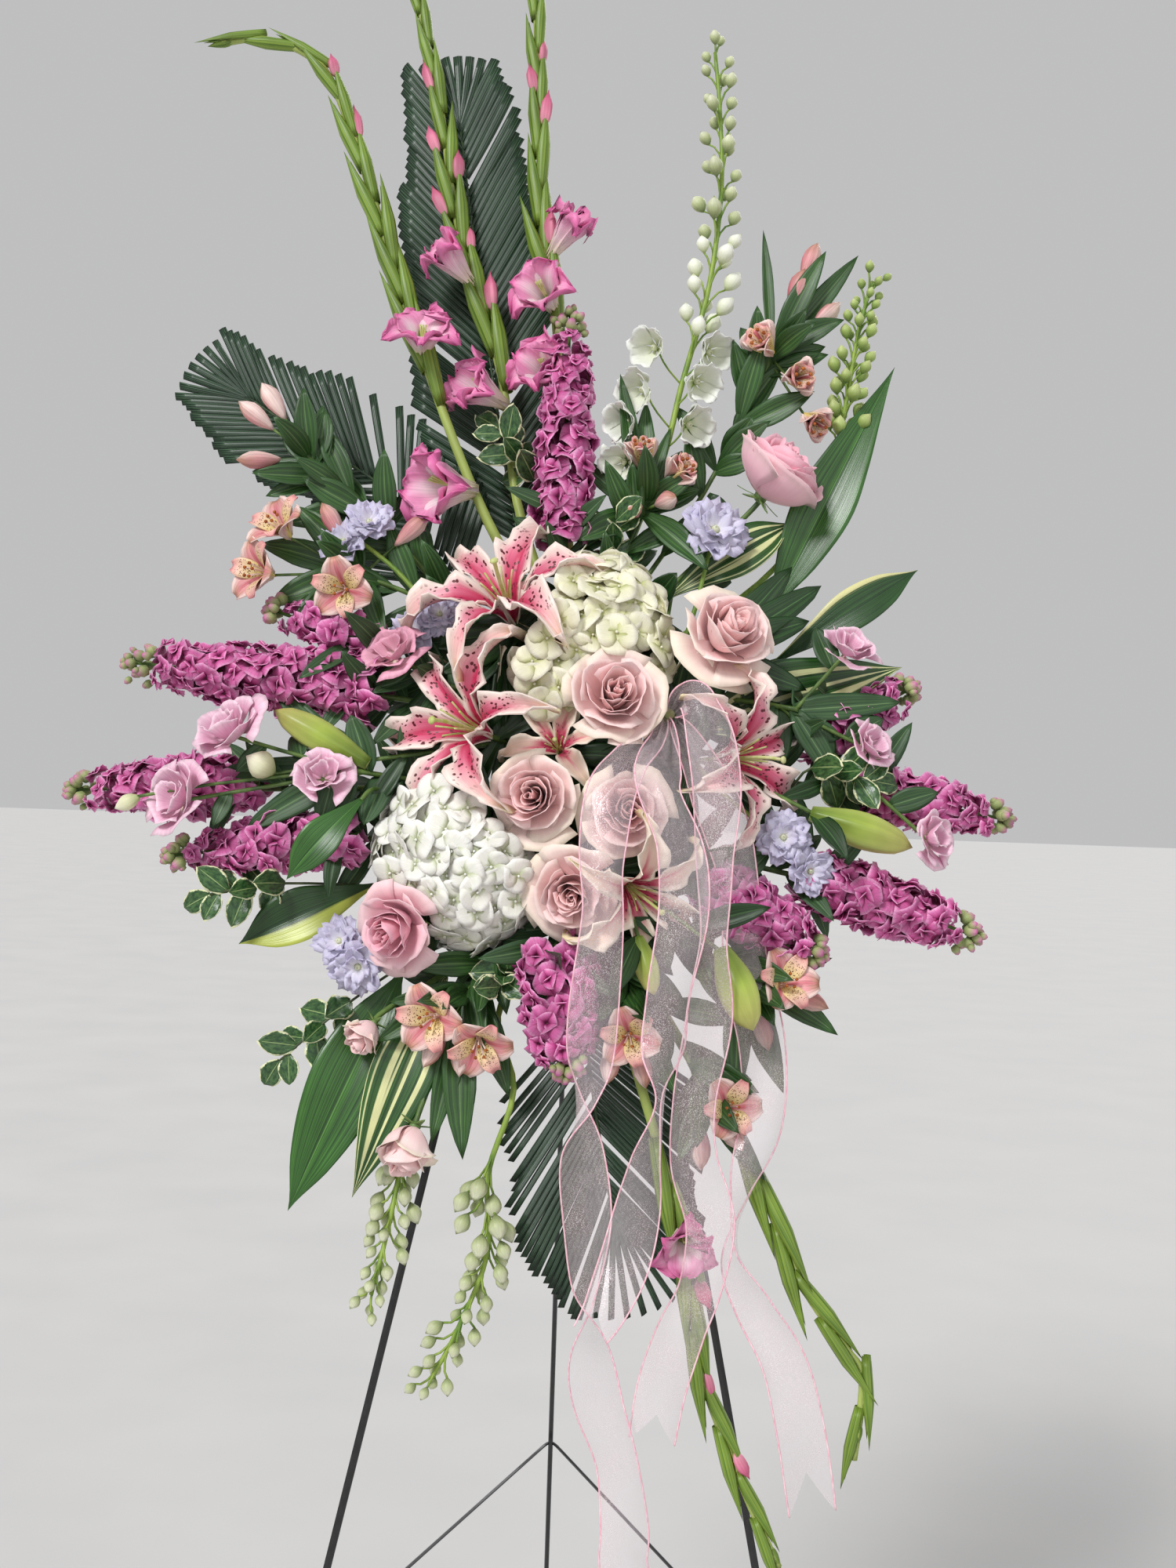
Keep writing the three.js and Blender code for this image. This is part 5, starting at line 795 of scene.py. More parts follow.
# hollows leave room for the blooms in front: across, up and radius
hydrangeas = {
    "hydrangea_upper": {"at": (5, 95, 94), "face": (0, 0.12, 1), "radius": 74, "height": 52,
        "hollows": [(33, 44, 50), (122, 105, 58), (-59, 131, 62), (-85, 21, 66), (-12, 10, 36)]},
    "hydrangea_lower": {"at": (-81, -78, 90), "face": (-0.35, -0.25, 0.9), "radius": 70, "height": 56,
        "hollows": [(-27, -36, 48), (-131, -139, 46), (-85, 21, 66), (5, -109, 44)]},
}
hydrangeaTemplates = [hydrangeaFloret(seed) for seed in range(6)]
florets = 104
for k, (name, head) in enumerate(hydrangeas.items()):
    rng = random.Random(k + 5)
    bm = newForm()
    face, base, radius, height = unit(head["face"]), Vector(head["at"]), head["radius"], head["height"]
    addStalk(bm, [base - face * 4, base + face * 8], 3)
    dome = facing(base, face)
    for i in range(9):
        out = dome.to_3x3() @ spoke(0.7 * i, rng.uniform(-0.25, 0.1))
        stamp(bm, rng.choice(ovals), pointing(base - face * 14 + out * 14, out, face)
              @ sized(23, rng.uniform(66, 86), 23), 2)
    for i in range(florets):
        polar = math.acos(1 - 1.12 * (i + 0.5) / florets)
        out = math.sin(polar) * spoke(i * golden) + Vector((0, 0, math.cos(polar)))
        place = dome @ (sized(radius, radius, height) @ out * rng.uniform(0.88, 1.04))
        if any(math.hypot(place.x - x, place.y - y) < reach - 9 for x, y, reach in head["hollows"]):
            continue
        outward = dome.to_3x3() @ (sized(1 / radius, 1 / radius, 1 / height) @ out)
        outward += Vector((rng.uniform(-1, 1), rng.uniform(-1, 1), rng.uniform(-1, 1))) * 0.34 * outward.length
        size = 2.1 * radius / math.sqrt(florets) * rng.uniform(0.9, 1.12)
        stamp(bm, rng.choice(hydrangeaTemplates), facing(place, outward, rng.uniform(0, 6.28), size))
        if i % 3 == 0:
            root = base.lerp(place, 0.3)
            addStem(bm, [root, place - outward.normalized() * 1.0], 0.8, 0, 4)
    petals = "hydrangeaCream" if k == 0 else "hydrangeaWhite"
    makePiece(name, "flower", bm, ["sepalGreen", petals, "darkLeaf"])
print("hydrangeas made:", len(hydrangeas))


# ---- stock
def stockFloret(seed):
    rng = random.Random(seed)
    bm = newForm()
    for ring, (count, size, tilt) in enumerate([(5, 1.0, 0.05), (4, 0.68, 0.65), (1, 0.4, 1.2)]):
        for i in range(count):
            wave, slope = rng.uniform(0, 6), tilt + rng.uniform(-0.25, 0.35)

            def shape(side, v):
                half = 0.72 * (0.3 + 0.7 * v ** 0.7) * size
                reach = v * size * (1 - 0.16 * side * side + 0.05 * math.sin(3 * side + wave) * v)
                frill = 0.2 * v * math.sin(2.6 * side + wave) * size
                return half * side, math.cos(slope) * reach, math.sin(slope) * reach + frill - 0.3 * v * v * size
            petal = blade(4, 2, shape, thick=0.03, material=1)
            press(bm, petal, spun((i + 0.5 * ring) * 2 * math.pi / count + rng.uniform(-0.3, 0.3)))
    return asMesh(bm)


def closedBud(material):
    # a small pointed bud along +Z, one unit long
    bm = newForm()
    made = bmesh.ops.create_uvsphere(bm, u_segments=6, v_segments=4, radius=0.5, calc_uvs=True,
                                     matrix=Matrix.Translation((0, 0, 0.5)))
    for vert in made["verts"]:
        vert.co.x *= 1 - 0.35 * vert.co.z
        vert.co.y *= 1 - 0.35 * vert.co.z
    for face in bm.faces:
        face.material_index = material
        face.smooth = True
    return asMesh(bm)


# spikes: foot, tip, width, and places that the stem runs by
stocks = {
    "stock_top": {"spikes": [((-14, 195, 66), (-15, 393, 58), 56)]},
    "stock_left_upper": {"fork": (-62, 45, 55), "aim": 42, "spikes": [((-155, 53, 80), (-361, 71, 68), 62),
        ((-167, 92, 76), (-248, 118, 72), 44, (-120, 75, 66))]},
    "stock_left_middle": {"spikes": [((-249, -25, 70), (-402, -34, 58), 56)]},
    "stock_left_lower": {"spikes": [((-165, -66, 84), (-315, -87, 76), 54, (-110, -54, 40), (-154, -61, 60))]},
    "stock_lower": {"spikes": [((-8, -150, 108), (5, -243, 118), 70)]},
    "stock_right_inner": {"spikes": [((112, -93, 100), (197, -146, 98), 58)]},
    "stock_right_lower": {"spikes": [((186, -82, 82), (323, -124, 76), 58)]},
    "stock_right_upper": {"fork": (62, 12, 52), "aim": 10, "spikes": [((188, 25, 72), (275, 78, 60), 52),
        ((225, -8, 66), (352, -27, 56), 52, (140, 0, 58))]},
}
stockTemplates = [stockFloret(seed) for seed in range(6)]
budTemplate = closedBud(2)
# side is the part of a spike's side for one floret, largest a floret's size; rise lifts the left spikes
stockLook = {"side": 92, "largest": 13.5, "rise": 4, "fullness": 0.53, "budsFrom": 0.9, "tipBuds": 11}
for k, (name, stock) in enumerate(stocks.items()):
    rng = random.Random(k + 40)
    bm = newForm()
    routes = [[*by, Vector(base).lerp(Vector(tip), 0.1)] for base, tip, _, *by in stock["spikes"]]
    for points in addStalks(bm, routes, 2.4, stock.get("fork"), stock.get("aim")):
        addFoliage(bm, points, lances, 3, 11, 62, 8.5, rng, start=0.1, end=1.0, rise=0.5)
    for base, tip, width, *_ in stock["spikes"]:
        rise = Vector((0, stockLook["rise"] if "left" in name else 0, 0))
        root, end = Vector(base) + rise, Vector(tip) + rise
        axis = end - root
        length, half = axis.length, stockLook["fullness"] * width
        addStem(bm, [root, root.lerp(end, 0.5), end], 2.4, 0, 6, 0.5)
        column = facing(root, axis)
        count = int(length * half / stockLook["side"])
        for i in range(count):
            share = (i + 0.5) / count
            wide = half * (0.86 + 0.45 * share if share < 0.3 else 1 - 0.8 * (share - 0.3) ** 1.5)
            size = min(wide * 0.52, stockLook["largest"]) * (1 if share < 0.7 else 1 - 0.9 * (share - 0.7))
            out = spoke(i * golden)
            lift = 0.25 + 0.9 * max(0, share - 0.6) / 0.4
            place = column @ (out * (wide - 0.5 * size) * rng.uniform(0.78, 1.06) + Vector((0, 0, share * length)))
            stray = Vector((rng.uniform(-0.4, 0.4), rng.uniform(-0.4, 0.4), lift + rng.uniform(-0.4, 0.4)))
            heading = column.to_3x3() @ (out + stray)
            if share > stockLook["budsFrom"]:
                stamp(bm, budTemplate, facing(place - heading.normalized() * 3, heading, 0, 9 * rng.uniform(0.7, 1.1)))
            else:
                stamp(bm, rng.choice(stockTemplates), facing(place, heading, rng.uniform(0, 6.28),
                                                             size * rng.uniform(0.92, 1.12)))
        for i in range(stockLook["tipBuds"]):
            out = spoke(i * golden)
            place = column @ (out * (7 - 0.5 * i) + Vector((0, 0, length * (0.9 + 0.011 * i))))
            heading = column.to_3x3() @ (out * (0.9 - 0.07 * i) + Vector((0, 0, 1)))
            stamp(bm, budTemplate, facing(place, heading, 0, 13 - 0.5 * i))
    makePiece(name, "flower", bm, ["stemGreen", "stockMauve", "stockBud", "greyLeaf"])
print("stocks made:", len(stocks))


# ---- gladioli
def spindle(profile, sides=8, rows=7, material=1, pinch=0.0, uvSpan=(0, 1)):
    # a closed bud along +Y, one unit long and one unit round at the profile's 1
    def shape(side, v):
        angle = math.pi * (side + 1)
        girth = max(along(profile, v), 0) * (1 - pinch * (0.5 + 0.5 * math.cos(3 * angle)))
        return girth * math.sin(angle), v, girth * math.cos(angle)
    mesh = blade(sides, rows, shape, thick=0, material=material, uvSpan=uvSpan)
    bm = bmesh.new()
    bm.from_mesh(mesh)
    bmesh.ops.recalc_face_normals(bm, faces=bm.faces[:])
    return asMesh(bm)


def sheath(seed):
    # a green bract folded round its bud, both along +Y, open on its outer side
    rng = random.Random(seed)
    keel = rng.uniform(-0.1, 0.1)

    def shape(side, v):
        girth = 0.4 + 0.6 * math.sin(math.pi * min(1, 0.1 + 0.75 * v)) ** 0.7
        girth *= 1 if v < 0.5 else max(0, (1 - v) / 0.5) ** 0.8
        angle = side * 2.6 * (1 - 0.5 * v)
        return girth * math.sin(angle) + keel * v, v, girth * (math.cos(angle) * 0.9 + 0.1 * v) + 0.3 * v ** 3
    return blade(8, 8, shape, thick=0.05, material=1)


def gladiolusTrumpet(seed):
    # a flaring six-lobed flower: foot at the origin, mouth one unit out and one unit round
    rng = random.Random(seed)
    bm = newForm()
    for i in range(6):
        wave, curl, inner = rng.uniform(0, 6), rng.uniform(0.8, 1.3), i % 2

        def shape(side, v):
            reach = 0.12 + 0.22 * v + (0.56 if inner else 0.84) * v ** 2.6
            height = 1.1 * (1 - (1 - v) ** 1.5) - 0.3 * curl * (max(0, v - 0.66) / 0.34) ** 2 * (0.5 if inner else 1)
            half = 0.12 + 0.42 * math.sin(math.pi * min(1, 0.02 + 0.72 * v)) ** 1.5
            half *= 1 if v < 0.74 else 1 - 0.72 * ((v - 0.74) / 0.26) ** 2
            ruffle = 0.14 * abs(side) ** 1.4 * v ** 1.5 * math.sin(11 * v + 6 * side + wave)
            return half * side, reach - 0.2 * side * side * v, height + ruffle + 0.14 * side * side * v + 0.02 * inner
        petal = blade(8, 11, shape, thick=0.02, material=2)
        press(bm, petal, spun(i * math.pi / 3 + rng.uniform(-0.1, 0.1)))
    for i in range(3):
        angle = i * 0.5 - 0.5
        stops = [(0, 0, 0.1), (0.06 * math.sin(angle), 0.1, 0.5), (0.16 * math.sin(angle), 0.24, 0.86)]
        addStem(bm, smoothRoute(stops, 5), 0.03, 3, 5)
    return asMesh(bm)


# florets: mouth, facing, radius and depth
gladioli = {
    "gladiolus_left": {"route": [(-78, 212, 50), (-123, 314, 52), (-170, 442, 50), (-206, 546, 46), (-234, 612, 45),
        (-262, 638, 45), (-300, 646, 47), (-331, 638, 50)], "florets": [((-138, 372, 74), (-0.2, 0.5, 0.8), 26, 30),
        ((-127, 227, 84), (-0.5, 0.2, 0.9), 30, 30)]},
    "gladiolus_middle": {"route": [(-54, 232, 38), (-72, 344, 36), (-116, 483, 30), (-140, 612, 26),
        (-170, 730, 22)], "florets": [((-100, 327, 66), (-0.3, 0.5, 0.8), 22, 28),
        ((-128, 450, 58), (-0.3, 0.8, 0.5), 18, 34)]},
    "gladiolus_right": {"route": [(-12, 232, 26), (-28, 400, 26), (-44, 496, 24), (-51, 619, 22), (-62, 765, 20)],
        "budsFrom": 0.4, "florets": [((-42, 346, 66), (-0.3, 0.3, 0.9), 23, 30),
        ((-44, 418, 62), (-0.1, 0.3, 0.9), 24, 28), ((-13, 487, 48), (0.4, 0.8, 0.5), 18, 34)]},
    "gladiolus_low": {"aim": -70, "route": [(34, -160, 68), (60, -240, 76), (81, -305, 78), (101, -374, 76),
        (115, -459, 70), (136, -515, 64), (158, -564, 58), (178, -603, 54)], "budsFrom": 0.4,
        "florets": [((100, -372, 104), (0.1, -0.5, 0.8), 21, 28)]},
    "gladiolus_low_right": {"aim": -62, "route": [(66, -170, 60), (110, -240, 64), (148, -297, 68), (170, -350, 72),
        (194, -400, 74), (223, -439, 74), (237, -462, 74), (232, -522, 66)], "budsFrom": 0.45},
}
# sheaths overlap along the upper part of the stem, longest and thickest at the foot
sheathLook = {"spacing": 31, "length": 104, "half": 8.0, "end": 0.985}
trumpets = [gladiolusTrumpet(seed) for seed in range(3)]
sheaths = [sheath(seed) for seed in range(4)]
greenBud = spindle([0.0, 0.75, 1.0, 0.8, 0.45, 0.0], material=1)
pinkTip = spindle([0.0, 0.75, 0.95, 1.0, 0.86, 0.3, 0.0], sides=12, rows=8, material=2, pinch=0.3, uvSpan=(0.4, 1))
for k, (name, glad) in enumerate(gladioli.items()):
    rng = random.Random(k + 80)
    bm = newForm()
    points = smoothRoute(glad["route"], 40)
    addStalk(bm, glad["route"], 5.2, glad.get("aim"), 0.45)
    start = glad.get("budsFrom", 0.3) - 0.04
    length = sum((b - a).length for a, b in zip(points, points[1:]))
    count = round(length * (sheathLook["end"] - start) / sheathLook["spacing"])
    stops = stations(points, start, sheathLook["end"], count)
    for i, (place, heading, share) in enumerate(stops):
        across = sideways(heading) * (-1 if i % 2 else 1)
        spread = (0.075 - 0.02 * share) * rng.uniform(0.4, 1.7)
        aimed = heading + across * spread + Vector((0, 0, 0.05 if i % 4 < 2 else 0))
        size, half = sheathLook["length"] - 40 * share, sheathLook["half"] - 2.6 * share
        sheathPlace = pointing(place - heading * 34 + across * 1.2, aimed, across + Vector((0, 0, 0.5)))
        stamp(bm, greenBud, sheathPlace @ sized(half * 0.6, size * 0.88, half * 0.6))
        stamp(bm, sheaths[i % 4], sheathPlace @ sized(half, size, half))
        if share < 0.7 and rng.random() < 0.5 and name != "gladiolus_low_right":
            show = (40 - 14 * share) * rng.uniform(0.7, 1.2)
            tipPlace = sheathPlace @ Vector((0, size * rng.uniform(0.66, 0.76), 0))
            tip = pointing(tipPlace, aimed + across * 0.1, roll=rng.uniform(0, 2))
            stamp(bm, pinkTip, tip @ sized(half * 0.85, show, half * 0.85), 4)
    stamp(bm, greenBud, pointing(points[-4], points[-1] - points[-4]) @ sized(4, 26, 4))
    for n, (mouth, face, radius, depth) in enumerate(glad.get("florets", [])):
        foot = nearestOn(points, Vector(mouth) - depth * unit(face))
        axis = Vector(mouth) - foot
        stamp(bm, trumpets[n % 3], facing(foot, axis, 0.3 * n) @ sized(1.25 * radius, 1.25 * radius, axis.length))
        stamp(bm, greenBud, pointing(foot, axis) @ sized(5, 0.55 * axis.length, 5))
    makePiece(name, "spike", bm, ["gladiolusGreen", "gladiolusGreen", "gladiolusPink", "pistilGreen", "gladiolusTip"])
print("gladioli made:", len(gladioli))


# ---- larkspur
def cuppedPetal(rim, top, span, curl, phase, frill=1.0):
    # a petal standing round a cup, its foot at the origin
    reach = math.radians(span) / 2

    def shape(side, v):
        width = 0.3 + 0.7 * math.sin(min(v * 1.8, math.pi / 2))
        radius = 0.08 + (rim - 0.08) * (1 - (1 - v) ** 2.3)
        height = -0.06 + (top + 0.06) * v ** 1.15 * (1 - 0.1 * abs(side) ** 3)
        roll = max(0, (v - 0.6) / 0.4) ** 2
        radius += (0.1 + 0.1 * abs(side)) * curl * roll
        radius += frill * (0.07 * math.sin(5.5 * side + phase) + 0.03 * math.sin(13 * side + phase)) * v ** 2
        height += 0.08 * frill * math.cos(4.5 * side + phase) * v ** 3 - 0.1 * curl * roll
        angle = reach * side * width
        return radius * math.sin(angle), radius * math.cos(angle), height
    return blade(9, 7, shape, thick=0.016, material=1)


def larkspurBell(seed):
    rng = random.Random(seed)
    bm = newForm()
    for i in range(6):
        petal = cuppedPetal(0.84 * rng.uniform(0.94, 1.06), 1.24 * rng.uniform(0.94, 1.06), 92, 1.1,
                            rng.uniform(0, 6), 1.1)
        press(bm, petal, spun(i * math.pi / 3) @ spun(rng.uniform(-0.16, 0.1), "X"))
    addBead(bm, (0, 0, 0.2), 0.2, material=2, segments=6, rings=4)
    return asMesh(bm)


def larkspurFloret(seed):
    rng = random.Random(seed)
    bm = newForm()
    for ring, (count, size, tilt) in enumerate([(8, 1.0, 0.1), (7, 0.82, 0.35), (6, 0.6, 0.7)]):
        for i in range(count):
            cup, wave, droop = rng.uniform(-0.1, 0.25), rng.uniform(0, 6), rng.uniform(-0.15, 0.2)

            def shape(side, v):
                half = 0.4 * math.sin(math.pi * (0.1 + 0.72 * v)) ** 0.7 * size
                reach = (0.05 + v * (1 - 0.12 * side * side + 0.05 * math.sin(7 * side + wave))) * size
                lift = math.sin(tilt + droop) * reach + cup * v * v * size
                lift += 0.12 * v * math.sin(4 * side + wave) + 0.08 * side * side
                return half * side, math.cos(tilt) * reach, lift
            petal = blade(5, 4, shape, thick=0.025, material=1)
            stamp(bm, petal, spun((i + 0.5 * ring) * 2 * math.pi / count + rng.uniform(-0.12, 0.12)))
    addBead(bm, (0, 0, 0.12), 0.13, material=2, segments=6, rings=4)
    return asMesh(bm)


# florets: place, facing and radius
larkspurs = {
    "larkspur_white_top": {"branches": [{"route": [(64, 259, 50), (82, 340, 46), (103, 430, 42), (112, 520, 40),
        (110, 590, 38), (104, 654, 38)], "from": 0.45, "buds": 36, "size": 6.5,
        "florets": [((57, 372, 54), (-0.4, 0.3, 0.8), 15), ((104, 368, 56), (0.3, 0.2, 0.9), 15),
        ((48, 330, 60), (-0.4, 0, 0.8), 15), ((94, 338, 62), (0.3, 0, 0.9), 15),
        ((36, 300, 62), (-0.5, 0, 0.8), 14), ((88, 298, 64), (0.3, -0.1, 0.9), 15),
        ((34, 262, 66), (-0.4, -0.2, 0.8), 14)]}]},
    "larkspur_white_right": {"aim": 58, "branches": [{"route": [(150, 166, 46), (206, 246, 42), (220, 320, 50),
        (228, 375, 54), (240, 430, 54)], "from": 0.5, "buds": 41, "size": 5.5}]},
    "larkspur_white_low": {"fork": (-24, -128, 58), "aim": -70, "branches": [{"route": [(-50, -200, 74),
        (-35, -256, 84), (-52, -320, 84), (-50, -379, 80), (-72, -440, 74), (-89, -473, 70)], "from": 0.42,
        "buds": 36, "size": 6}, {"route": [(-92, -210, 58), (-118, -300, 52), (-128, -365, 66), (-137, -413, 78)],
        "from": 0.45, "buds": 27, "size": 5.6}]},
    "larkspur_lilac_left": {"branches": [{"route": [(-100, 108, 74), (-150, 160, 72), (-190, 190, 68)],
        "florets": [((-195, 183, 78), (-0.3, 0.3, 0.9), 15), ((-172, 200, 80), (0.1, 0.4, 0.9), 14),
        ((-132, 106, 86), (-0.3, 0.1, 0.9), 14), ((-110, 120, 92), (0, 0.2, 0.9), 13)]}]},
    "larkspur_lilac_low_left": {"aim": -84, "branches": [{"route": [(-96, -138, 46), (-150, -154, 54),
        (-178, -158, 78)], "florets": [((-177, -146, 92), (-0.3, 0.1, 0.9), 14),
        ((-160, -168, 94), (-0.1, -0.4, 0.9), 15)]}]},
    "larkspur_lilac_right": {"fork": (64, 42, 61), "aim": 34, "branches": [{"route": [(92, 120, 72),
        (108, 190, 76)], "florets": [((112, 203, 84), (0.2, 0.3, 0.9), 20)]},
        {"route": [(92, 12, 84), (118, -18, 92), (159, -51, 98)],
        "florets": [((167, -56, 114), (0, 0, 1), 15), ((190, -82, 108), (0.3, -0.2, 0.9), 13)]}]},
}
bells = [larkspurBell(seed) for seed in range(4)]
doubles = [larkspurFloret(seed + 9) for seed in range(4)]
roundBud = spindle([0.0, 0.62, 0.95, 1.0, 0.62, 0.0], sides=9, rows=7, material=2, pinch=0.12)
for k, (name, larkspur) in enumerate(larkspurs.items()):
    rng = random.Random(k + 120)
    bm = newForm()
    white = name.startswith("larkspur_white")
    addStalks(bm, [branch["route"] for branch in larkspur["branches"]], 3.1, larkspur.get("fork"),
              larkspur.get("aim"), 0.45)
    for branch in larkspur["branches"]:
        points = smoothRoute(branch["route"], 30)
        lower = 0.2 if branch.get("florets") else 0.06
        size = branch.get("size", 6)
        buds = stations(points, branch.get("from", 0.5) - lower, 0.985, branch.get("buds", 0))
        for i, (place, heading, share) in enumerate(buds):
            across = sideways(heading)
            angle = 2.4 * i + rng.uniform(-0.4, 0.4)
            out = across * math.sin(angle) + Vector((0, 0, 0.75 * math.cos(angle)))
            grown = rng.uniform(0.8, 1.08)
            length, half = (44 - 16 * share) * size / 6 * grown, (1.2 * size - 2.8 * share) * grown
            aimed = (out * rng.uniform(0.4, 0.72) + heading).normalized()
            tip = place + aimed * length
            stops = [place, place + (heading + out * 0.3) * 0.4 * length, tip - aimed * 2.2 * half]
            addStem(bm, smoothRoute(stops, 3), 0.9, 0, 4)
            opening = share < 0.32 and name == "larkspur_white_top"
            stamp(bm, roundBud, pointing(tip - aimed * 2.4 * half, aimed + heading * rng.uniform(-0.1, 0.6))
                  @ sized(half, 2.9 * half, half), 3 if opening else 2)
        for n, (at, face, radius) in enumerate(branch.get("florets", [])):
            at, face, radius = Vector(at), unit(face), radius * (1 if white else 1.32)
            below = unit(points[0] - points[-1]) * (24 if white else 0)
            root = nearestOn(points, at + below)
            behind = at - face * 0.35 * radius
            addStem(bm, smoothRoute([root, root.lerp(behind, 0.6) + below * 0.15, behind], 5), 0.9, 0, 5)
            nod = Vector((1.4 * face.x, -0.35, 0.7)) if white else face
            stamp(bm, (bells if white else doubles)[n % 4], facing(behind, nod, rng.uniform(0, 6), radius * 1.1))
            spur = -face * 0.9 * radius + Vector((0, 0.3 * radius, 0))
            stamp(bm, roundBud, pointing(behind, spur) @ sized(2, 0.8 * radius, 2))
    makePiece(name, "flower", bm, [
        "larkspurStem", "larkspurWhite" if white else "larkspurLilac",
        "greenBudlet" if name == "larkspur_white_right" else "larkspurBud", "paleBud",
    ])
print("larkspurs made:", len(larkspurs))


# ---- lisianthus
def lisianthusBloom(seed):
    rng = random.Random(seed)
    bm = newForm()
    start = rng.uniform(0, 6)
    for i in range(9):
        t = i / 8
        petal = cuppedPetal(along([0.34, 0.66, 0.96, 1.14], t) * rng.uniform(0.9, 1.1),
                            along([0.86, 0.9, 0.76, 0.5], t) * rng.uniform(0.86, 1.12), along([170, 130, 116, 108], t),
                            along([0.4, 0.8, 1.3, 1.9], t) * rng.uniform(0.6, 1.4), rng.uniform(0, 6))
        press(bm, petal, spun(start + i * golden) @ spun(rng.uniform(-0.14, 0.06), "X"))
    return asMesh(bm)


# blooms: place, facing and radius; buds: foot, tip and radius
lisianthuses = {
    "lisianthus_left": {"by": [(-108, -16, 72)], "hub": (-174, -14, 106), "aim": -12,
        "blooms": [((-270, 16, 122), (-0.4, 0.4, 0.8), 26), ((-309, -44, 118), (-0.5, -0.1, 0.8), 25),
        ((-192, -22, 124), (0, 0.1, 0.9), 20)], "buds": [((-230, -19, 104), (-252, -8, 118), 8),
        ((-334, -40, 104), (-356, -50, 98), 4.6)]},
    "lisianthus_pale": {"hub": (-100, 62, 80), "aim": 30, "blooms": [((-146, 84, 112), (-0.3, 0.3, 0.9), 22)]},
    "lisianthus_right": {"by": [(110, 62, 66)], "hub": (178, 48, 100), "aim": 26,
        "blooms": [((220, 102, 106), (0.3, 0.4, 0.8), 21), ((238, 20, 112), (0.4, 0.1, 0.8), 18),
        ((288, -55, 110), (0.5, -0.2, 0.8), 19)]},
}
for k, (name, plant) in enumerate(lisianthuses.items()):
    rng = random.Random(k + 160)
    bm = newForm()
    hub = Vector(plant["hub"])
    stalk = [*plant.get("by", []), plant["hub"]]
    points = addStalk(bm, stalk, 2.2, plant["aim"])
    addFoliage(bm, points, ovals, 3, 8, 54, 13, rng, start=0.2, end=0.98, rise=0.4)
    before = Vector(stalk[-2]) if len(stalk) > 1 else foamExit(plant["hub"], plant["aim"])[0]
    back = (before - hub).normalized()
    for n, (at, face, radius) in enumerate(plant["blooms"]):
        face = unit(face)
        foot = Vector(at) - 0.6 * radius * face
        spring = hub + back * (2 + 6 * n)
        stops = smoothRoute([spring, spring.lerp(foot, 0.55) - face * 2, foot - face * 2,
                             foot + face * 0.05 * radius], 9)
        addStem(bm, stops, 1.7, 0)
        addFoliage(bm, stops, ovals, 3, 3, 36, 9, rng, start=0.1, end=0.7)
        press(bm, lisianthusBloom(50 + 3 * k + n),
              facing(foot, face + Vector((0.4 * face.x, 0.25, 0)), rng.uniform(0, 6), 0.92 * radius))
        for i in range(5):
            sepal = pointing(foot - face, facing(foot, face).to_3x3() @ spoke(i * fifth, 0.5), face)
            stamp(bm, greenBud, sepal @ sized(1.5, 0.6 * radius, 0.7))
    for at, tip, radius in plant.get("buds", []):
        at, tip, radius = Vector(at), Vector(tip), 1.45 * radius
        spring = hub + back * 2
        addStem(bm, smoothRoute([spring, spring.lerp(at, 0.6) + Vector((0, 2, 2)), at, at.lerp(tip, 0.1)], 8), 1.4, 0)
        stamp(bm, roundBud, pointing(at, tip - at) @ sized(radius, (tip - at).length, radius))
    petals = "lisianthusPale" if name == "lisianthus_pale" else "lisianthusPink"
    makePiece(name, "flower", bm, ["stemGreen", petals, "budCream", "greyLeaf"])
print("lisianthus made:", len(lisianthuses))


# ---- alstroemeria
def alstroemeriaFloret(seed, spread):
    # throat at the origin, lobes 0.9 units out and spread round
    rng = random.Random(seed)
    bm = newForm()
    for i in range(6):
        inner = i % 2
        wave = rng.uniform(-0.05, 0.05)

        def shape(side, v):
            broad = 0.26 if inner else 0.5
            half = 0.05 + broad * math.sin(math.pi * min(1, (0.1 + 0.84 * v) ** 1.4)) ** 0.9
            reach = 0.05 + spread * (0.92 if inner else 1.0) * v ** 1.6
            height = (0.94 if inner else 0.86) * (1 - (1 - v) ** 1.6) + 0.09 * side * side * v + wave * v
            return half * side, reach, height - 0.1 * max(0, v - 0.8) / 0.2
        petal = blade(6, 8, shape, thick=0.025, material=3 if inner else 1)
        press(bm, petal, spun((i + 0.5) * math.pi / 3))
    for i in range(5):
        out = spoke(i * fifth)
        stops = [out * 0.02, out * 0.1 + Vector((0, 0, 0.5)), out * 0.22 + Vector((0, -0.05, 0.92))]
        addStem(bm, smoothRoute(stops, 4), 0.025, 1, 4)
        addBead(bm, stops[-1], 0.06, material=2, segments=5, rings=4)
    return asMesh(bm)


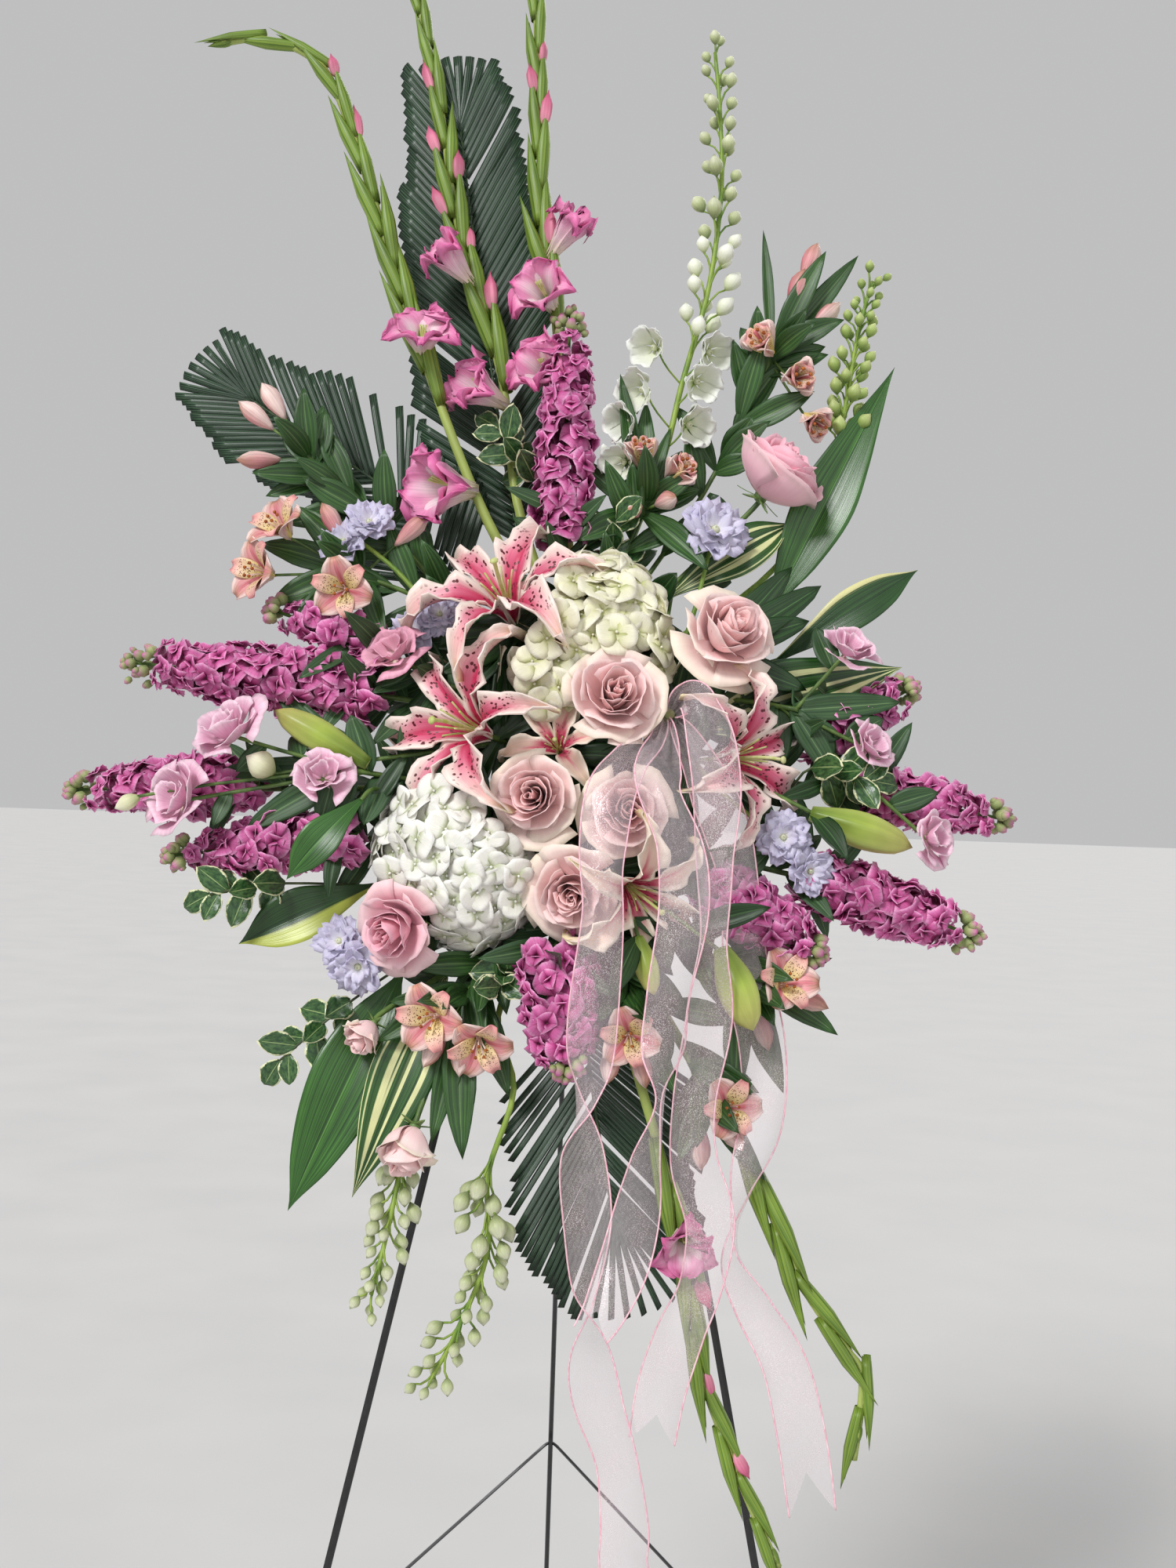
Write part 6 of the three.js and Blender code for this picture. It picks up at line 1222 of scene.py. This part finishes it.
# open: place, facing and radius; leaves: tip, half width, and how far back from the hub they spring
alstroemerias = {
    "alstroemeria_left": {"fork": (-60, 85, 40), "aim": 66, "clusters": [{"by": [(-150, 190, 50)],
        "hub": (-232, 262, 54), "buds": [(-290, 304, 62), (-288, 252, 64), (-272, 322, 60)],
        "leaves": [((-232, 238, 66), 12, 0.7), ((-224, 292, 50), 10, 0.5), ((-262, 222, 60), 9, 0.25),
        ((-120, 262, 46), 9, 0.85), ((-254, 286, 48), 10, 0.15), ((-276, 246, 52), 12, 0.3),
        ((-244, 200, 56), 12, 0.6)]}, {"by": [(-110, 130, 60)], "hub": (-190, 160, 64),
        "open": [((-244, 190, 82), (-0.5, 0.5, 0.7), 17), ((-258, 151, 82), (-0.7, 0, 0.7), 17),
        ((-188, 136, 92), (-0.1, -0.2, 0.9), 16)], "buds": [(-124, 206, 76), (-214, 216, 68)],
        "leaves": [((-228, 112, 84), 10, 0.1), ((-152, 96, 90), 9, 0.2), ((-222, 166, 60), 12, 0.5),
        ((-264, 180, 62), 12, 0.05), ((-250, 130, 66), 12, 0.02), ((-236, 214, 62), 11, 0.1)]}]},
    "alstroemeria_top": {"aim": 88, "clusters": [{"hub": (56, 232, 56),
        "open": [((50, 263, 72), (-0.1, 0.7, 0.7), 15), ((78, 250, 72), (0.6, 0.4, 0.7), 15)],
        "buds": [(78, 226, 84), (40, 216, 84)], "leaves": [((29, 340, 62), 8), ((74, 300, 50), 6),
        ((20, 311, 42), 9, 0.0), ((52, 322, 48), 9, 0.05), ((97, 259, 60), 10, 0.02), ((106, 161, 90), 11, 0.1),
        ((-3, 187, 76), 12, 0.12), ((-10, 272, 50), 8, 0.1), ((84, 282, 40), 9, 0.04)]}]},
    "alstroemeria_right": {"aim": 80, "clusters": [{"by": [(103, 245, 42)], "hub": (160, 372, 44),
        "open": [((150, 368, 66), (-0.5, 0.2, 0.8), 16), ((176, 340, 66), (0.3, -0.2, 0.9), 16),
        ((190, 304, 64), (0.4, -0.6, 0.7), 15)], "buds": [(196, 472, 48), (216, 418, 48), (184, 444, 56)],
        "leaves": [((118, 372, 50), 6), ((201, 457, 62), 10, 0.02), ((231, 462, 46), 9, 0.04),
        ((218, 397, 58), 10, 0.01), ((149, 486, 40), 5, 0.05), ((149, 375, 66), 10, 0.5),
        ((193, 330, 62), 11, 0.56), ((168, 363, 44), 9, 0.58), ((142, 306, 66), 10, 0.74),
        ((150, 268, 62), 10, 0.86), ((76, 322, 40), 9, 0.84)]}]},
    "alstroemeria_low_left": {"aim": -76, "clusters": [{"hub": (-78, -188, 86),
        "open": [((-98, -204, 114), (-0.3, -0.2, 0.9), 17), ((-62, -222, 112), (0.1, -0.6, 0.8), 16)],
        "buds": [(-104, -242, 104), (-76, -248, 108)], "leaves": [((-71, -310, 96), 13, 0.0),
        ((-45, -236, 96), 9, 0.1), ((-141, -224, 96), 11, 0.05), ((-38, -262, 90), 11, 0.15),
        ((-96, -300, 92), 11, 0.2)]}]},
    "alstroemeria_low_right": {"fork": (38, -124, 66), "aim": -86,
        "clusters": [{"hub": (50, -180, 84), "open": [((52, -213, 112), (0, -0.2, 0.9), 15)],
        "buds": [(36, -250, 104), (66, -252, 102)], "leaves": [((50, -236, 98), 9), ((92, -258, 96), 10, 0.05),
        ((20, -226, 92), 8, 0.1)]}, {"by": [(100, -140, 78)], "hub": (146, -164, 84),
        "open": [((170, -168, 106), (0.3, 0.2, 0.9), 16)], "buds": [(160, -220, 96), (206, -186, 94)],
        "leaves": [((134, -262, 92), 11), ((208, -147, 96), 8, 0.02), ((214, -206, 88), 10, 0.05),
        ((172, -252, 92), 11, 0.08)]}, {"by": [(84, -200, 74)], "hub": (112, -254, 78),
        "open": [((130, -264, 98), (0.2, 0, 0.9), 15)], "buds": [(142, -296, 94), (110, -312, 92)],
        "leaves": [((92, -306, 96), 9, 0.02), ((160, -318, 84), 9, 0.05)]}]},
}
wideOpen = [alstroemeriaFloret(seed, 1.0) for seed in range(4)]
halfOpen = [alstroemeriaFloret(seed, 0.3) for seed in range(4)]
pinkBud = spindle([0.0, 0.5, 0.85, 1.0, 0.8, 0.0], sides=9, rows=7, material=1, pinch=0.14, uvSpan=(0.4, 1))
for k, (name, plant) in enumerate(alstroemerias.items()):
    rng = random.Random(k + 200)
    bm = newForm()
    heads, grown = (halfOpen, 1.9) if name in ("alstroemeria_right", "alstroemeria_top") else (wideOpen, 1.55)
    routes = [[*cluster.get("by", []), cluster["hub"]] for cluster in plant["clusters"]]
    for points in addStalks(bm, routes, 2.2, plant.get("fork"), plant.get("aim")):
        addFoliage(bm, points, lances, 4, 7, 62, 9.5, rng, start=0.3, end=0.92, rise=0.9)
    for route, cluster in zip(routes, plant["clusters"]):
        hub = Vector(cluster["hub"])
        before = Vector(route[-2]) if len(route) > 1 else Vector(plant.get("fork") or foamExit(hub, plant["aim"])[0])
        heading = (hub - before).normalized()
        n = 0
        for at, face, radius in cluster.get("open", []):
            face = unit(face)
            throat = Vector(at) - 0.75 * radius * face
            spring = hub + heading * (-2 - 3.5 * n)
            addStem(bm, smoothRoute([spring, spring.lerp(throat, 0.6), throat], 6), 1.2, 0)
            stamp(bm, heads[(n + k) % 4], facing(throat, face, rng.uniform(-0.3, 0.3), grown * radius))
            stamp(bm, pinkBud, pointing(throat - face * 0.25 * radius, face) @ sized(3.4, 0.8 * radius, 3.4))
            n += 1
        for tip in map(Vector, cluster.get("buds", [])):
            spring = hub + heading * (-2 - 3.5 * n)
            length = min(40, 0.7 * (tip - spring).length)
            foot = tip - unit(tip - spring) * length
            addStem(bm, smoothRoute([spring, spring.lerp(foot, 0.5), foot.lerp(tip, 0.05)], 5), 1.2, 0)
            stamp(bm, pinkBud, pointing(foot, tip - foot, roll=rng.uniform(0, 2)) @ sized(8.4, length, 8.4))
            n += 1
        for tip, half, *back in cluster.get("leaves", []):
            spring = hub.lerp(before, *back) if back else hub + heading * (-2 - 3.5 * n)
            reach = Vector(tip) - spring
            stamp(bm, lances[n % 4], pointing(spring, reach) @ sized(half, reach.length, half), 4)
            n += 1
        across = heading.cross(Vector((0, 0.01, 1))).normalized()
        for i in range(7):
            swing = 0.9 * i + rng.uniform(-0.4, 0.4)
            out = across * math.sin(swing) + across.cross(heading) * math.cos(swing)
            long = rng.uniform(48, 66)
            stamp(bm, lances[i % 5], pointing(hub - heading * (4 + 4 * i), out + heading * rng.uniform(0.7, 1.4))
                  @ sized(9.5, long, 9.5), 4)
    makePiece(name, "flower", bm, ["stemGreen", "alstroemeriaPink", "antherRust", "alstroemeriaThroat", "lanceLeaf"])
print("alstroemerias made:", len(alstroemerias))


# ---- palm fronds, trimmed square
def leaflet(seed):
    # pleated along its length, cut off square at one unit
    rng = random.Random(seed)
    bow, sag = rng.uniform(-0.15, 0.15), rng.uniform(0.05, 0.2)

    def shape(side, v):
        half = 0.7 + 0.3 * math.sin(min(v * 2.4, 1.57))
        pleat = 0.4 * (1 - abs(side)) * (1 - 0.3 * v)
        return half * side + bow * 4 * v * (1 - v), v * (1 + 0.01 * side), pleat - sag * v * v
    return blade(4, 7, shape, thick=0.08, material=1)


palms = {
    "palm_top": {"route": [(-50, 200, 20), (-71, 297, 16), (-98, 449, 15), (-121, 590, 16)], "leaflets": 44,
        "reach": 88, "aim": 80},
    "palm_left": {"route": [(-100, 160, 24), (-156, 237, 18), (-233, 288, 16), (-290, 325, 16)], "leaflets": 34,
        "reach": 80, "aim": 70},
    "palm_low": {"route": [(16, -190, 44), (25, -248, 52), (37, -313, 56), (46, -350, 52)], "leaflets": 30,
        "reach": 100, "aim": -84},
}
leaflets = [leaflet(seed) for seed in range(5)]
for k, (name, palm) in enumerate(palms.items()):
    rng = random.Random(k + 240)
    bm = newForm()
    points = smoothRoute(palm["route"], 36)
    addStalk(bm, palm["route"], 2.2, palm["aim"], 0.5)
    stops = stations(points, 0.01, 0.98, palm["leaflets"])
    half = 0.46 * (stops[1][0] - stops[0][0]).length
    for i, (place, heading, share) in enumerate(stops):
        across = sideways(heading)
        out = across.cross(heading)
        length = palm["reach"] * (0.7 + 0.5 * math.sin(math.pi * (0.2 + 0.65 * share)))
        for side in (1, -1):
            if rng.random() < 0.1 and share < 0.9:
                continue
            step = math.sin(1.9 * (i // 5) + side + k) + rng.uniform(-0.4, 0.4)
            aimed = heading * (0.9 + 0.8 * share) + across * side * (1 + 0.03 * step) - (0.05 - 0.04 * step) * out
            stamp(bm, rng.choice(leaflets), pointing(place, aimed, out + across * side * 0.3)
                  @ sized(half, length * (0.97 + 0.04 * step), half))
    for side in (0.62, -0.62, 0.36, -0.36, 0.12, -0.12):
        stamp(bm, rng.choice(leaflets), pointing(place, heading * 1.5 + across * side, out + across * side)
              @ sized(half, length * 0.9, half))
    makePiece(name, "frond", bm, ["palmRib", "palmGreen"])
print("palms made:", len(palms))


# ---- broad leaves
def addLeaf(bm, leaf, fork, material, seed):
    rng = random.Random(seed)
    base, end = Vector(leaf["at"]), Vector(leaf["tip"])
    arch = 12
    halfWidths = [1.8 / leaf["half"], *leaf.get("shares", (0.55, 1, 0.8, 0))]
    axis = end - base
    across = sideways(axis.normalized())
    out = across.cross(axis.normalized())
    lift, wave = rng.uniform(0.12, 0.3), rng.uniform(0, 6)

    def shape(side, v):
        half = leaf["half"] * max(along(halfWidths, v), 0)
        place = base + axis * v + Vector((0, 0, 4 * arch * v * (1 - v)))
        cup = lift * half * abs(side) ** 1.4 - 0.04 * half * math.exp(-60 * side * side)
        wavy = 0.05 * half * side * math.sin(6 * v * (leaf["half"] / 20) + wave)
        return place + across * (half * side) + out * (cup + wavy * min(1, 5 * v))
    press(bm, blade(12, 26, shape, thick=0.6, material=material))
    stops = [*map(Vector, (fork, *leaf.get("by", []))), base + axis.normalized() * 2 + Vector((0, 0, 0.6))]
    addStem(bm, smoothRoute(stops, 6 * (len(stops) - 1)), 1.7)


# looks are the material numbers of the leaves, in their order
broadLeaves = {
    "aspidistra_right": {"fork": (63, 62, 34), "aim": 54, "leaves": [{"by": [(110, 100, 40)], "at": (160, 142, 46),
        "tip": (263, 362, 46), "half": 25, "shares": (0.7, 1, 0.75, 0.35, 0)},
        {"by": [(110, 82, 44)], "at": (165, 98, 56), "tip": (280, 178, 62), "half": 17},
        {"by": [(80, 52, 50)], "at": (98, 34, 68), "tip": (268, 96, 58), "half": 32,
        "shares": (0.7, 1, 0.8, 0.45, 0)}, {"by": [(72, 110, 46)], "at": (76, 150, 54), "tip": (178, 218, 52),
        "half": 20}], "looks": (1, 4, 2, 2)},
    "aspidistra_left": {"fork": (-62, -82, 40), "aim": -72, "leaves": [{"by": [(-110, -92, 48)],
        "at": (-154, -98, 56), "tip": (-258, -150, 66), "half": 21},
        {"by": [(-96, -124, 54)], "at": (-128, -168, 64), "tip": (-206, -354, 66), "half": 29,
        "shares": (0.7, 1, 0.9, 0.55, 0)}, {"by": [(-76, -122, 58)], "at": (-92, -170, 74), "tip": (-156, -342, 76),
        "half": 25, "shares": (0.7, 1, 0.85, 0.45, 0)}, {"by": [(-96, -72, 22), (-134, -30, 50), (-152, -28, 104)],
        "at": (-160, -38, 116), "tip": (-214, -104, 122), "half": 15}], "looks": (3, 1, 2, 1)},
}
for k, (name, plant) in enumerate(broadLeaves.items()):
    bm = newForm()
    addStalk(bm, [plant["fork"]], 2.4, plant["aim"])
    for n, leaf in enumerate(plant["leaves"]):
        addLeaf(bm, leaf, plant["fork"], plant["looks"][n], 10 * k + n)
    makePiece(name, "leaves", bm, ["stemGreen", "aspidistraGreen", "aspidistraStriped", "aspidistraHalf",
                                   "aspidistraEdged"])
print("broad leaves made")


# ---- pittosporum
def wavyLeaf(seed):
    rng = random.Random(seed)
    wave, curl = rng.uniform(0, 6), rng.uniform(0.1, 0.3)

    def shape(side, v):
        half = max(0.03, math.sin(math.pi * (0.04 + 0.96 * v) ** 1.1)) ** 0.75 if v < 1 else 0
        edge = 0.12 * side * side * math.sin(15 * v + wave + 2 * side)
        return half * side, v, curl * abs(side) * half + edge - 0.35 * v * v
    return blade(6, 10, shape, thick=0.06, material=1)


pittosporums = {
    "pittosporum_upper": {"fork": (20, 124, 30), "aim": 96, "sprigs": [{"by": [(-6, 230, 34)], "at": (-40, 250, 44),
        "tip": (-72, 290, 58), "leaves": 9}, {"at": (26, 165, 50), "tip": (30, 208, 74), "leaves": 7},
        {"by": [(74, 124, 26), (118, 42, 36), (162, -20, 72)], "at": (190, 2, 98), "tip": (236, -8, 104),
        "leaves": 9}]},
    "pittosporum_lower": {"fork": (-44, -124, 30), "aim": -98, "sprigs": [{"at": (-42, -160, 84),
        "tip": (-48, -180, 124), "leaves": 7, "length": 30}, {"by": [(-110, -150, 50)], "at": (-166, -192, 70),
        "tip": (-218, -240, 76), "leaves": 9}, {"by": [(-120, -100, 40)], "at": (-222, -102, 80),
        "tip": (-278, -114, 92), "leaves": 9}]},
}
wavyLeaves = [wavyLeaf(seed) for seed in range(5)]
for k, (name, plant) in enumerate(pittosporums.items()):
    rng = random.Random(k + 300)
    bm = newForm()
    routes = [[*sprig.get("by", []), sprig["at"], sprig["tip"]] for sprig in plant["sprigs"]]
    addStalks(bm, routes, 1.5, plant["fork"], plant["aim"], 0.6)
    for sprig in plant["sprigs"]:
        base, end = Vector(sprig["at"]), Vector(sprig["tip"])
        heading = (end - base).normalized()
        across = sideways(heading)
        for i in range(sprig["leaves"]):
            share = i / (sprig["leaves"] - 1)
            turn = 2.4 * (i / 2) if i % 2 == 0 else 2.4 * (i / 2) + 2.6
            out = across * math.sin(turn) + Vector((0, 0, 0.6 * math.cos(turn)))
            aimed = heading * (0.35 + 0.5 * share) + out
            length = sprig.get("length", 36) * (1 - 0.2 * share) * (1 if i % 2 == 0 else 0.82)
            half = 11 * (1 - 0.15 * share) * (1 if i % 2 == 0 else 0.85)
            stamp(bm, rng.choice(wavyLeaves), pointing(base.lerp(end, share), aimed)
                  @ sized(half, length, half))
    makePiece(name, "sprigs", bm, ["darkStem", "pittosporumLeaf"])
print("pittosporum made")


# ---- ribbons
ribbonCut = {"width": 38, "gather": 0.2, "widenSteps": 2.5, "edge": 0.65, "columns": 18, "pleats": 3, "notch": 26}


def organzaFinish(name, base, clear):
    # sheer plain weave with fine silver flecks lying in drifts
    material, tree, shader = newFinish(name, 0.36, Sheen_Weight=0.4)
    place = placeOn(tree)
    drift = fade(tree, noise(tree, place, 26.0), 0.3, 0.7)
    spark = sums(tree, "MULTIPLY", fade(tree, noise(tree, place, 1500.0, 1.0), 0.52, 0.66), drift)
    weave = noise(tree, stretched(tree, addNode(tree, "UVMap").outputs["UV"], 14, 90, 1), detail=3.0)
    colour = mixed(tree, spark, mixed(tree, drift, tint(*base), tint(246, 216, 224)), tint(255, 252, 252))
    tree.links.new(sums(tree, "MULTIPLY", spark, 0.5), shader.inputs["Metallic"])
    solid = sums(tree, "MULTIPLY_ADD", weave, 0.2, clear)
    tree.links.new(sums(tree, "MULTIPLY_ADD", spark, 0.4, solid), shader.inputs["Alpha"])
    paint(tree, shader, colour, weave, 0.4, 0.0003)
    return material


finishes["organza"] = organzaFinish("organza", (246, 232, 238), 0.13)


def ribbonPlace(ribbon, u, v):
    # where the cloth is at a share across and along it
    route, turns = ribbon["places"], ribbon["turns"]
    middle = along(route, v)
    heading = unit(along(route, min(v + 0.004, 1)) - along(route, max(v - 0.004, 0)))
    level = unit(heading.cross(Vector((0, 0.15, 1))))
    across = Matrix.Rotation(math.radians(along(turns, v)), 3, heading) @ level
    out = across.cross(heading)
    full, gather = ribbonCut["width"], ribbonCut["gather"]
    step = v * ribbon["steps"]
    spread = min(1, step / ribbonCut["widenSteps"]) ** 0.8
    run = 1 / (2 * ribbonCut["pleats"])
    wide = full * (gather + (1 - gather) * spread)
    depth = math.sqrt(max(0, (full * run) ** 2 - (wide * run) ** 2))
    fold = abs((u / run) % 2 - 1) - 0.5
    bend = spread * (0.5 + 0.75 * math.sin(0.9 * step + ribbon["phase"]) ** 2 * (1.15 - 0.7 * v))
    radius, turn = wide / (2 * bend + 1e-6), bend * (2 * u - 1)
    ripple = 0.9 * math.sin(1.7 * step + 5 * u) * spread
    if bend < 0.01:
        return middle + across * ((u - 0.5) * wide) + out * (fold * depth)
    hollow = radius * (math.cos(turn) - math.cos(bend) - 0.4 * (1 - math.cos(bend)))
    return middle + across * (radius * math.sin(turn)) + out * (hollow + fold * depth + ripple)


# stops: across, up, out and twist in degrees
ribbons = {
    "ribbon_front": {"steps": 20, "stops": [(70, 30, 129, 0), (60, 12, 136, 0), (44, -9, 160, 0), (31, -38, 184, 0),
        (26, -86, 190, 0), (28, -131, 187, 0), (24, -193, 176, 0), (22, -232, 165, 10), (19, -262, 158, 70),
        (18, -299, 150, 150), (25, -350, 140, 190), (26, -401, 130, 240), (30, -440, 122, 320),
        (37, -480, 112, 360), (52, -526, 100, 380), (60, -571, 90, 360), (61, -600, 84, 350), (70, -634, 78, 360),
        (77, -662, 72, 370)]},
    "ribbon_middle": {"steps": 15, "stops": [(72, 28, 131, 20), (70, 8, 150, 0), (66, -16, 182, -10),
        (67, -40, 200, 0), (82, -80, 202, 10), (86, -124, 197, 10), (78, -180, 188, 0), (76, -219, 178, -20),
        (75, -258, 170, -80), (68, -303, 160, -50), (62, -337, 152, -20), (52, -377, 154, 0), (40, -404, 160, 20),
        (28, -424, 166, 40)]},
    "ribbon_right": {"steps": 16, "stops": [(78, 36, 130, 30), (86, 42, 150, 20), (94, 38, 168, 0),
        (103, 12, 178, 0), (110, -33, 176, 0), (108, -85, 168, 30), (108, -143, 160, 60), (109, -200, 150, 20),
        (101, -257, 142, 0), (102, -303, 136, 0), (115, -348, 128, 10), (109, -394, 120, 20), (96, -428, 114, 10),
        (84, -469, 106, 0), (78, -509, 98, 0)]},
    "ribbon_behind": {"steps": 14, "stops": [(79, 30, 126, 0), (90, 14, 126, 0), (106, -15, 124, 0),
        (124, -60, 126, 0), (134, -100, 116, 0), (140, -157, 106, 10), (153, -215, 104, 20), (155, -273, 102, 0),
        (142, -325, 100, -60), (135, -372, 98, -100), (154, -411, 95, -140), (176, -451, 90, -170),
        (190, -502, 82, -180), (200, -559, 74, -180)]},
}
for k, (name, ribbon) in enumerate(ribbons.items()):
    ribbon["places"] = [Vector(stop[:3]) for stop in ribbon["stops"]]
    ribbon["turns"] = [stop[3] for stop in ribbon["stops"]]
    ribbon["phase"] = 1.3 * k
    length = sum((b - a).length for a, b in zip(*(smoothRoute(ribbon["places"], 80)[n:] for n in (0, 1))))
    notch = ribbonCut["notch"] / length
    rows = 7 * len(ribbon["stops"])

    def shape(side, v):
        return ribbonPlace(ribbon, 0.5 + 0.5 * side, v * (1 - notch * (1 - abs(side))))
    bm = newForm()
    press(bm, blade(ribbonCut["columns"], rows, shape, thick=0))
    cloth = makePiece(name, "cloth", bm, ["organza"])
    bm = newForm()
    for u in (0.0, 1.0):
        stops = [ribbonPlace(ribbon, u, i / (2 * rows)) for i in range(2 * rows + 1)]
        addStem(bm, stops, ribbonCut["edge"], 0, 6)
    edges = makePiece(name, "wire_edges", bm, ["wireEdge"])
    print(name, "hung,", round(length), "mm long")


# ---- the stand, tray, foam and pick keep the frame's own forms
def plainFinish(name, first, second, size, roughness, bump, **sockets):
    material, tree, shader = newFinish(name, roughness, **sockets)
    cloud = noise(tree, placeOn(tree), size, 4.0)
    rough = addNode(tree, "MapRange", {"Value": cloud, "To Min": 0.8 * roughness, "To Max": 1.2 * roughness})
    tree.links.new(rough.outputs["Result"], shader.inputs["Roughness"])
    colour = colourRamp(tree, cloud, [(0.35, tint(*first)), (0.65, tint(*second))])
    paint(tree, shader, colour, cloud, bump, 0.0004)
    return material


kept = {
    "easel_frame": plainFinish("blackWire", (16, 16, 17), (28, 28, 29), 180, 0.34, 0.15, Coat_Weight=0.3),
    "foam_holder": plainFinish("greenPlastic", (24, 54, 30), (34, 70, 40), 60, 0.45, 0.1),
    "floral_foam": plainFinish("wetFoam", (38, 66, 34), (64, 94, 52), 900, 0.95, 0.9),
    "ribbon_pick": plainFinish("pickWood", (120, 134, 84), (158, 160, 108), 140, 0.7, 0.3),
}
kept["easel_back_leg"] = kept["easel_stay"] = kept["easel_frame"]
for name, finish in kept.items():
    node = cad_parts[name]
    node.material_slots[0].material = finish
    for polygon in node.data.polygons:
        polygon.use_smooth = False
print("stand finished")


# ---- floor and light
floorShape = bmesh.new()
bmesh.ops.create_grid(floorShape, x_segments=1, y_segments=1, size=40)
floor = bpy.data.objects.new("floor", asMesh(floorShape, "floor"))
scene.collection.objects.link(floor)
floor.data.materials.append(plainFinish("floorPaint", (200, 199, 198), (204, 203, 201), 3, 0.85, 0.05))

lights = {
    "key": {"place": (-1.6, -2.4, 3.4), "degrees": 16, "power": 2.15, "aim": (0, 0, 1.05)},
    "fill": {"place": (1.4, -2.7, 1.5), "degrees": 60, "power": 0.45, "aim": (0, 0, 1.0)},
    "rim": {"place": (0.9, 1.9, 2.5), "degrees": 30, "power": 0.7, "aim": (0, 0, 1.2)},
}
for name, light in lights.items():
    lamp = bpy.data.objects.new(name, bpy.data.lights.new(name, "SUN"))
    lamp.data.energy = light["power"]
    lamp.data.angle = math.radians(light["degrees"])
    lamp.location = light["place"]
    lamp.rotation_euler = (Vector(light["aim"]) - Vector(light["place"])).to_track_quat("-Z", "Y").to_euler()
    scene.collection.objects.link(lamp)
world = scene.world or bpy.data.worlds.new("studio")
scene.world = world
world.use_nodes = True
studio = {"Color": (0.9, 0.9, 0.91, 1), "Strength": 0.58}
for key, value in studio.items():
    world.node_tree.nodes["Background"].inputs[key].default_value = value
